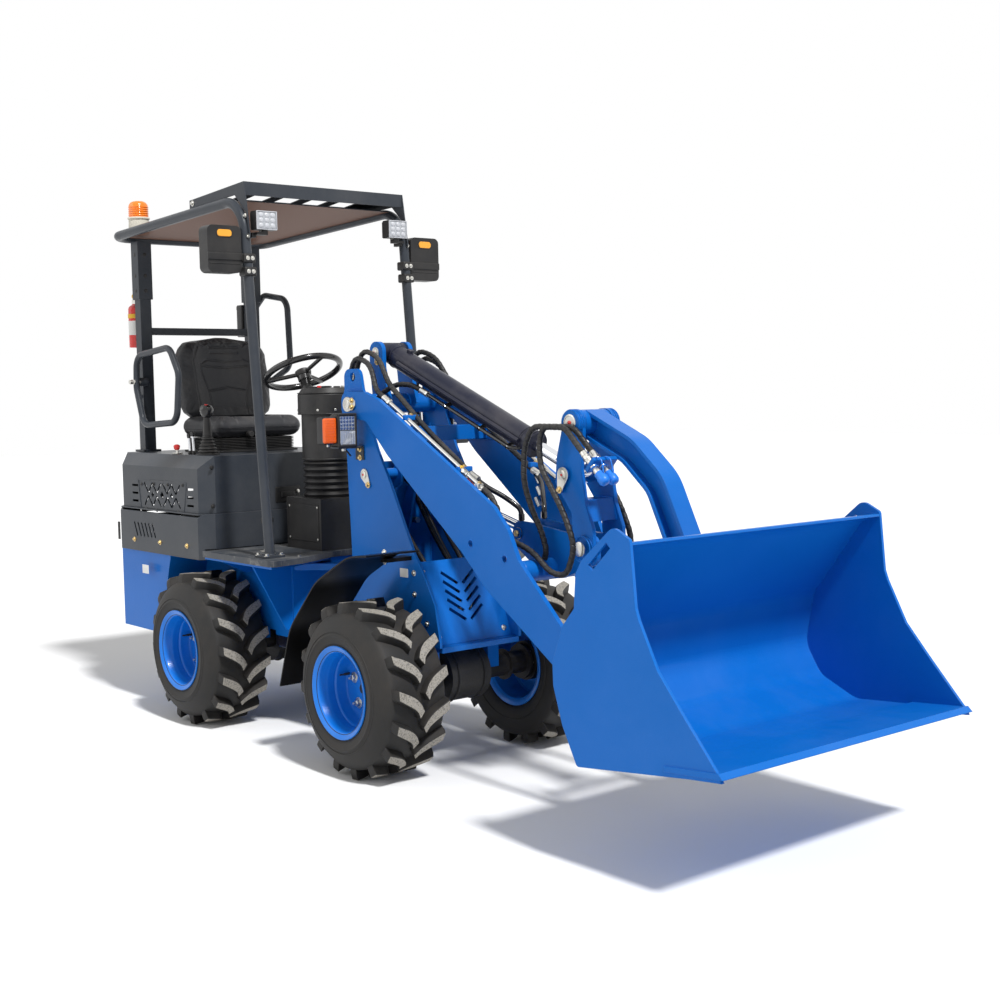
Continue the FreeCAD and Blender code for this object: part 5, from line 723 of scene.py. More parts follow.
class LOADER_OT_tyres(bpy.types.Operator):
    """Four tyres: a turned carcass with two staggered rows of swept lugs"""
    bl_idname = "loader.tyres"
    bl_label = "Tyres"

    def execute(self, context):
        count = context.scene.loader_wheels.lugs
        round_, across, radius, wear_and_highlight = lug_net()
        for name, along, side in WHEELS:
            form = Form("tyre_rubber")
            middle = (along, side * TRACK_HALF, AXLE_HEIGHT)
            form.closed(lathe(CARCASS[:, ::-1], middle, (0, side, 0), 112))
            for row in SIDES:
                for number in range(count):
                    turn = round_ / TREAD_RADIUS + (number + (row < 0) / 2) * 2 * np.pi / count
                    net = np.stack((along + radius * np.sin(turn),
                                    side * (TRACK_HALF + TYRE_SHIFT + row * across),
                                    AXLE_HEIGHT + radius * np.cos(turn)), -1)
                    form.add(net, mark=wear_and_highlight)
            for spot in (116.5, -165.5):
                form.closed(lathe([(spot + 2.2 * math.sin(a),
                                    226 + 2.2 * math.cos(a)) for a in np.linspace(0, 2 * np.pi, 6,
                                                                                  endpoint=False)],
                                  middle, (0, side, 0), 96))
            form.piece(f"{name}_tread", f"{name}_wheel", "tyre_black", (f"{name}_tyre",),
                       marked=True)
        return {"FINISHED"}


class LOADER_OT_rims(bpy.types.Operator):
    """Four deep dished rims with stepped barrels, wheel nuts on studs and a valve"""
    bl_idname = "loader.rims"
    bl_label = "Rims"

    def execute(self, context):
        nuts = context.scene.loader_wheels.nuts
        for name, along, side in WHEELS:
            # the rims' finish is the frame blue lightened as painted light
            form = Form("rim_blue_painted_light", "zinc", "cast_black")
            middle = np.array((along, side * TRACK_HALF, AXLE_HEIGHT), float)
            out = np.array((0, side, 0.0))
            form.add(lathe(RIM, middle, out, 96), ends=False)
            form.turned([(-12, 58), (-5, 57), (-2, 54), (-2, 20)], middle, out, "rim_blue_painted_light", 40)
            for number in range(nuts):
                turn = number * 2 * np.pi / nuts + 0.25
                spot = middle + 82 * np.array((math.cos(turn), 0, math.sin(turn))) - out * 10
                form.bolt(spot, out, 22, "zinc")
                form.turned([(8, 6), (24, 6), (26, 4.5)], spot, out, "zinc", 12)
            form.turned([(-4, 20), (8, 20), (10, 17)], middle, out, "cast_black", 6, True)
            valve = middle + 118 * np.array((-0.94, 0, 0.34)) - out * 11
            form.turned([(0, 5), (24, 5), (26, 3.6), (44, 3.6), (45, 2.5)], valve, out,
                        "cast_black", 12)
            form.piece(f"{name}_dish", f"{name}_wheel", "blue_paint", (f"{name}_rim",))
        return {"FINISHED"}


# --------------------------------------------------------------------------------------------
# Seat
# --------------------------------------------------------------------------------------------
def evaluated(thing):
    """The thing's mesh with its modifiers worked out, as a new mesh."""
    context = bpy.context.evaluated_depsgraph_get()
    return bpy.data.meshes.new_from_object(thing.evaluated_get(context))


def places_of(mesh):
    spots = np.empty(len(mesh.vertices) * 3, np.float32)
    mesh.vertices.foreach_get("co", spots)
    return spots.reshape(-1, 3).astype(float)


def set_places(mesh, spots):
    mesh.vertices.foreach_set("co", spots.astype(np.float32).reshape(-1))
    mesh.update()


def swollen_pad(name, net, pressure, cap):
    """A pad in millimetres: its shell is remeshed, blown out as cloth, capped and subdivided.

    A point moves from rest by the simulated offset, shortened to the cap where it is longer.
    """
    form = Form("seat_vinyl")
    form.add(net)
    mesh = form.bare_mesh(name)
    work = bmesh.new()
    work.from_mesh(mesh)
    bmesh.ops.remove_doubles(work, verts=work.verts, dist=1e-6)
    bmesh.ops.recalc_face_normals(work, faces=work.faces)
    work.to_mesh(mesh)
    work.free()
    pad = bpy.data.objects.new(name, mesh)
    bpy.context.scene.collection.objects.link(pad)
    voxels = pad.modifiers.new("Voxels", "REMESH")
    voxels.mode, voxels.voxel_size, voxels.use_smooth_shade = "VOXEL", 0.006, True
    pad.data = evaluated(pad)
    pad.modifiers.remove(voxels)
    rest = places_of(pad.data)
    cloth = pad.modifiers.new("Swell", "CLOTH")
    cloth.settings.use_pressure = True
    cloth.settings.uniform_pressure_force = pressure
    cloth.settings.effector_weights.gravity = 0
    cloth.settings.quality = 5
    cloth.point_cache.frame_start, cloth.point_cache.frame_end = 1, 20
    for number in range(1, 21):
        bpy.context.scene.frame_set(number)
    moved = places_of(evaluated(pad)) - rest
    pad.modifiers.remove(cloth)
    bpy.context.scene.frame_set(1)
    length = np.linalg.norm(moved, axis=1, keepdims=True)
    set_places(pad.data, rest + moved * np.minimum(1, cap / 1000 / np.maximum(length, 1e-9)))
    smoother = pad.modifiers.new("Smooth", "SUBSURF")
    smoother.levels = smoother.render_levels = 1
    pad.data = evaluated(pad)
    pad.modifiers.remove(smoother)
    pad.data.materials.clear()
    pad.data.materials.append(FINISH["seat_vinyl"])
    return pad


def groove(spots, lines, deep, wide):
    """How far each flat spot sinks: a bell curve of its distance from the nearest line."""
    nearest = np.full(len(spots), 1e9)
    for line in lines:
        line = np.asarray(line, float)
        for start, end in zip(line[:-1], line[1:]):
            run = end - start
            share = np.clip(((spots - start) @ run) / (run @ run), 0, 1)[:, None]
            nearest = np.minimum(nearest, np.linalg.norm(spots - start - share * run, axis=1))
    return deep * np.exp(-(nearest / wide) ** 2)


def sculpt(pad, change):
    """Moves a pad's points by change(places, normals), in millimetres from the axle's point."""
    mesh = pad.data
    spots = places_of(mesh) * 1000 - (MIDDLE, 0, 0)
    normals = np.empty(len(mesh.vertices) * 3, np.float32)
    mesh.vertices.foreach_get("normal", normals)
    set_places(mesh, (change(spots, normals.reshape(-1, 3).astype(float)) + (MIDDLE, 0, 0)) / 1000)
    mesh.polygons.foreach_set("use_smooth", [True] * len(mesh.polygons))


def back_frame(height):
    """X of the seat back's front and rear faces at a height, from its lean."""
    lean = (height - 1330) / 392
    return -1684 - 60 * lean, -1791 - 60 * lean


class LOADER_OT_seat(bpy.types.Operator):
    """Seat pads filled out like stuffed vinyl, with bolsters, sewn channels and a bellows base"""
    bl_idname = "loader.seat"
    bl_label = "Seat"

    def execute(self, context):
        wanted = context.scene.loader_seat
        pressure, cap = wanted.pressure, wanted.swell
        # cushion: bolsters at its sides, a drooping nose, two sewn lines along and two across
        low = rounded_box((-1602, 0, 1285), (186, 232, 40), 37, steps=6)
        cushion = swollen_pad("seat_cushion_pad", low, pressure, cap)
        side_line = [[(-1790, s * 140), (-1700, s * 146), (-1560, s * 152), (-1420, s * 120)]
                     for s in SIDES]
        cross = [[(-1540, -150), (-1530, 0), (-1540, 150)], [(-1650, -146), (-1642, 0),
                                                            (-1650, 146)]]

        def shape_cushion(spots, normals):
            up = np.clip(normals[:, 2], 0, 1) * (spots[:, 2] > 1290)
            middle = np.clip(1 - (np.abs(spots[:, 1]) / 150) ** 4, 0, 1)
            ahead = np.clip((spots[:, 0] + 1760) / 60, 0, 1) * np.clip(
                (-1450 - spots[:, 0]) / 60, 0, 1)
            sink = 9 * middle * ahead * up
            sink += groove(spots[:, :2], side_line + cross, 4.0, 5.0) * up
            nose = np.clip((spots[:, 0] + 1470) / 60, 0, 1) ** 2 * 10
            moved = spots.copy()
            moved[:, 2] -= sink + nose * (spots[:, 2] > 1283)
            seam = groove(spots[:, 2:3], [[(1270.0,), (1270.1,)]], 2.2, 3.0)
            moved[:, :2] -= (normals * seam[:, None] * (1 - np.abs(normals[:, 2:3])))[:, :2]
            return moved
        sculpt(cushion, shape_cushion)
        # back: wide wings, a sunken middle with three short lines and curved panel seams
        height = np.linspace(0, 1, 15)
        plan = np.linspace(0, 2 * np.pi, 48, endpoint=False)
        half = np.interp(height, (0, 0.12, 0.45, 0.8, 1), (222, 240, 246, 238, 190))
        rim = np.sqrt(np.clip(1 - (2 * height - 1) ** 14, 0.02, 1))
        rim[0], rim[1] = 0.86, 0.98
        z = 1318 + 396 * height
        front, rear = back_frame(z)
        middle_x, deep = (front + rear) / 2, (front - rear) / 2 - 8
        power = 0.42
        ring_x = np.sign(np.cos(plan)) * np.abs(np.cos(plan)) ** power
        ring_y = np.sign(np.sin(plan)) * np.abs(np.sin(plan)) ** power
        shell = np.stack((middle_x[:, None] + (deep * rim)[:, None] * ring_x,
                          (half * rim)[:, None] * ring_y,
                          np.broadcast_to(z[:, None], (15, 48))), -1)
        back = swollen_pad("seat_back_pad", shell, pressure, cap)
        panel = [[(-96, 1600), (0, 1590), (96, 1600)], [(-100, 1450), (0, 1466), (100, 1450)],
                 [(-134, 1572), (0, 1560), (134, 1572)],
                 [(-90, 1684), (90, 1684)], [(-76, 1658), (76, 1658)], [(-72, 1632), (72, 1632)]]
        for s in SIDES:
            panel += [[(s * 92, 1345), (s * 100, 1440), (s * 128, 1530), (s * 132, 1580),
                       (s * 96, 1600)],
                      [(s * 150, 1345), (s * 168, 1450), (s * 176, 1600), (s * 120, 1700)]]

        def shape_back(spots, normals):
            ahead = np.clip(normals[:, 0], 0, 1)
            front = back_frame(spots[:, 2])[0]
            face = ahead * (spots[:, 0] > front - 40)
            across = np.clip(1 - (np.abs(spots[:, 1]) / 172) ** 5, 0, 1)
            up = np.clip((spots[:, 2] - 1335) / 40, 0, 1) * np.clip((1722 - spots[:, 2]) / 60,
                                                                    0, 1)
            moved = spots.copy()
            moved[:, 0] -= (24 * across * up + groove(spots[:, 1:], panel, 4.5, 4.5)) * face
            behind = np.clip(-normals[:, 0], 0, 1)
            moved[:, 0] += groove(spots[:, 1:], [[(-200, 1500), (200, 1500)]], 3, 4) * behind
            return moved
        sculpt(back, shape_back)
        for pad, node_name in ((cushion, "seat_cushion"), (back, "seat_back")):
            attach(pad, "rear")
            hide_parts(node_name)
        # base: a rubber bellows of four folds on a steel tray
        form = Form("moulded_black")
        steps = np.linspace(0, 1, 25)
        plan = rounded_plan(172, 206, 40)
        rings = [np.column_stack((inset(plan, 15 * math.cos(8 * math.pi * t) ** 2
                                        + (6 if t in (0, 1) else 0)) + (-1615, 0),
                                  np.full(len(plan), 1176 + 58 * t))) for t in steps]
        form.add(np.array(rings))
        form.add(plate_net(rounded_plan(174, 208, 12) + (-1615, 0), 1168.6, 1177))
        form.add(lathe([(0, 15), (26, 15), (30, 12)], (-1438, -60, 1250), AHEAD, 20))
        form.piece("seat_bellows", "rear", "seat_black", ("seat_base",))
        return {"FINISHED"}


def rounded_plan(half_x, half_y, radius, steps=6):
    """A rectangle's outline with round corners, seen from above."""
    quarter = np.linspace(0, np.pi / 2, steps + 1)
    turn = np.concatenate([quarter + k * np.pi / 2 for k in range(4)])
    sign_x = np.repeat((1, -1, -1, 1), steps + 1)
    sign_y = np.repeat((1, 1, -1, -1), steps + 1)
    return np.stack((sign_x * (half_x - radius) + radius * np.cos(turn),
                     sign_y * (half_y - radius) + radius * np.sin(turn)), 1)


def plate_net(outline, low, high, bevel=1.2):
    """A level plate from a plan outline, its rims bevelled: four rings from low to high."""
    small = inset(outline, bevel)
    return np.stack([np.column_stack((ring, np.full(len(ring), z))) for ring, z in
                     ((small, low), (outline, low + bevel), (outline, high - bevel),
                      (small, high))])


# --------------------------------------------------------------------------------------------
# Paint and stage
# --------------------------------------------------------------------------------------------
class LOADER_OT_paint(bpy.types.Operator):
    """Makes every finish and gives each solid of the frame its own"""
    bl_idname = "loader.paint"
    bl_label = "Paint"

    def execute(self, context):
        make_finishes(context)
        for finish, names in NODE_FINISH.items():
            for name in names:
                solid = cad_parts[name]
                if not solid.material_slots:
                    raise RuntimeError(f"{name} has no material slot")
                for spot in solid.material_slots:
                    spot.link = "OBJECT"
                    spot.material = FINISH[finish]
        return {"FINISHED"}


class LOADER_OT_stage(bpy.types.Operator):
    """Pale floor, even sky, two lamps and the camera"""
    bl_idname = "loader.stage"
    bl_label = "Stage"

    def execute(self, context):
        scene, wanted = context.scene, context.scene.loader_stage
        size = 30.0
        mesh = bpy.data.meshes.new("stage_floor")
        mesh.from_pydata([(-size, -size, 0), (size, -size, 0), (size, size, 0),
                          (-size, size, 0)], [], [(0, 1, 2, 3)])
        floor = bpy.data.objects.new("stage_floor", mesh)
        scene.collection.objects.link(floor)
        paper = bpy.data.materials.new("stage_paper")
        paper.use_nodes = True
        tree = paper.node_tree
        shader = tree.nodes["Principled BSDF"]
        grain = noise(tree, object_place(tree), 3.0, 2.0)
        feed(tree, shader.inputs["Base Color"],
             mix_colour(tree, grain, (0.86, 0.86, 0.86, 1), (0.88, 0.88, 0.88, 1)))
        shader.inputs["Roughness"].default_value = 0.9
        mesh.materials.append(paper)
        world = bpy.data.worlds.new("stage_sky")
        scene.world = world
        world.use_nodes = True
        tree = world.node_tree
        sky = tree.nodes["Background"]
        sky.inputs["Color"].default_value = (1, 1, 1, 1)
        path = node(tree, "ShaderNodeLightPath").outputs
        seen = maths(tree, "MAXIMUM", maths(tree, "MAXIMUM", path["Is Camera Ray"],
                                            path["Is Glossy Ray"]), path["Is Transmission Ray"])
        feed(tree, sky.inputs["Strength"], ranged(tree, seen, 0.0, 1.0, bottom=wanted.sky))
        for name, power, angle, turn in (("key", wanted.key_power, 6, (37, 0, 82)),
                                         ("fill", wanted.key_power * 0.13, 40, (62, 0, -30))):
            lamp = bpy.data.lights.new(name, "SUN")
            lamp.energy, lamp.angle = power, math.radians(angle)
            holder = bpy.data.objects.new(name, lamp)
            holder.rotation_euler = [math.radians(a) for a in turn]
            scene.collection.objects.link(holder)
        camera = bpy.data.cameras.new("camera")
        camera.lens, camera.sensor_width = wanted.lens, 36
        holder = bpy.data.objects.new("camera", camera)
        holder.matrix_world = (Matrix.Translation((4.543, -3.45, 1.435))
                               @ Matrix.Rotation(math.radians(50.25), 4, "Z")
                               @ Matrix.Rotation(math.radians(90 - 4.38), 4, "X")
                               @ Matrix.Rotation(math.radians(-1.08), 4, "Z"))
        scene.collection.objects.link(holder)
        scene.camera = holder
        scene.view_settings.view_transform = "Standard"
        return {"FINISHED"}


# --------------------------------------------------------------------------------------------
# Canopy, lamps and mirrors
# --------------------------------------------------------------------------------------------
class LOADER_OT_canopy(bpy.types.Operator):
    """Bolts, weld beads and plug holes on the canopy, its feet and its guard"""
    bl_idname = "loader.canopy"
    bl_label = "Canopy Fittings"

    def execute(self, context):
        form = Form("zinc", "charcoal_satin", "moulded_black")
        for side in SIDES:
            out = (0, side, 0)
            for along in (-742, -674):
                for across in (366, 434):
                    form.bolt((along, side * across, 775), UP, 13)
            form.ring((-708, side * 400, 777), UP, 22, 3.5, "charcoal_satin")
            form.bolt((-1262, side * 400, 2257), out, 13)
            for height in (1930, 2000, 2100):
                form.turned([(-1, 9), (0.8, 9), (1.4, 7)], (-1985, side * 329, height), out,
                            "moulded_black", 20)
                form.turned([(-1, 9), (0.8, 9), (1.4, 7)], (-1950, side * 294, height), AHEAD,
                            "moulded_black", 20)
            for height, along in ((2075, -800), (2160, -818)):
                form.bolt((along, side * 401, height), out, 10)
            form.turned([(-16, 13), (16, 13), (18, 11), (34, 11), (36, 9)], (-1945, side * 362,
                                                                             1500), out, "zinc",
                        24)
            form.turned([(-1, 8), (24, 8), (26, 6)], (-1985, side * 322, 1430), out,
                        "moulded_black", 20)
        form.piece("canopy_bolts", "rear", "charcoal_paint")
        return {"FINISHED"}


class LOADER_OT_work_lamps(bpy.types.Operator):
    """Faces of the two work lamps: reflector, nine lenses, bezel and cooling fins"""
    bl_idname = "loader.work_lamps"
    bl_label = "Work Lamps"

    def execute(self, context):
        form = Form("lamp_glass", "led_dot", "moulded_black", "zinc")
        for side in SIDES:
            across, height = side * 330, 2140
            form.box("lamp_glass", (-770, across, height), (2.6, 43, 33), 2)
            for row in (-1, 0, 1):
                for column in (-1, 0, 1):
                    form.turned([(0, 11.5), (1.6, 11), (4.2, 7.6), (5.4, 3)], (-768,
                                                                               across + column *
                                                                               27,
                                                                               height + row * 21),
                                AHEAD, "led_dot", 20)
            for rise in SIDES:
                form.box("led_dot", (-769, across, height + rise * 36), (3.5, 48, 2), 1.8)
                form.box("led_dot", (-769, across + rise * 46, height), (3.5, 2, 38), 1.8)
            for fin in range(9):
                form.box("moulded_black", (-822, across - 40 + fin * 10, height), (9, 1.5, 34), 1,
                         steps=2)
            form.bolt((-800, across, 2101), (0, 0, -1), 13)
        form.piece("work_lamp_faces", "rear", "black_plastic")
        return {"FINISHED"}


class LOADER_OT_mirrors(bpy.types.Operator):
    """Mirror trim: glass behind, an oval reflector and a moulded band in front, a clamp"""
    bl_idname = "loader.mirrors"
    bl_label = "Mirrors"

    def execute(self, context):
        form = Form("mirror_glass", "orange_reflector", "moulded_black", "zinc")
        for side in SIDES:
            middle = side * 505
            form.add(slab(rounded_plan(68, 86, 20) + (middle, 2020), -1.5, 1.2, (-880, 0, 0),
                          AHEAD), "mirror_glass")
            form.add(slab(rounded_plan(33, 14, 12) + (middle, 2084), -1, 3.5, (-810, 0, 0), AHEAD),
                     "orange_reflector")
            form.add(slab(rounded_plan(37, 18, 15) + (middle, 2084), -1, 1.4, (-810, 0, 0), AHEAD),
                     "moulded_black")
            form.box("moulded_black", (-809, side * 494, 1990), (4.5, 89, 15), 3)
            form.box("moulded_black", (-810, middle, 1962), (2, 70, 2.4), 1.8)
            for height in (1986, 1932):
                spot = -708 - 0.0898 * (height - 775)
                form.box("moulded_black", (spot, side * 400, height), (27, 28, 19), 7)
                for across in (389, 411):
                    form.bolt((spot + 26.6, side * across, height), AHEAD, 9)
        form.piece("mirror_trim", "rear", "black_plastic")
        return {"FINISHED"}


class LOADER_OT_beacon(bpy.types.Operator):
    """Beacon: a pale ribbed base and a banded amber dome over its bulb"""
    bl_idname = "loader.beacon"
    bl_label = "Beacon"

    def execute(self, context):
        place, up = (-1985, -300, 2192.8), UP
        form = Form("bone_plastic", "amber_lens", "zinc")
        form.turned([(0, 50), (3, 52), (9, 52), (12, 48), (72, 47), (75, 51.5), (81, 51.5), (83,
                                                                                             49)],
                    place, up, "bone_plastic", 48)
        height = np.linspace(82, 130, 32)
        bands = 46.2 + 1.4 * np.cos((height - 82) * 2 * np.pi / 9.6)
        turn = np.linspace(0.1, np.pi / 2, 9)
        lens = np.vstack((np.stack((height, bands), 1),
                          np.stack((130 + 29.5 * np.sin(turn), 18 + 28 * np.cos(turn)), 1),
                          ((159.6, 5),)))
        form.turned(lens, place, up, "amber_lens", 48)
        for turn in (0.6, 2.7, 4.8):
            form.bolt((-1985 + 49 * math.cos(turn), -300 + 49 * math.sin(turn), 2200),
                      (math.cos(turn), math.sin(turn), 0), 6, washer=False)
        form.piece("beacon_lamp", "rear", "lamp_amber", ("beacon",))
        return {"FINISHED"}


class LOADER_OT_extinguisher(bpy.types.Operator):
    """Extinguisher with its strap, blank label and valve, and the box for papers"""
    bl_idname = "loader.extinguisher"
    bl_label = "Extinguisher"

    def execute(self, context):
        form = Form("red_gloss", "moulded_black", "yellow_plastic", "plain_plate", "zinc")
        foot, up = (-2064, -294, 1665), UP
        form.turned([(0, 31), (2, 35), (6, 36), (184, 36), (193, 33.5), (200, 27), (205, 18),
                     (216, 14)], foot, up, "red_gloss", 40)
        form.turned([(60, 35.4), (60.4, 36.3), (128, 36.3), (128.4, 35.4)], foot, up,
                    "plain_plate", 40)
        form.turned([(140, 35.4), (140.5, 38), (160.5, 38), (161, 35.4)], foot, up,
                    "yellow_plastic", 40)
        form.turned([(205, 14), (210, 17.5), (228, 17.5), (232, 12)], foot, up, "zinc", 24)
        form.turned([(230, 8), (234, 13), (240, 16.5), (246, 17.5), (252, 16), (257, 12), (259.5,
                                                                                           6)],
                    foot, up, "yellow_plastic", 28)
        form.box("moulded_black", (-2058, -294, 1890), (20, 7, 4.5), 3)
        form.tube(smooth_line(((-2046, -294, 1882), (-2034, -294, 1872), (-2028, -294, 1840),
                               (-2027.5, -294, 1760)), 16), 5.5, "moulded_black")
        form.box("moulded_black", (-2027, -294, 1816), (13.5, 16, 9), 3)
        form.box("moulded_black", (-2040.5, 294, 1800), (27, 40, 80), 7)
        form.box("moulded_black", (-2040.5, 294, 1864), (27.5, 40.4, 10), 5)
        form.box("zinc", (-2013.6, 294, 1846), (1.8, 8, 10), 1.5)
        form.piece("extinguisher_bottle", "rear", "red_paint", ("extinguisher",))
        return {"FINISHED"}


# --------------------------------------------------------------------------------------------
# Covers, platform and console
# --------------------------------------------------------------------------------------------
class LOADER_OT_covers(bpy.types.Operator):
    """Cover trim: bolted panel frames, latch, seams, blank plates and platform studs"""
    bl_idname = "loader.covers"
    bl_label = "Cover Trim"

    def execute(self, context):
        form = Form("charcoal_satin", "brass_zinc", "zinc", "moulded_black", "plain_plate")
        frame_line = np.array(((-1792, 1048), (-1700, 1048), (-1672, 1050), (-1326, 1050),
                               (-1330, 1010), (-1356, 905), (-1372, 898), (-1745, 898),
                               (-1768, 905)), float)
        for side in SIDES:
            out = (0, side, 0)
            rim = np.vstack((frame_line, frame_line[:1]))
            for start, end in zip(rim[:-1], rim[1:]):
                form.rod((start[0], side * 445, start[1]), (end[0], side * 445, end[1]), 2.6,
                         "charcoal_satin", 10)
            for along, height in ((-1759, 1028), (-1636, 1032), (-1500, 1034), (-1359, 1037),
                                  (-1715, 915), (-1612, 914), (-1508, 914), (-1405, 917)):
                form.bolt((along, side * 445, height), out, 8, "moulded_black")
            for along, height in ((-1828, 769), (-1314, 773), (-1570, 771)):
                form.bolt((along, side * 457, height), out, 12, "brass_zinc")
            form.box("moulded_black", (-1990, side * 457, 800), (9, 3, 42), 2.5)
            form.box("plain_plate", (-1700, side * 470, 640), (30, 1.4, 20), 1.2)
            for along in (-1246, -640):
                form.turned([(0, 7), (5, 7), (6, 5)], (along, side * 302, 765), UP, "zinc", 6,
                            True)
        form.box("moulded_black", (-1166, -27, 982), (4, 64, 36), 4)
        form.box("moulded_black", (-1161, -27, 982), (5, 36, 14), 5)
        form.turned([(0, 9), (4, 9), (5, 7)], (-1162, 22, 994), AHEAD, "zinc", 20)
        for across in SIDES:
            for height in (952, 1120):
                form.bolt((-1166, across * 405, height), AHEAD, 10, "moulded_black")
        form.piece("cover_trim", "rear", "charcoal_paint")
        return {"FINISHED"}


class LOADER_OT_console(bpy.types.Operator):
    """Console cap rim, screws, a gauge face, switches and the key"""
    bl_idname = "loader.console"
    bl_label = "Console Trim"

    def execute(self, context):
        form = Form("moulded_black", "zinc", "gloss_black", "red_gloss")
        top, up = (-865, 0, 1340), UP
        form.ring((-865, 0, 1344), up, 126, 2.4, "moulded_black", 64)
        form.ring((-865, 0, 1432), up, 125.5, 2.2, "moulded_black", 64)
        form.ring((-865, 0, 1150), up, 112.5, 3, "moulded_black", 64)
        for turn in (-0.9, -0.3, 0.3, 0.9, 2.2, 3.14, 4.08):
            out = np.array((math.cos(turn), math.sin(turn), 0))
            form.turned([(-1, 5), (1.5, 5), (2.4, 3.4)], np.array(top) + out * 126 + (0, 0, 20),
                        out, "zinc", 14)
        form.turned([(0, 44), (3.4, 44), (3.6, 40), (2.4, 38)], (-905, 0, 1454.8), (-0.1, 0, 1),
                    "gloss_black", 40)
        for across in (-62, 62):
            form.box("moulded_black", (-880, across, 1456), (15, 9, 5), 2.5)
        form.turned([(0, 8), (7, 8), (8, 6)], (-832, 60, 1454), up, "zinc", 20)
        form.turned([(0, 10), (6, 10), (9, 7)], (-832, -60, 1454), up, "red_gloss", 20)
        for side in SIDES:
            out = (0, side, 0)
            form.add(slab(np.array(((-985, 800), (-745, 800), (-745, 960), (-985, 960))), 134,
                          136.5, across=out, bevel=2), "moulded_black")
            for along in (-975, -755):
                for height in (812, 948):
                    form.turned([(0, 5), (1.6, 5), (2.4, 3)], (along, side * 136.5, height), out,
                                "zinc", 14)
        form.piece("console_trim", "rear", "black_plastic")
        hub = Form("moulded_black")
        axis = np.array((-0.4067, 0, 0.9135))
        middle = np.array((-1015, 0, 1445)) + axis * 88
        hub.turned([(-16, 33), (-4, 36), (6, 35), (11, 26), (13, 8)], middle, axis,
                   "moulded_black", 40)
        hub.piece("steering_hub_cap", "steering_wheel", "black_plastic")
        return {"FINISHED"}


class LOADER_OT_levers(bpy.types.Operator):
    """Joystick in its bellows, two bright rods, a red-knobbed lever and the pedal"""
    bl_idname = "loader.levers"
    bl_label = "Levers"

    def execute(self, context):
        form = Form("moulded_black", "chrome", "gloss_black", "red_gloss", "zinc")
        stick = (-1330, -330, 0)
        fold = np.linspace(0, 1, 41)
        boot = np.stack((1168.4 + 86 * fold, 46 - 26 * fold + 3.2 * np.cos(fold * 12 * np.pi)), 1)
        form.turned(boot, stick, UP, "moulded_black", 36)
        form.turned([(1168.4, 52), (1172, 52), (1173.5, 50)], stick, UP, "moulded_black", 40)
        form.turned([(1246, 22), (1256, 20), (1300, 17), (1338, 14), (1342, 10)], stick, UP,
                    "moulded_black", 28)
        form.turned([(1330, 12), (1338, 20), (1348, 26), (1360, 30), (1372, 30), (1384, 24),
                     (1391.5, 10)], stick, UP, "gloss_black", 36)
        form.turned([(1384, 8), (1391.8, 8), (1392, 6)], (-1322, -336, 0), UP, "red_gloss", 20)
        for along, across, top in ((-1449, -340, 1252), (-1486, -340, 1244)):
            form.rod((along + 8, across, 1168.4), (along, across, top), 5.5, "chrome")
            form.turned([(0, 9), (12, 9), (16, 6)], (along + 8, across, 1168.4), UP,
                        "moulded_black", 20)
            form.turned([(-4, 7), (4, 9), (14, 9), (18, 5)], (along, across, top), UP,
                        "gloss_black", 20)
        form.rod((-1560, -360, 1168.4), (-1566, -360, 1192), 6, "zinc")
        form.turned([(1186, 8), (1191, 13), (1200, 14), (1209, 11), (1212, 4)], (-1566, -360, 0),
                    UP, "red_gloss", 28)
        form.rod((-1566, -346, 1202), (-1566, -374, 1202), 6, "red_gloss")
        form.box("zinc", (-1560, -360, 1171), (24, 14, 3), 2)
        # pedal: a ribbed pad on a bent bar
        form.box("moulded_black", (-890, -300, 900), (9, 28, 12), 5)
        form.tube(smooth_line(((-889, -300, 765.6), (-890, -300, 800), (-888, -300, 850), (-890,
                                                                                           -300,
                                                                                           894)),
                              14), 6, "zinc")
        for rib in range(4):
            form.box("moulded_black", (-881, -318 + 12 * rib, 900), (3, 2, 10), 1.4, steps=2)
        form.box("zinc", (-890, -300, 769), (22, 26, 3.6), 2)
        form.bolt((-890, -314, 772), UP, 10)
        form.bolt((-890, -286, 772), UP, 10)
        form.piece("hand_levers", "rear", "black_plastic", ("control_levers",))
        return {"FINISHED"}


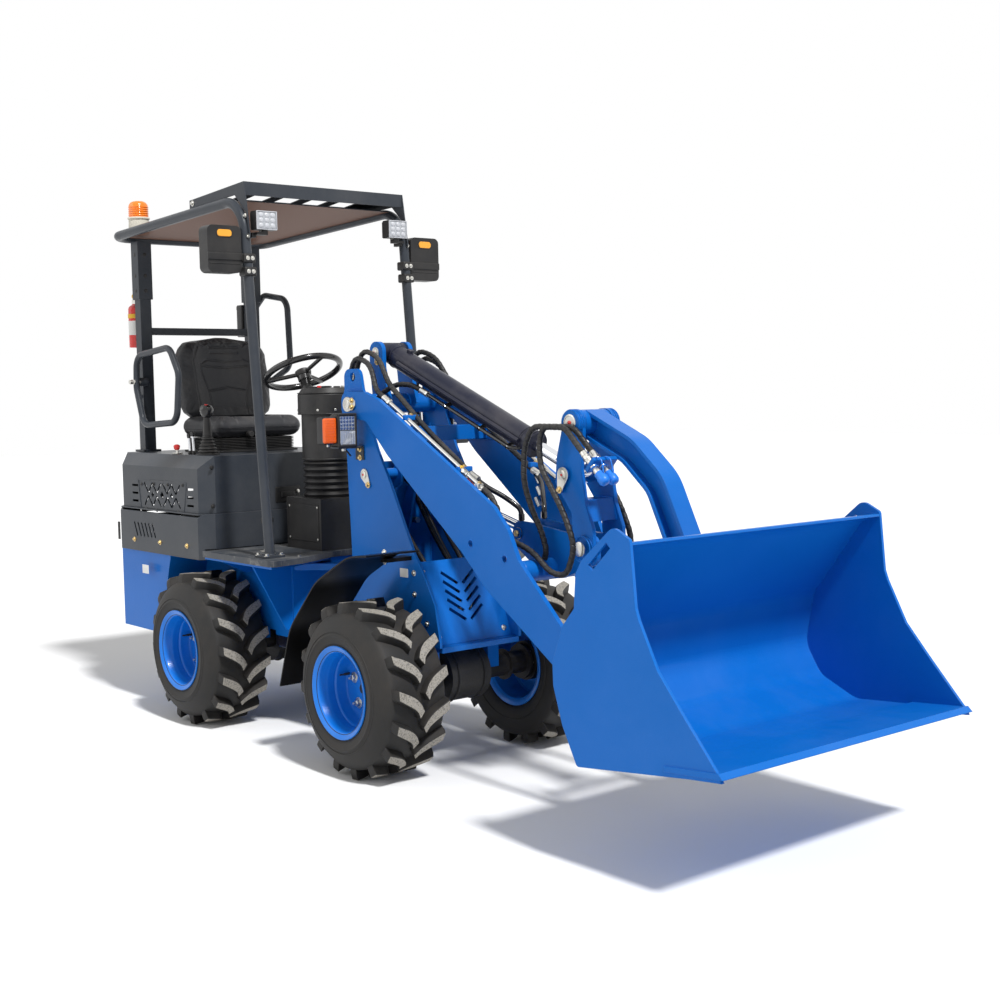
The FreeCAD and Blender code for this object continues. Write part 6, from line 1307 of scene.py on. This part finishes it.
# --------------------------------------------------------------------------------------------
# Tower and headlamps
# --------------------------------------------------------------------------------------------
class LOADER_OT_headlamps(bpy.types.Operator):
    """Headlamps on brackets: a square bezel, upper lenses, lower reflector and indicator"""
    bl_idname = "loader.headlamps"
    bl_label = "Headlamps"

    def execute(self, context):
        form = Form("moulded_black", "led_field", "lamp_glass", "zinc", "charcoal_satin",
                    "brass_zinc", "indicator_lens")
        for side in SIDES:
            out = (0, side, 0)
            across, height = side * 280, 1285
            form.box("moulded_black", (-329, across, height), (30, 43, 65), 13, steps=5)
            for rise in SIDES:
                form.box("moulded_black", (-297, across, height + rise * 61), (6, 45, 6), 5)
                form.box("moulded_black", (-297, across + rise * 39.5, height), (6, 5.5, 67), 5)
            form.box("lamp_glass", (-297.5, across, height + 28), (2.5, 36, 28), 2)
            form.box("lamp_glass", (-296, across, height - 29), (2.5, 36, 27), 2)
            for row in range(4):
                for column in range(-2, 3):
                    form.turned([(0, 5.6), (0.8, 5.4), (1.8, 3.4), (2.2, 1)], (-295.2,
                                                                               across + column *
                                                                               13.6,
                                                                               height + 7 + row *
                                                                               13.6), AHEAD,
                                "led_field", 16)
            for rib in range(7):
                form.rod((-293.4, across - 33 + rib * 11, height - 54), (-293.4,
                                                                         across - 33 + rib * 11,
                                                                         height - 5), 1.2,
                         "lamp_glass", 8, 0.4)
            form.box("moulded_black", (-333, side * 352, height), (27, 31, 54), 9)
            form.box("indicator_lens", (-312, side * 353, height), (9, 30, 50), 8, steps=5)
            for rib in range(9):
                form.rod((-303.6, side * 328, height - 40 + rib * 10), (-303.6, side * 378,
                                                                        height - 40 + rib * 10),
                         1.3, "indicator_lens", 8, 0.4)
            form.rod((-326, side * 352, 1222), (-326, side * 352, 1236), 6, "zinc", 6)
            form.box("charcoal_satin", (-326, side * 263, 1217.6), (28, 61, 4.6), 3)
            form.rod((-326, side * 280, 1203), (-326, side * 280, 1222), 9, "zinc", 6)
            form.box("charcoal_satin", (-326, side * 203.2, 1191.5), (28, 2.7, 26), 2)
            for rise in (1174, 1208):
                form.bolt((-322, side * 205.6, rise), out, 12, "brass_zinc")
            form.tube(smooth_line(((-361, across, 1262), (-372, side * 262, 1240), (-376,
                                                                                    side * 236,
                                                                                    1206), (-372,
                                                                                            side *
                                                                                            216,
                                                                                            1180)),
                                  18), 3.5, "moulded_black", 10)
        form.piece("headlamp_pair", "front", "black_plastic", ("headlamps",))
        return {"FINISHED"}


def keeper(form, side, pin, tail, face, radius, small=11, thick=5):
    """A pin's head under an oval keeper plate whose narrow end is bolted down."""
    pin, tail = np.asarray(pin, float), np.asarray(tail, float)
    form.add(slab(oval(pin, radius, tail, small), face - 0.5, face + thick, across=(0, side, 0),
                  bevel=1.4), "zinc")
    form.turned([(0, radius * 0.62), (3, radius * 0.62), (4, radius * 0.5)], (pin[0],
                                                                              side * (face +
                                                                                      thick),
                                                                              pin[1]), (0, side,
                                                                                        0), "zinc",
                24)
    form.turned([(3, 5), (4.6, 5), (5.6, 3)], (pin[0], side * (face + thick), pin[1]), (0, side,
                                                                                        0),
                "red_gloss", 12)
    form.bolt((tail[0], side * (face + thick), tail[1]), (0, side, 0), 13, "brass_zinc")


class LOADER_OT_tower(bpy.types.Operator):
    """Tower fittings: keeper plates, pins, weld beads, front cover bolts and blank plates"""
    bl_idname = "loader.tower"
    bl_label = "Tower Fittings"

    def execute(self, context):
        form = Form("zinc", "blue_gloss", "brass_zinc", "red_gloss", "plain_plate")
        for side in SIDES:
            out = (0, side, 0)
            form.add(slab(oval((-370, 1385), 30, (-334, 1387), 21), 224.7, 230.4, across=out,
                          bevel=1.4), "zinc")
            form.turned([(0, 19), (3, 19), (4, 16)], (-370, side * 230, 1385), out, "zinc", 28)
            for height in (1374, 1400):
                form.bolt((-334, side * 230.2, height), out, 12, "brass_zinc")
            keeper(form, side, (-300, 1107), (-272, 1068), 200.2, 24)
            keeper(form, side, (-380, 1590), (-366, 1552), 76.2, 22, 9)
            for along, low, high in ((-390, 640, 1120), (-378, 1180, 1300)):
                form.bead((along, side * 187, low), (along, side * 187, high), 3.2, "blue_gloss")
            for along, height in ((12, 742), (86, 556), (12, 660)):
                form.bolt((along + (780 - height) * 0.02, side * 200, height), out, 12, "zinc")
            form.add(slab(rounded_plan(26, 17, 3) + (-52, 738), 199.5, 201.2, across=out,
                          bevel=0.5), "plain_plate")
            form.ring((-370, side * 200, 1385), out, 41, 3.4, "blue_gloss")
            form.rod((-380, side * 56, 1590), (-380, side * 60, 1590), 30, "blue_gloss", 32)
        normal = np.array((310, 0, 120)) / math.hypot(310, 120)
        for across in (-160, 160):
            for share in (0.12, 0.9):
                spot = np.array((0, across, 780)) + share * np.array((120, 0, -310))
                form.bolt(spot, normal, 12, "zinc")
        form.piece("tower_pins", "front", "bright_steel")
        return {"FINISHED"}


class LOADER_OT_fenders(bpy.types.Operator):
    """Stay bolts of the front fenders and the castings of both axles"""
    bl_idname = "loader.fenders"
    bl_label = "Fender Bolts and Axles"

    def execute(self, context):
        form = Form("zinc")
        for side in SIDES:
            for height in (788, 824):
                form.bolt((-60, side * 284, height), (0, side, 0), 12)
        for middle, body in ((0, "front"), (-WHEELBASE, "rear")):
            casting = Form("cast_black", "zinc")
            for across in SIDES:
                casting.ring((middle, across * 62, AXLE_HEIGHT), ACROSS, 106, 5, "cast_black", 48)
                for number in range(10):
                    turn = number * np.pi / 5 + 0.3
                    if math.sin(turn) * 96 < 70:
                        spot = (middle + 94 * math.cos(turn), across * 72,
                                AXLE_HEIGHT + 94 * math.sin(turn))
                        casting.bolt(spot, (0, across, 0), 12, "cast_black", False)
                casting.turned([(0, 62), (6, 62), (8, 58)], (middle, across * 240, AXLE_HEIGHT),
                               (0, across, 0), "cast_black", 36)
                casting.turned([(0, 70), (14, 70), (16, 66)], (middle, across * 330, AXLE_HEIGHT),
                               (0, across, 0), "cast_black", 36)
                for number in range(8):
                    turn = number * np.pi / 4
                    casting.bolt((middle + 60 * math.cos(turn), across * 346,
                                  AXLE_HEIGHT + 60 * math.sin(turn)), (0, across, 0), 10, "zinc",
                                 False)
            casting.piece(f"{body}_axle_castings", body, "iron_black")
        form.piece("fender_bolts", "front", "black_plastic")
        return {"FINISHED"}


# --------------------------------------------------------------------------------------------
# Hoses, pipes and cylinders
# --------------------------------------------------------------------------------------------
BOOM_PIVOT, LIFT_EYE, CROSS_TUBE = (-370, 1385), (465, 913), (640, 800)
LEVER_PIVOT, LINK_TOP, COUPLING = (830, 884), (790, 1315), (940, 1178)
LIFT_BASE, TILT_BASE, TILT_EYE = (-300, 1107), (-380, 1590), (740, 1135)


def route(side, *stops):
    """A hose's stops, each measured from a joint as forward, sideways and up."""
    return np.array([(joint[0] + along, side * across, joint[1] + up)
                     for joint, along, across, up in stops], float)


def bent_line(points, share=0.45, steps=9):
    """Straight runs joined by curves: each corner becomes a parabola between its two runs.

    A curve starts and ends at a share of the shorter run away from its corner.
    """
    points = np.asarray(points, float)
    runs = np.diff(points, axis=0)
    long = np.linalg.norm(runs, axis=1)
    heading = runs / long[:, None]
    reach = share * np.minimum(long[:-1], long[1:])
    corner = points[1:-1]
    before, after = corner - reach[:, None] * heading[:-1], corner + reach[:, None] * heading[1:]
    t = np.linspace(0, 1, steps)[None, :, None]
    curves = ((1 - t) ** 2 * before[:, None] + 2 * t * (1 - t) * corner[:, None]
              + t ** 2 * after[:, None])
    return np.vstack((points[:1], curves.reshape(-1, 3), points[-1:]))


def evenly(path, step):
    """The same line with its points one step apart."""
    gone = np.concatenate(((0,), np.cumsum(np.linalg.norm(np.diff(path, axis=0), axis=1))))
    spot = np.linspace(0, gone[-1], max(int(gone[-1] / step), 4) + 1)
    return np.stack([np.interp(spot, gone, path[:, k]) for k in range(3)], 1)


def wrapped_hose(form, points, radius=11):
    """A hose in a spiral sleeve: its radius rises in a ridge that winds round along it.

    Radius = radius * (0.95 + 0.05 * cos(2 pi * distance / pitch - angle)).
    """
    path = evenly(bent_line(points), 5)
    count, pitch = 14, 24
    ring = along_path(path, 1.0, count)
    gone = np.concatenate(((0,), np.cumsum(np.linalg.norm(np.diff(path, axis=0), axis=1))))
    angle = np.arange(count) * 2 * np.pi / count
    swell = 0.95 + 0.05 * np.cos(2 * np.pi * gone[:, None] / pitch - angle[None])
    ring = path[:, None] + (ring - path[:, None]) * radius * swell[..., None]
    uv = np.stack(np.broadcast_arrays(np.arange(count + 1)[None] / count,
                                      gone[:, None] / pitch), -1)
    form.add(np.concatenate((ring, ring[:, :1]), 1), "hose_wrap", around=False, uv=uv)


def crimp(form, place, axis, radius=11, long=36):
    """A crimped sleeve with four grooves and its hexagon nut, ending at place."""
    sleeve = [(-long, radius + 0.2), (-long + 1, radius + 2.2)]
    for groove_at in np.linspace(-long + 8, -6, 4):
        sleeve += [(groove_at - 1.6, radius + 2.2), (groove_at - 0.8, radius + 1.2),
                   (groove_at + 0.8, radius + 1.2), (groove_at + 1.6, radius + 2.2)]
    sleeve += [(-1, radius + 2.2), (0, radius - 1)]
    form.turned(sleeve, place, axis, "zinc", 24)
    form.turned([(-0.5, radius + 1), (0, radius + 3), (10, radius + 3), (11.5, radius + 1.4)],
                place, axis, "zinc", 6, True)


# Runs of hoses that cross a joint: the first body, the second body, and a start and an end point
# given as forward and up. Only the names are read; such a run is baked in place, on neither body.
HOSE_JOINTS = {"tower_hose_run": ("front", "boom", (-420, 1480), (-205, 1536)),
               "lever_hose_loop": ("boom", "lever", (690, 920), (864, 1152)),
               "coupling_hose_run": ("lever", "link", (760, 1300), (860, 1240)),
               "tilt_feed_hose": ("front", "tilt_barrel", (-330, 1420), (-180, 1452))}


def bend_between(made):
    """Bakes a run of hoses that crosses a joint into its mesh where it lies; it is not blended
    between the joint's two bodies.
    """
    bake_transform(made)


class LOADER_OT_hoses(bpy.types.Operator):
    """Sleeved hoses over the tower, along the boom, round the lever and out to the couplings"""
    bl_idname = "loader.hoses"
    bl_label = "Hoses"

    def execute(self, context):
        tower = Form("hose_wrap")
        boom = Form("hose_wrap", "zinc", "blue_gloss", "brass_zinc", "gloss_black",
                    "yellow_plastic")
        loop = Form("hose_wrap")
        tail = Form("hose_wrap")
        for side in SIDES:
            wrapped_hose(tower, route(side, (BOOM_PIVOT, -8, 168, -335), (BOOM_PIVOT, -6, 168,
                                                                          -170), (BOOM_PIVOT, -70,
                                                                                  168, -75),
                                      (BOOM_PIVOT, -70, 168, 95), (BOOM_PIVOT, -28, 168, 190),
                                      (BOOM_PIVOT, 85, 172, 160), (BOOM_PIVOT, 150, 190, 52),
                                      (BOOM_PIVOT, 205, 190, 22)))
            wrapped_hose(tower, route(side, (BOOM_PIVOT, -8, 135, -335), (BOOM_PIVOT, -6, 135,
                                                                          -170), (BOOM_PIVOT, -78,
                                                                                  135, -65),
                                      (BOOM_PIVOT, -76, 135, 115), (BOOM_PIVOT, -20, 135, 218),
                                      (BOOM_PIVOT, 100, 142, 186), (BOOM_PIVOT, 176, 150, 80),
                                      (BOOM_PIVOT, 230, 150, 40)))
            down = np.array((150, 0, -83)) / math.hypot(150, 83)
            start = route(side, (BOOM_PIVOT, 205, 190, 22))[0]
            crimp(boom, start + down * 30, down)
            pipe = route(side, (BOOM_PIVOT, 205.3, 190, 21.8), (BOOM_PIVOT, 345, 190, -54),
                         (BOOM_PIVOT, 800, 190, -306))
            boom.tube(evenly(bent_line(pipe), 20), 8, "zinc")
            crimp(boom, start + down * 560, -down, 9, long=22)
            boom.turned([(0, 12), (9, 12), (10, 10)], start + down * 530, down,
                        "yellow_plastic" if side < 0 else "zinc", 20)
            wrapped_hose(boom, route(side, (BOOM_PIVOT, 230.3, 150, 39.8), (BOOM_PIVOT, 412, 150,
                                                                            -95), (LIFT_EYE, -151,
                                                                                   150, 212)))
            lean = np.array((288, 0, -133)) / math.hypot(288, 133)
            bend = route(side, (LIFT_EYE, -151, 150, 212))[0]
            crimp(boom, bend + lean * 30, lean)
            inward = evenly(bent_line(route(
                side, (LIFT_EYE, -151, 150, 212), (LIFT_EYE, -92, 138, 172),
                (LIFT_EYE, -34, 92, 132), (LIFT_EYE, 12, 56, 88), (LIFT_EYE, 12, 54, 45.6))), 6)
            boom.tube(inward, 9.5, "gloss_black")
            boom.rod((477, side * 54, 960), (477, side * 54, 984), 12, "gloss_black", 6)
            for along, height, near in ((-20, 1333, 140), (300, 1146, 140), (410, 1090, 180)):
                wide = (206.7 - near) / 2
                boom.box("zinc" if near == 180 else "blue_gloss", (along, side * (near + wide),
                                                                   height), (9, wide, 10), 3)
                boom.bolt((along, side * (near + wide), height + 9.5), UP, 10, "brass_zinc")
            wrapped_hose(loop, route(side, (BOOM_PIVOT, 800.3, 190, -306.2), (BOOM_PIVOT, 846, 190,
                                                                              -331.5), (CROSS_TUBE,
                                                                                        -92, 178,
                                                                                        106),
                                     (CROSS_TUBE, 4, 154, 72), (CROSS_TUBE, 86, 140, -2),
                                     (CROSS_TUBE, 165, 138, -6), (LEVER_PIVOT, 20, 138, 12),
                                     (LEVER_PIVOT, -36, 138, 130), (LINK_TOP, -112, 138, -150),
                                     (LINK_TOP, -114, 138, -60), (LINK_TOP, -90, 138, -13),
                                     (LINK_TOP, -50, 138, -13)))
            wrapped_hose(loop, route(side, (CROSS_TUBE, 12, 100, 38.4), (CROSS_TUBE, 22.5, 102,
                                                                         71), (CROSS_TUBE, 8, 108,
                                                                               130), (CROSS_TUBE,
                                                                                      -38, 110,
                                                                                      204),
                                     (CROSS_TUBE, -82, 112, 304), (CROSS_TUBE, -74, 112, 430),
                                     (CROSS_TUBE, -30, 114, 502), (LINK_TOP, -60, 114, -13)))
            wrapped_hose(tail, route(side, (LINK_TOP, -49.7, 138, -13), (LINK_TOP, 16, 138, -13),
                                     (COUPLING, -74.6, 138, 67.1), (COUPLING, -44.8, 138, 40.3)))
            wrapped_hose(tail, route(side, (LINK_TOP, -59.7, 114, -13), (LINK_TOP, 36, 114, -13),
                                     (COUPLING, -72, 97, 64.8), (COUPLING, -45.1, 96, 40.6)))
        for form, name, node_name, body in (
                (tower, "tower_hose_run", "tower_hoses", None),
                (boom, "boom_pipe_run", "boom_lines", "boom"),
                (loop, "lever_hose_loop", "loop_hoses", None),
                (tail, "coupling_hose_run", "tail_hoses", None)):
            made = form.piece(name, body, "hose_black", (node_name,), wrapped=True)
            if name in HOSE_JOINTS:
                bend_between(made)
        # a bundle of plain hoses inside the tower
        bundle = Form("gloss_black", "zinc")
        for across, drop in ((-150, 0), (-122, 24), (-94, 48), (-66, 10), (70, 20), (98, 44),
                             (130, 4)):
            bundle.tube(evenly(bent_line([(-368, across, 1090 - drop), (-300, across, 985 - drop),
                                          (-190, across * 0.96, 850 - drop), (-70, across * 0.9,
                                                                              735 - drop), (-40,
                                                                                            across
                                                                                            * 0.9,
                                                                                            560)]),
                               12), 10.5, "gloss_black")
            bundle.rod((-40, across * 0.9, 556), (-40, across * 0.9, 600), 13, "zinc", 20)
        for across, height in ((-120, 905), (-92, 905), (-64, 905), (86, 905)):
            bundle.rod((-392, across, height), (-340, across, height), 13, "zinc", 6)
        bundle.piece("tower_hose_bundle", "front", "hose_black")
        return {"FINISHED"}


def on_line(base, eye, gone, across=0.0, below=0.0):
    """A place beside a cylinder: a distance along its axis, sideways and below it."""
    base, eye = np.asarray(base, float), np.asarray(eye, float)
    axis = (eye - base) / np.linalg.norm(eye - base)
    under = np.array((axis[1], -axis[0]))
    spot = base + gone * axis + below * under
    return np.array((spot[0], across, spot[1]))


def by_tilt(gone, across=0.0, below=0.0):
    return on_line(TILT_BASE, TILT_EYE, gone, across, below)


def by_lift(gone, across=0.0, below=0.0):
    return on_line(LIFT_BASE, LIFT_EYE, gone, across, below)


class LOADER_OT_cylinders(bpy.types.Operator):
    """Cylinder trim: glands, ports, the pipe along the tilt barrel and its feed hose"""
    bl_idname = "loader.cylinders"
    bl_label = "Cylinder Trim"

    def execute(self, context):
        tilt = Form("barrel_paint", "zinc", "gloss_black")
        lift = Form("barrel_paint", "gloss_black", "red_gloss")
        along = by_tilt(1) - by_tilt(0)
        for gone in (905, 946):
            tilt.ring(by_tilt(gone), along, 50.5, 1.5, "barrel_paint", 48)
        tilt.ring(by_tilt(52), along, 44, 4, "barrel_paint", 40)
        tilt.tube(bent_line([by_tilt(352, -50, 44), by_tilt(872, -50, 44), by_tilt(900, -36, 34),
                             by_tilt(906, -28, 28)]), 7.5, "gloss_black")
        for gone in (470, 690, 860):
            tilt.rod(by_tilt(gone, -22, 30), by_tilt(gone, -56, 48), 9, "gloss_black", 6)
        crimp(tilt, by_tilt(338, -50, 44), along, 10)
        tilt.rod(by_tilt(120, 0, -40), by_tilt(120, 0, -56), 14, "barrel_paint", 24)
        tilt.piece("tilt_barrel_trim", "tilt_barrel", "cylinder_black")
        feed = Form("hose_wrap")
        wrapped_hose(feed, [(-392, -112, 1290), (-380, -112, 1350), (-330, -100, 1420), (-250, -72,
                                                                                         1462),
                            (-180, -50, 1458), tuple(by_tilt(305, -50, 44))])
        made = feed.piece("tilt_feed_hose", None, "hose_black", wrapped=True)
        bend_between(made)
        axis = by_lift(1) - by_lift(0)
        lift.ring(by_lift(48), axis, 37, 4, "barrel_paint", 40)
        lift.ring(by_lift(534), axis, 43.5, 1.5, "barrel_paint", 48)
        lift.rod(by_lift(500, 0, -34), by_lift(500, 0, -60), 13, "gloss_black", 24)
        lift.rod(by_lift(478, 0, -56), by_lift(520, 0, -56), 12, "gloss_black", 6)
        lift.tube(bent_line([by_lift(480, 0, -56), by_lift(300, 16, -56), by_lift(130, 20, -52),
                             by_lift(96, 10, -38)]), 8, "gloss_black")
        lift.add(slab(np.array(((95, 1112), (113, 1118), (160, 1030), (142, 1024))), -6, 6,
                      across=ACROSS, bevel=2), "red_gloss")
        lift.piece("lift_barrel_trim", "lift_barrel", "cylinder_black")
        return {"FINISHED"}


# --------------------------------------------------------------------------------------------
# Boom, lever, link and bucket
# --------------------------------------------------------------------------------------------
class LOADER_OT_boom(bpy.types.Operator):
    """Boom trim: weld beads, rings round its holes, pin heads and silver fittings"""
    bl_idname = "loader.boom"
    bl_label = "Boom Trim"

    def execute(self, context):
        form = Form("blue_gloss", "zinc", "brass_zinc", "red_gloss")
        for side in SIDES:
            out = (0, side, 0)
            form.ring((640, side * 206, 800), ACROSS, 39, 4, "blue_gloss")
            for hole in ((392, 884), (581, 843)):
                form.ring((hole[0], side * 225, hole[1]), ACROSS, 13.6, 1.4, "blue_gloss", 28)
            form.turned([(0, 27), (4, 27), (5.5, 25)], (1100, side * 225, 430), out, "zinc", 36)
            form.turned([(5, 5), (6.5, 5), (7.5, 3)], (1100, side * 225, 430), out, "red_gloss",
                        14)
            form.bead((-100, side * 205, 1238), (12, side * 205, 1238), 3, "blue_gloss")
            for bit in ((287, 1090), (294, 1044), (284, 1002)):
                form.rod((bit[0] - 10, side * 194, bit[1] + 16), (bit[0] + 10, side * 194,
                                                                  bit[1] - 16), 10, "zinc", 6)
            form.bolt((465, side * 60.2, 913), out, 22, "brass_zinc")
        form.piece("boom_trim", "boom", "blue_paint")
        return {"FINISHED"}


class LOADER_OT_lever(bpy.types.Operator):
    """Lever trim: ringed bosses, bright pin ends with keeper plates"""
    bl_idname = "loader.lever"
    bl_label = "Lever Trim"

    def execute(self, context):
        form = Form("blue_gloss", "zinc", "brass_zinc", "red_gloss")
        for side in SIDES:
            out = (0, side, 0)
            for gone in (66, 75, 84, 93):
                form.ring((790, side * gone, 1315), out, 44.5, 2.2, "blue_gloss", 48)
            form.turned([(0, 30), (3, 30), (5, 27), (5, 24), (3.5, 23)], (790, side * 97.6, 1315),
                        out, "zinc", 36)
            form.turned([(2, 8), (5.5, 8), (7, 5)], (790, side * 97.6, 1315), out, "red_gloss", 14)
            form.rod((724, side * 77.5, 1083), (724, side * 87.4, 1083), 11, "blue_gloss", 20)
            keeper(form, side, (740, 1135), (724, 1083), 87.2, 27, 12)
            form.turned([(0, 26), (4, 26), (5.5, 23)], (830, side * 97.8, 884), out, "zinc", 36)
            for gone in (80, 92):
                form.ring((830, side * gone, 884), out, 44.2, 2, "blue_gloss", 48)
        form.piece("lever_trim", "lever", "blue_paint")
        link_form = Form("blue_gloss", "zinc", "blue_plastic")
        lean = math.radians(42)
        axis = np.array((math.cos(lean), 0, -math.sin(lean)))
        for side in SIDES:
            for across in (96, 138):
                middle = np.array((940, side * across, 1178.0))
                start = middle - axis * 60
                link_form.turned([(0, 11.5), (14, 12.6), (16, 12.6), (17, 11), (21, 11),
                                  (22, 12.8), (38, 12.8), (40, 11.4), (52, 11.4), (54, 12.9),
                                  (66, 12.9), (68, 11.5), (84, 11.5), (86, 12.9), (104, 12.9),
                                  (108, 12)], start, axis, "zinc", 28)
                link_form.turned([(24, 15), (34, 15)], start, axis, "zinc", 6, True)
                cap = start + axis * 104
                link_form.turned([(0, 14), (2, 17), (18, 17), (22, 19.5), (38, 19.5), (46, 16),
                                  (50, 9)], cap - axis * 4, axis, "blue_plastic", 32)
                link_form.ring(start + axis * 76, axis, 13.5, 2.2, "blue_plastic", 28)
                tether = smooth_line((start + axis * 77 + (2, 0, 13),
                                      start + axis * 74 + (6, 0, 34),
                                      start + axis * 96 + (16, 0, 42),
                                      start + axis * 120 + (10, 0, 17)), 18)
                link_form.tube(tether, 2.2, "blue_plastic", 8)
            link_form.box("blue_gloss", (940, side * 96, 1178), (29, 55, 8), 3,
                          turn=Matrix.Rotation(math.radians(42 - 90), 3, "Y"))
        link_form.piece("coupling_set", "link", "bright_steel", ("link_couplings",))
        plain = Form("zinc")
        for side in SIDES:
            plain.turned([(0, 20), (3, 20), (4.5, 17)], (1235, side * 60.8, 900), (0, side, 0),
                         "zinc", 32)
        plain.piece("link_pins", "link", "bright_steel")
        return {"FINISHED"}


class LOADER_OT_bucket(bpy.types.Operator):
    """Weld beads round the coupler's two tubes"""
    bl_idname = "loader.bucket"
    bl_label = "Bucket Trim"

    def execute(self, context):
        form = Form("blue_gloss")
        for side in SIDES:
            for height in (690, 520):
                form.ring((1188, side * 188, height), ACROSS, 29, 3, "blue_gloss", 32)
        form.piece("coupler_welds", "bucket", "blue_paint")
        return {"FINISHED"}


# --------------------------------------------------------------------------------------------
# Panel and run
# --------------------------------------------------------------------------------------------
class LOADER_PT_panel(bpy.types.Panel):
    """Lists the loader's operators and settings"""
    bl_idname = "LOADER_PT_panel"
    bl_label = "Loader"
    bl_space_type = "VIEW_3D"
    bl_region_type = "UI"
    bl_category = "Loader"

    def draw(self, context):
        for group in GROUPS:
            settings = getattr(context.scene, group)
            for name in settings.bl_rna.properties.keys():
                if name not in ("rna_type", "name"):
                    self.layout.prop(settings, name)
        for operator in OPERATORS:
            self.layout.operator(operator.bl_idname)


GROUPS = {"loader_paint": LoaderPaint, "loader_wheels": LoaderWheels, "loader_seat": LoaderSeat,
          "loader_stage": LoaderStage}
OPERATORS = (LOADER_OT_paint, LOADER_OT_tyres, LOADER_OT_rims, LOADER_OT_seat, LOADER_OT_canopy,
             LOADER_OT_work_lamps, LOADER_OT_mirrors, LOADER_OT_beacon, LOADER_OT_extinguisher,
             LOADER_OT_covers, LOADER_OT_console, LOADER_OT_levers, LOADER_OT_headlamps,
             LOADER_OT_tower, LOADER_OT_fenders, LOADER_OT_hoses, LOADER_OT_cylinders,
             LOADER_OT_boom, LOADER_OT_lever, LOADER_OT_bucket, LOADER_OT_stage)


def register():
    for kind in (*GROUPS.values(), *OPERATORS, LOADER_PT_panel):
        bpy.utils.register_class(kind)
    for name, kind in GROUPS.items():
        setattr(bpy.types.Scene, name, PointerProperty(type=kind))


def unregister():
    for name in GROUPS:
        delattr(bpy.types.Scene, name)
    for kind in reversed((*GROUPS.values(), *OPERATORS, LOADER_PT_panel)):
        bpy.utils.unregister_class(kind)


def main():
    register()
    for operator in OPERATORS:
        getattr(bpy.ops.loader, operator.bl_idname.split(".")[1])()


if __name__ == "__main__":
    main()
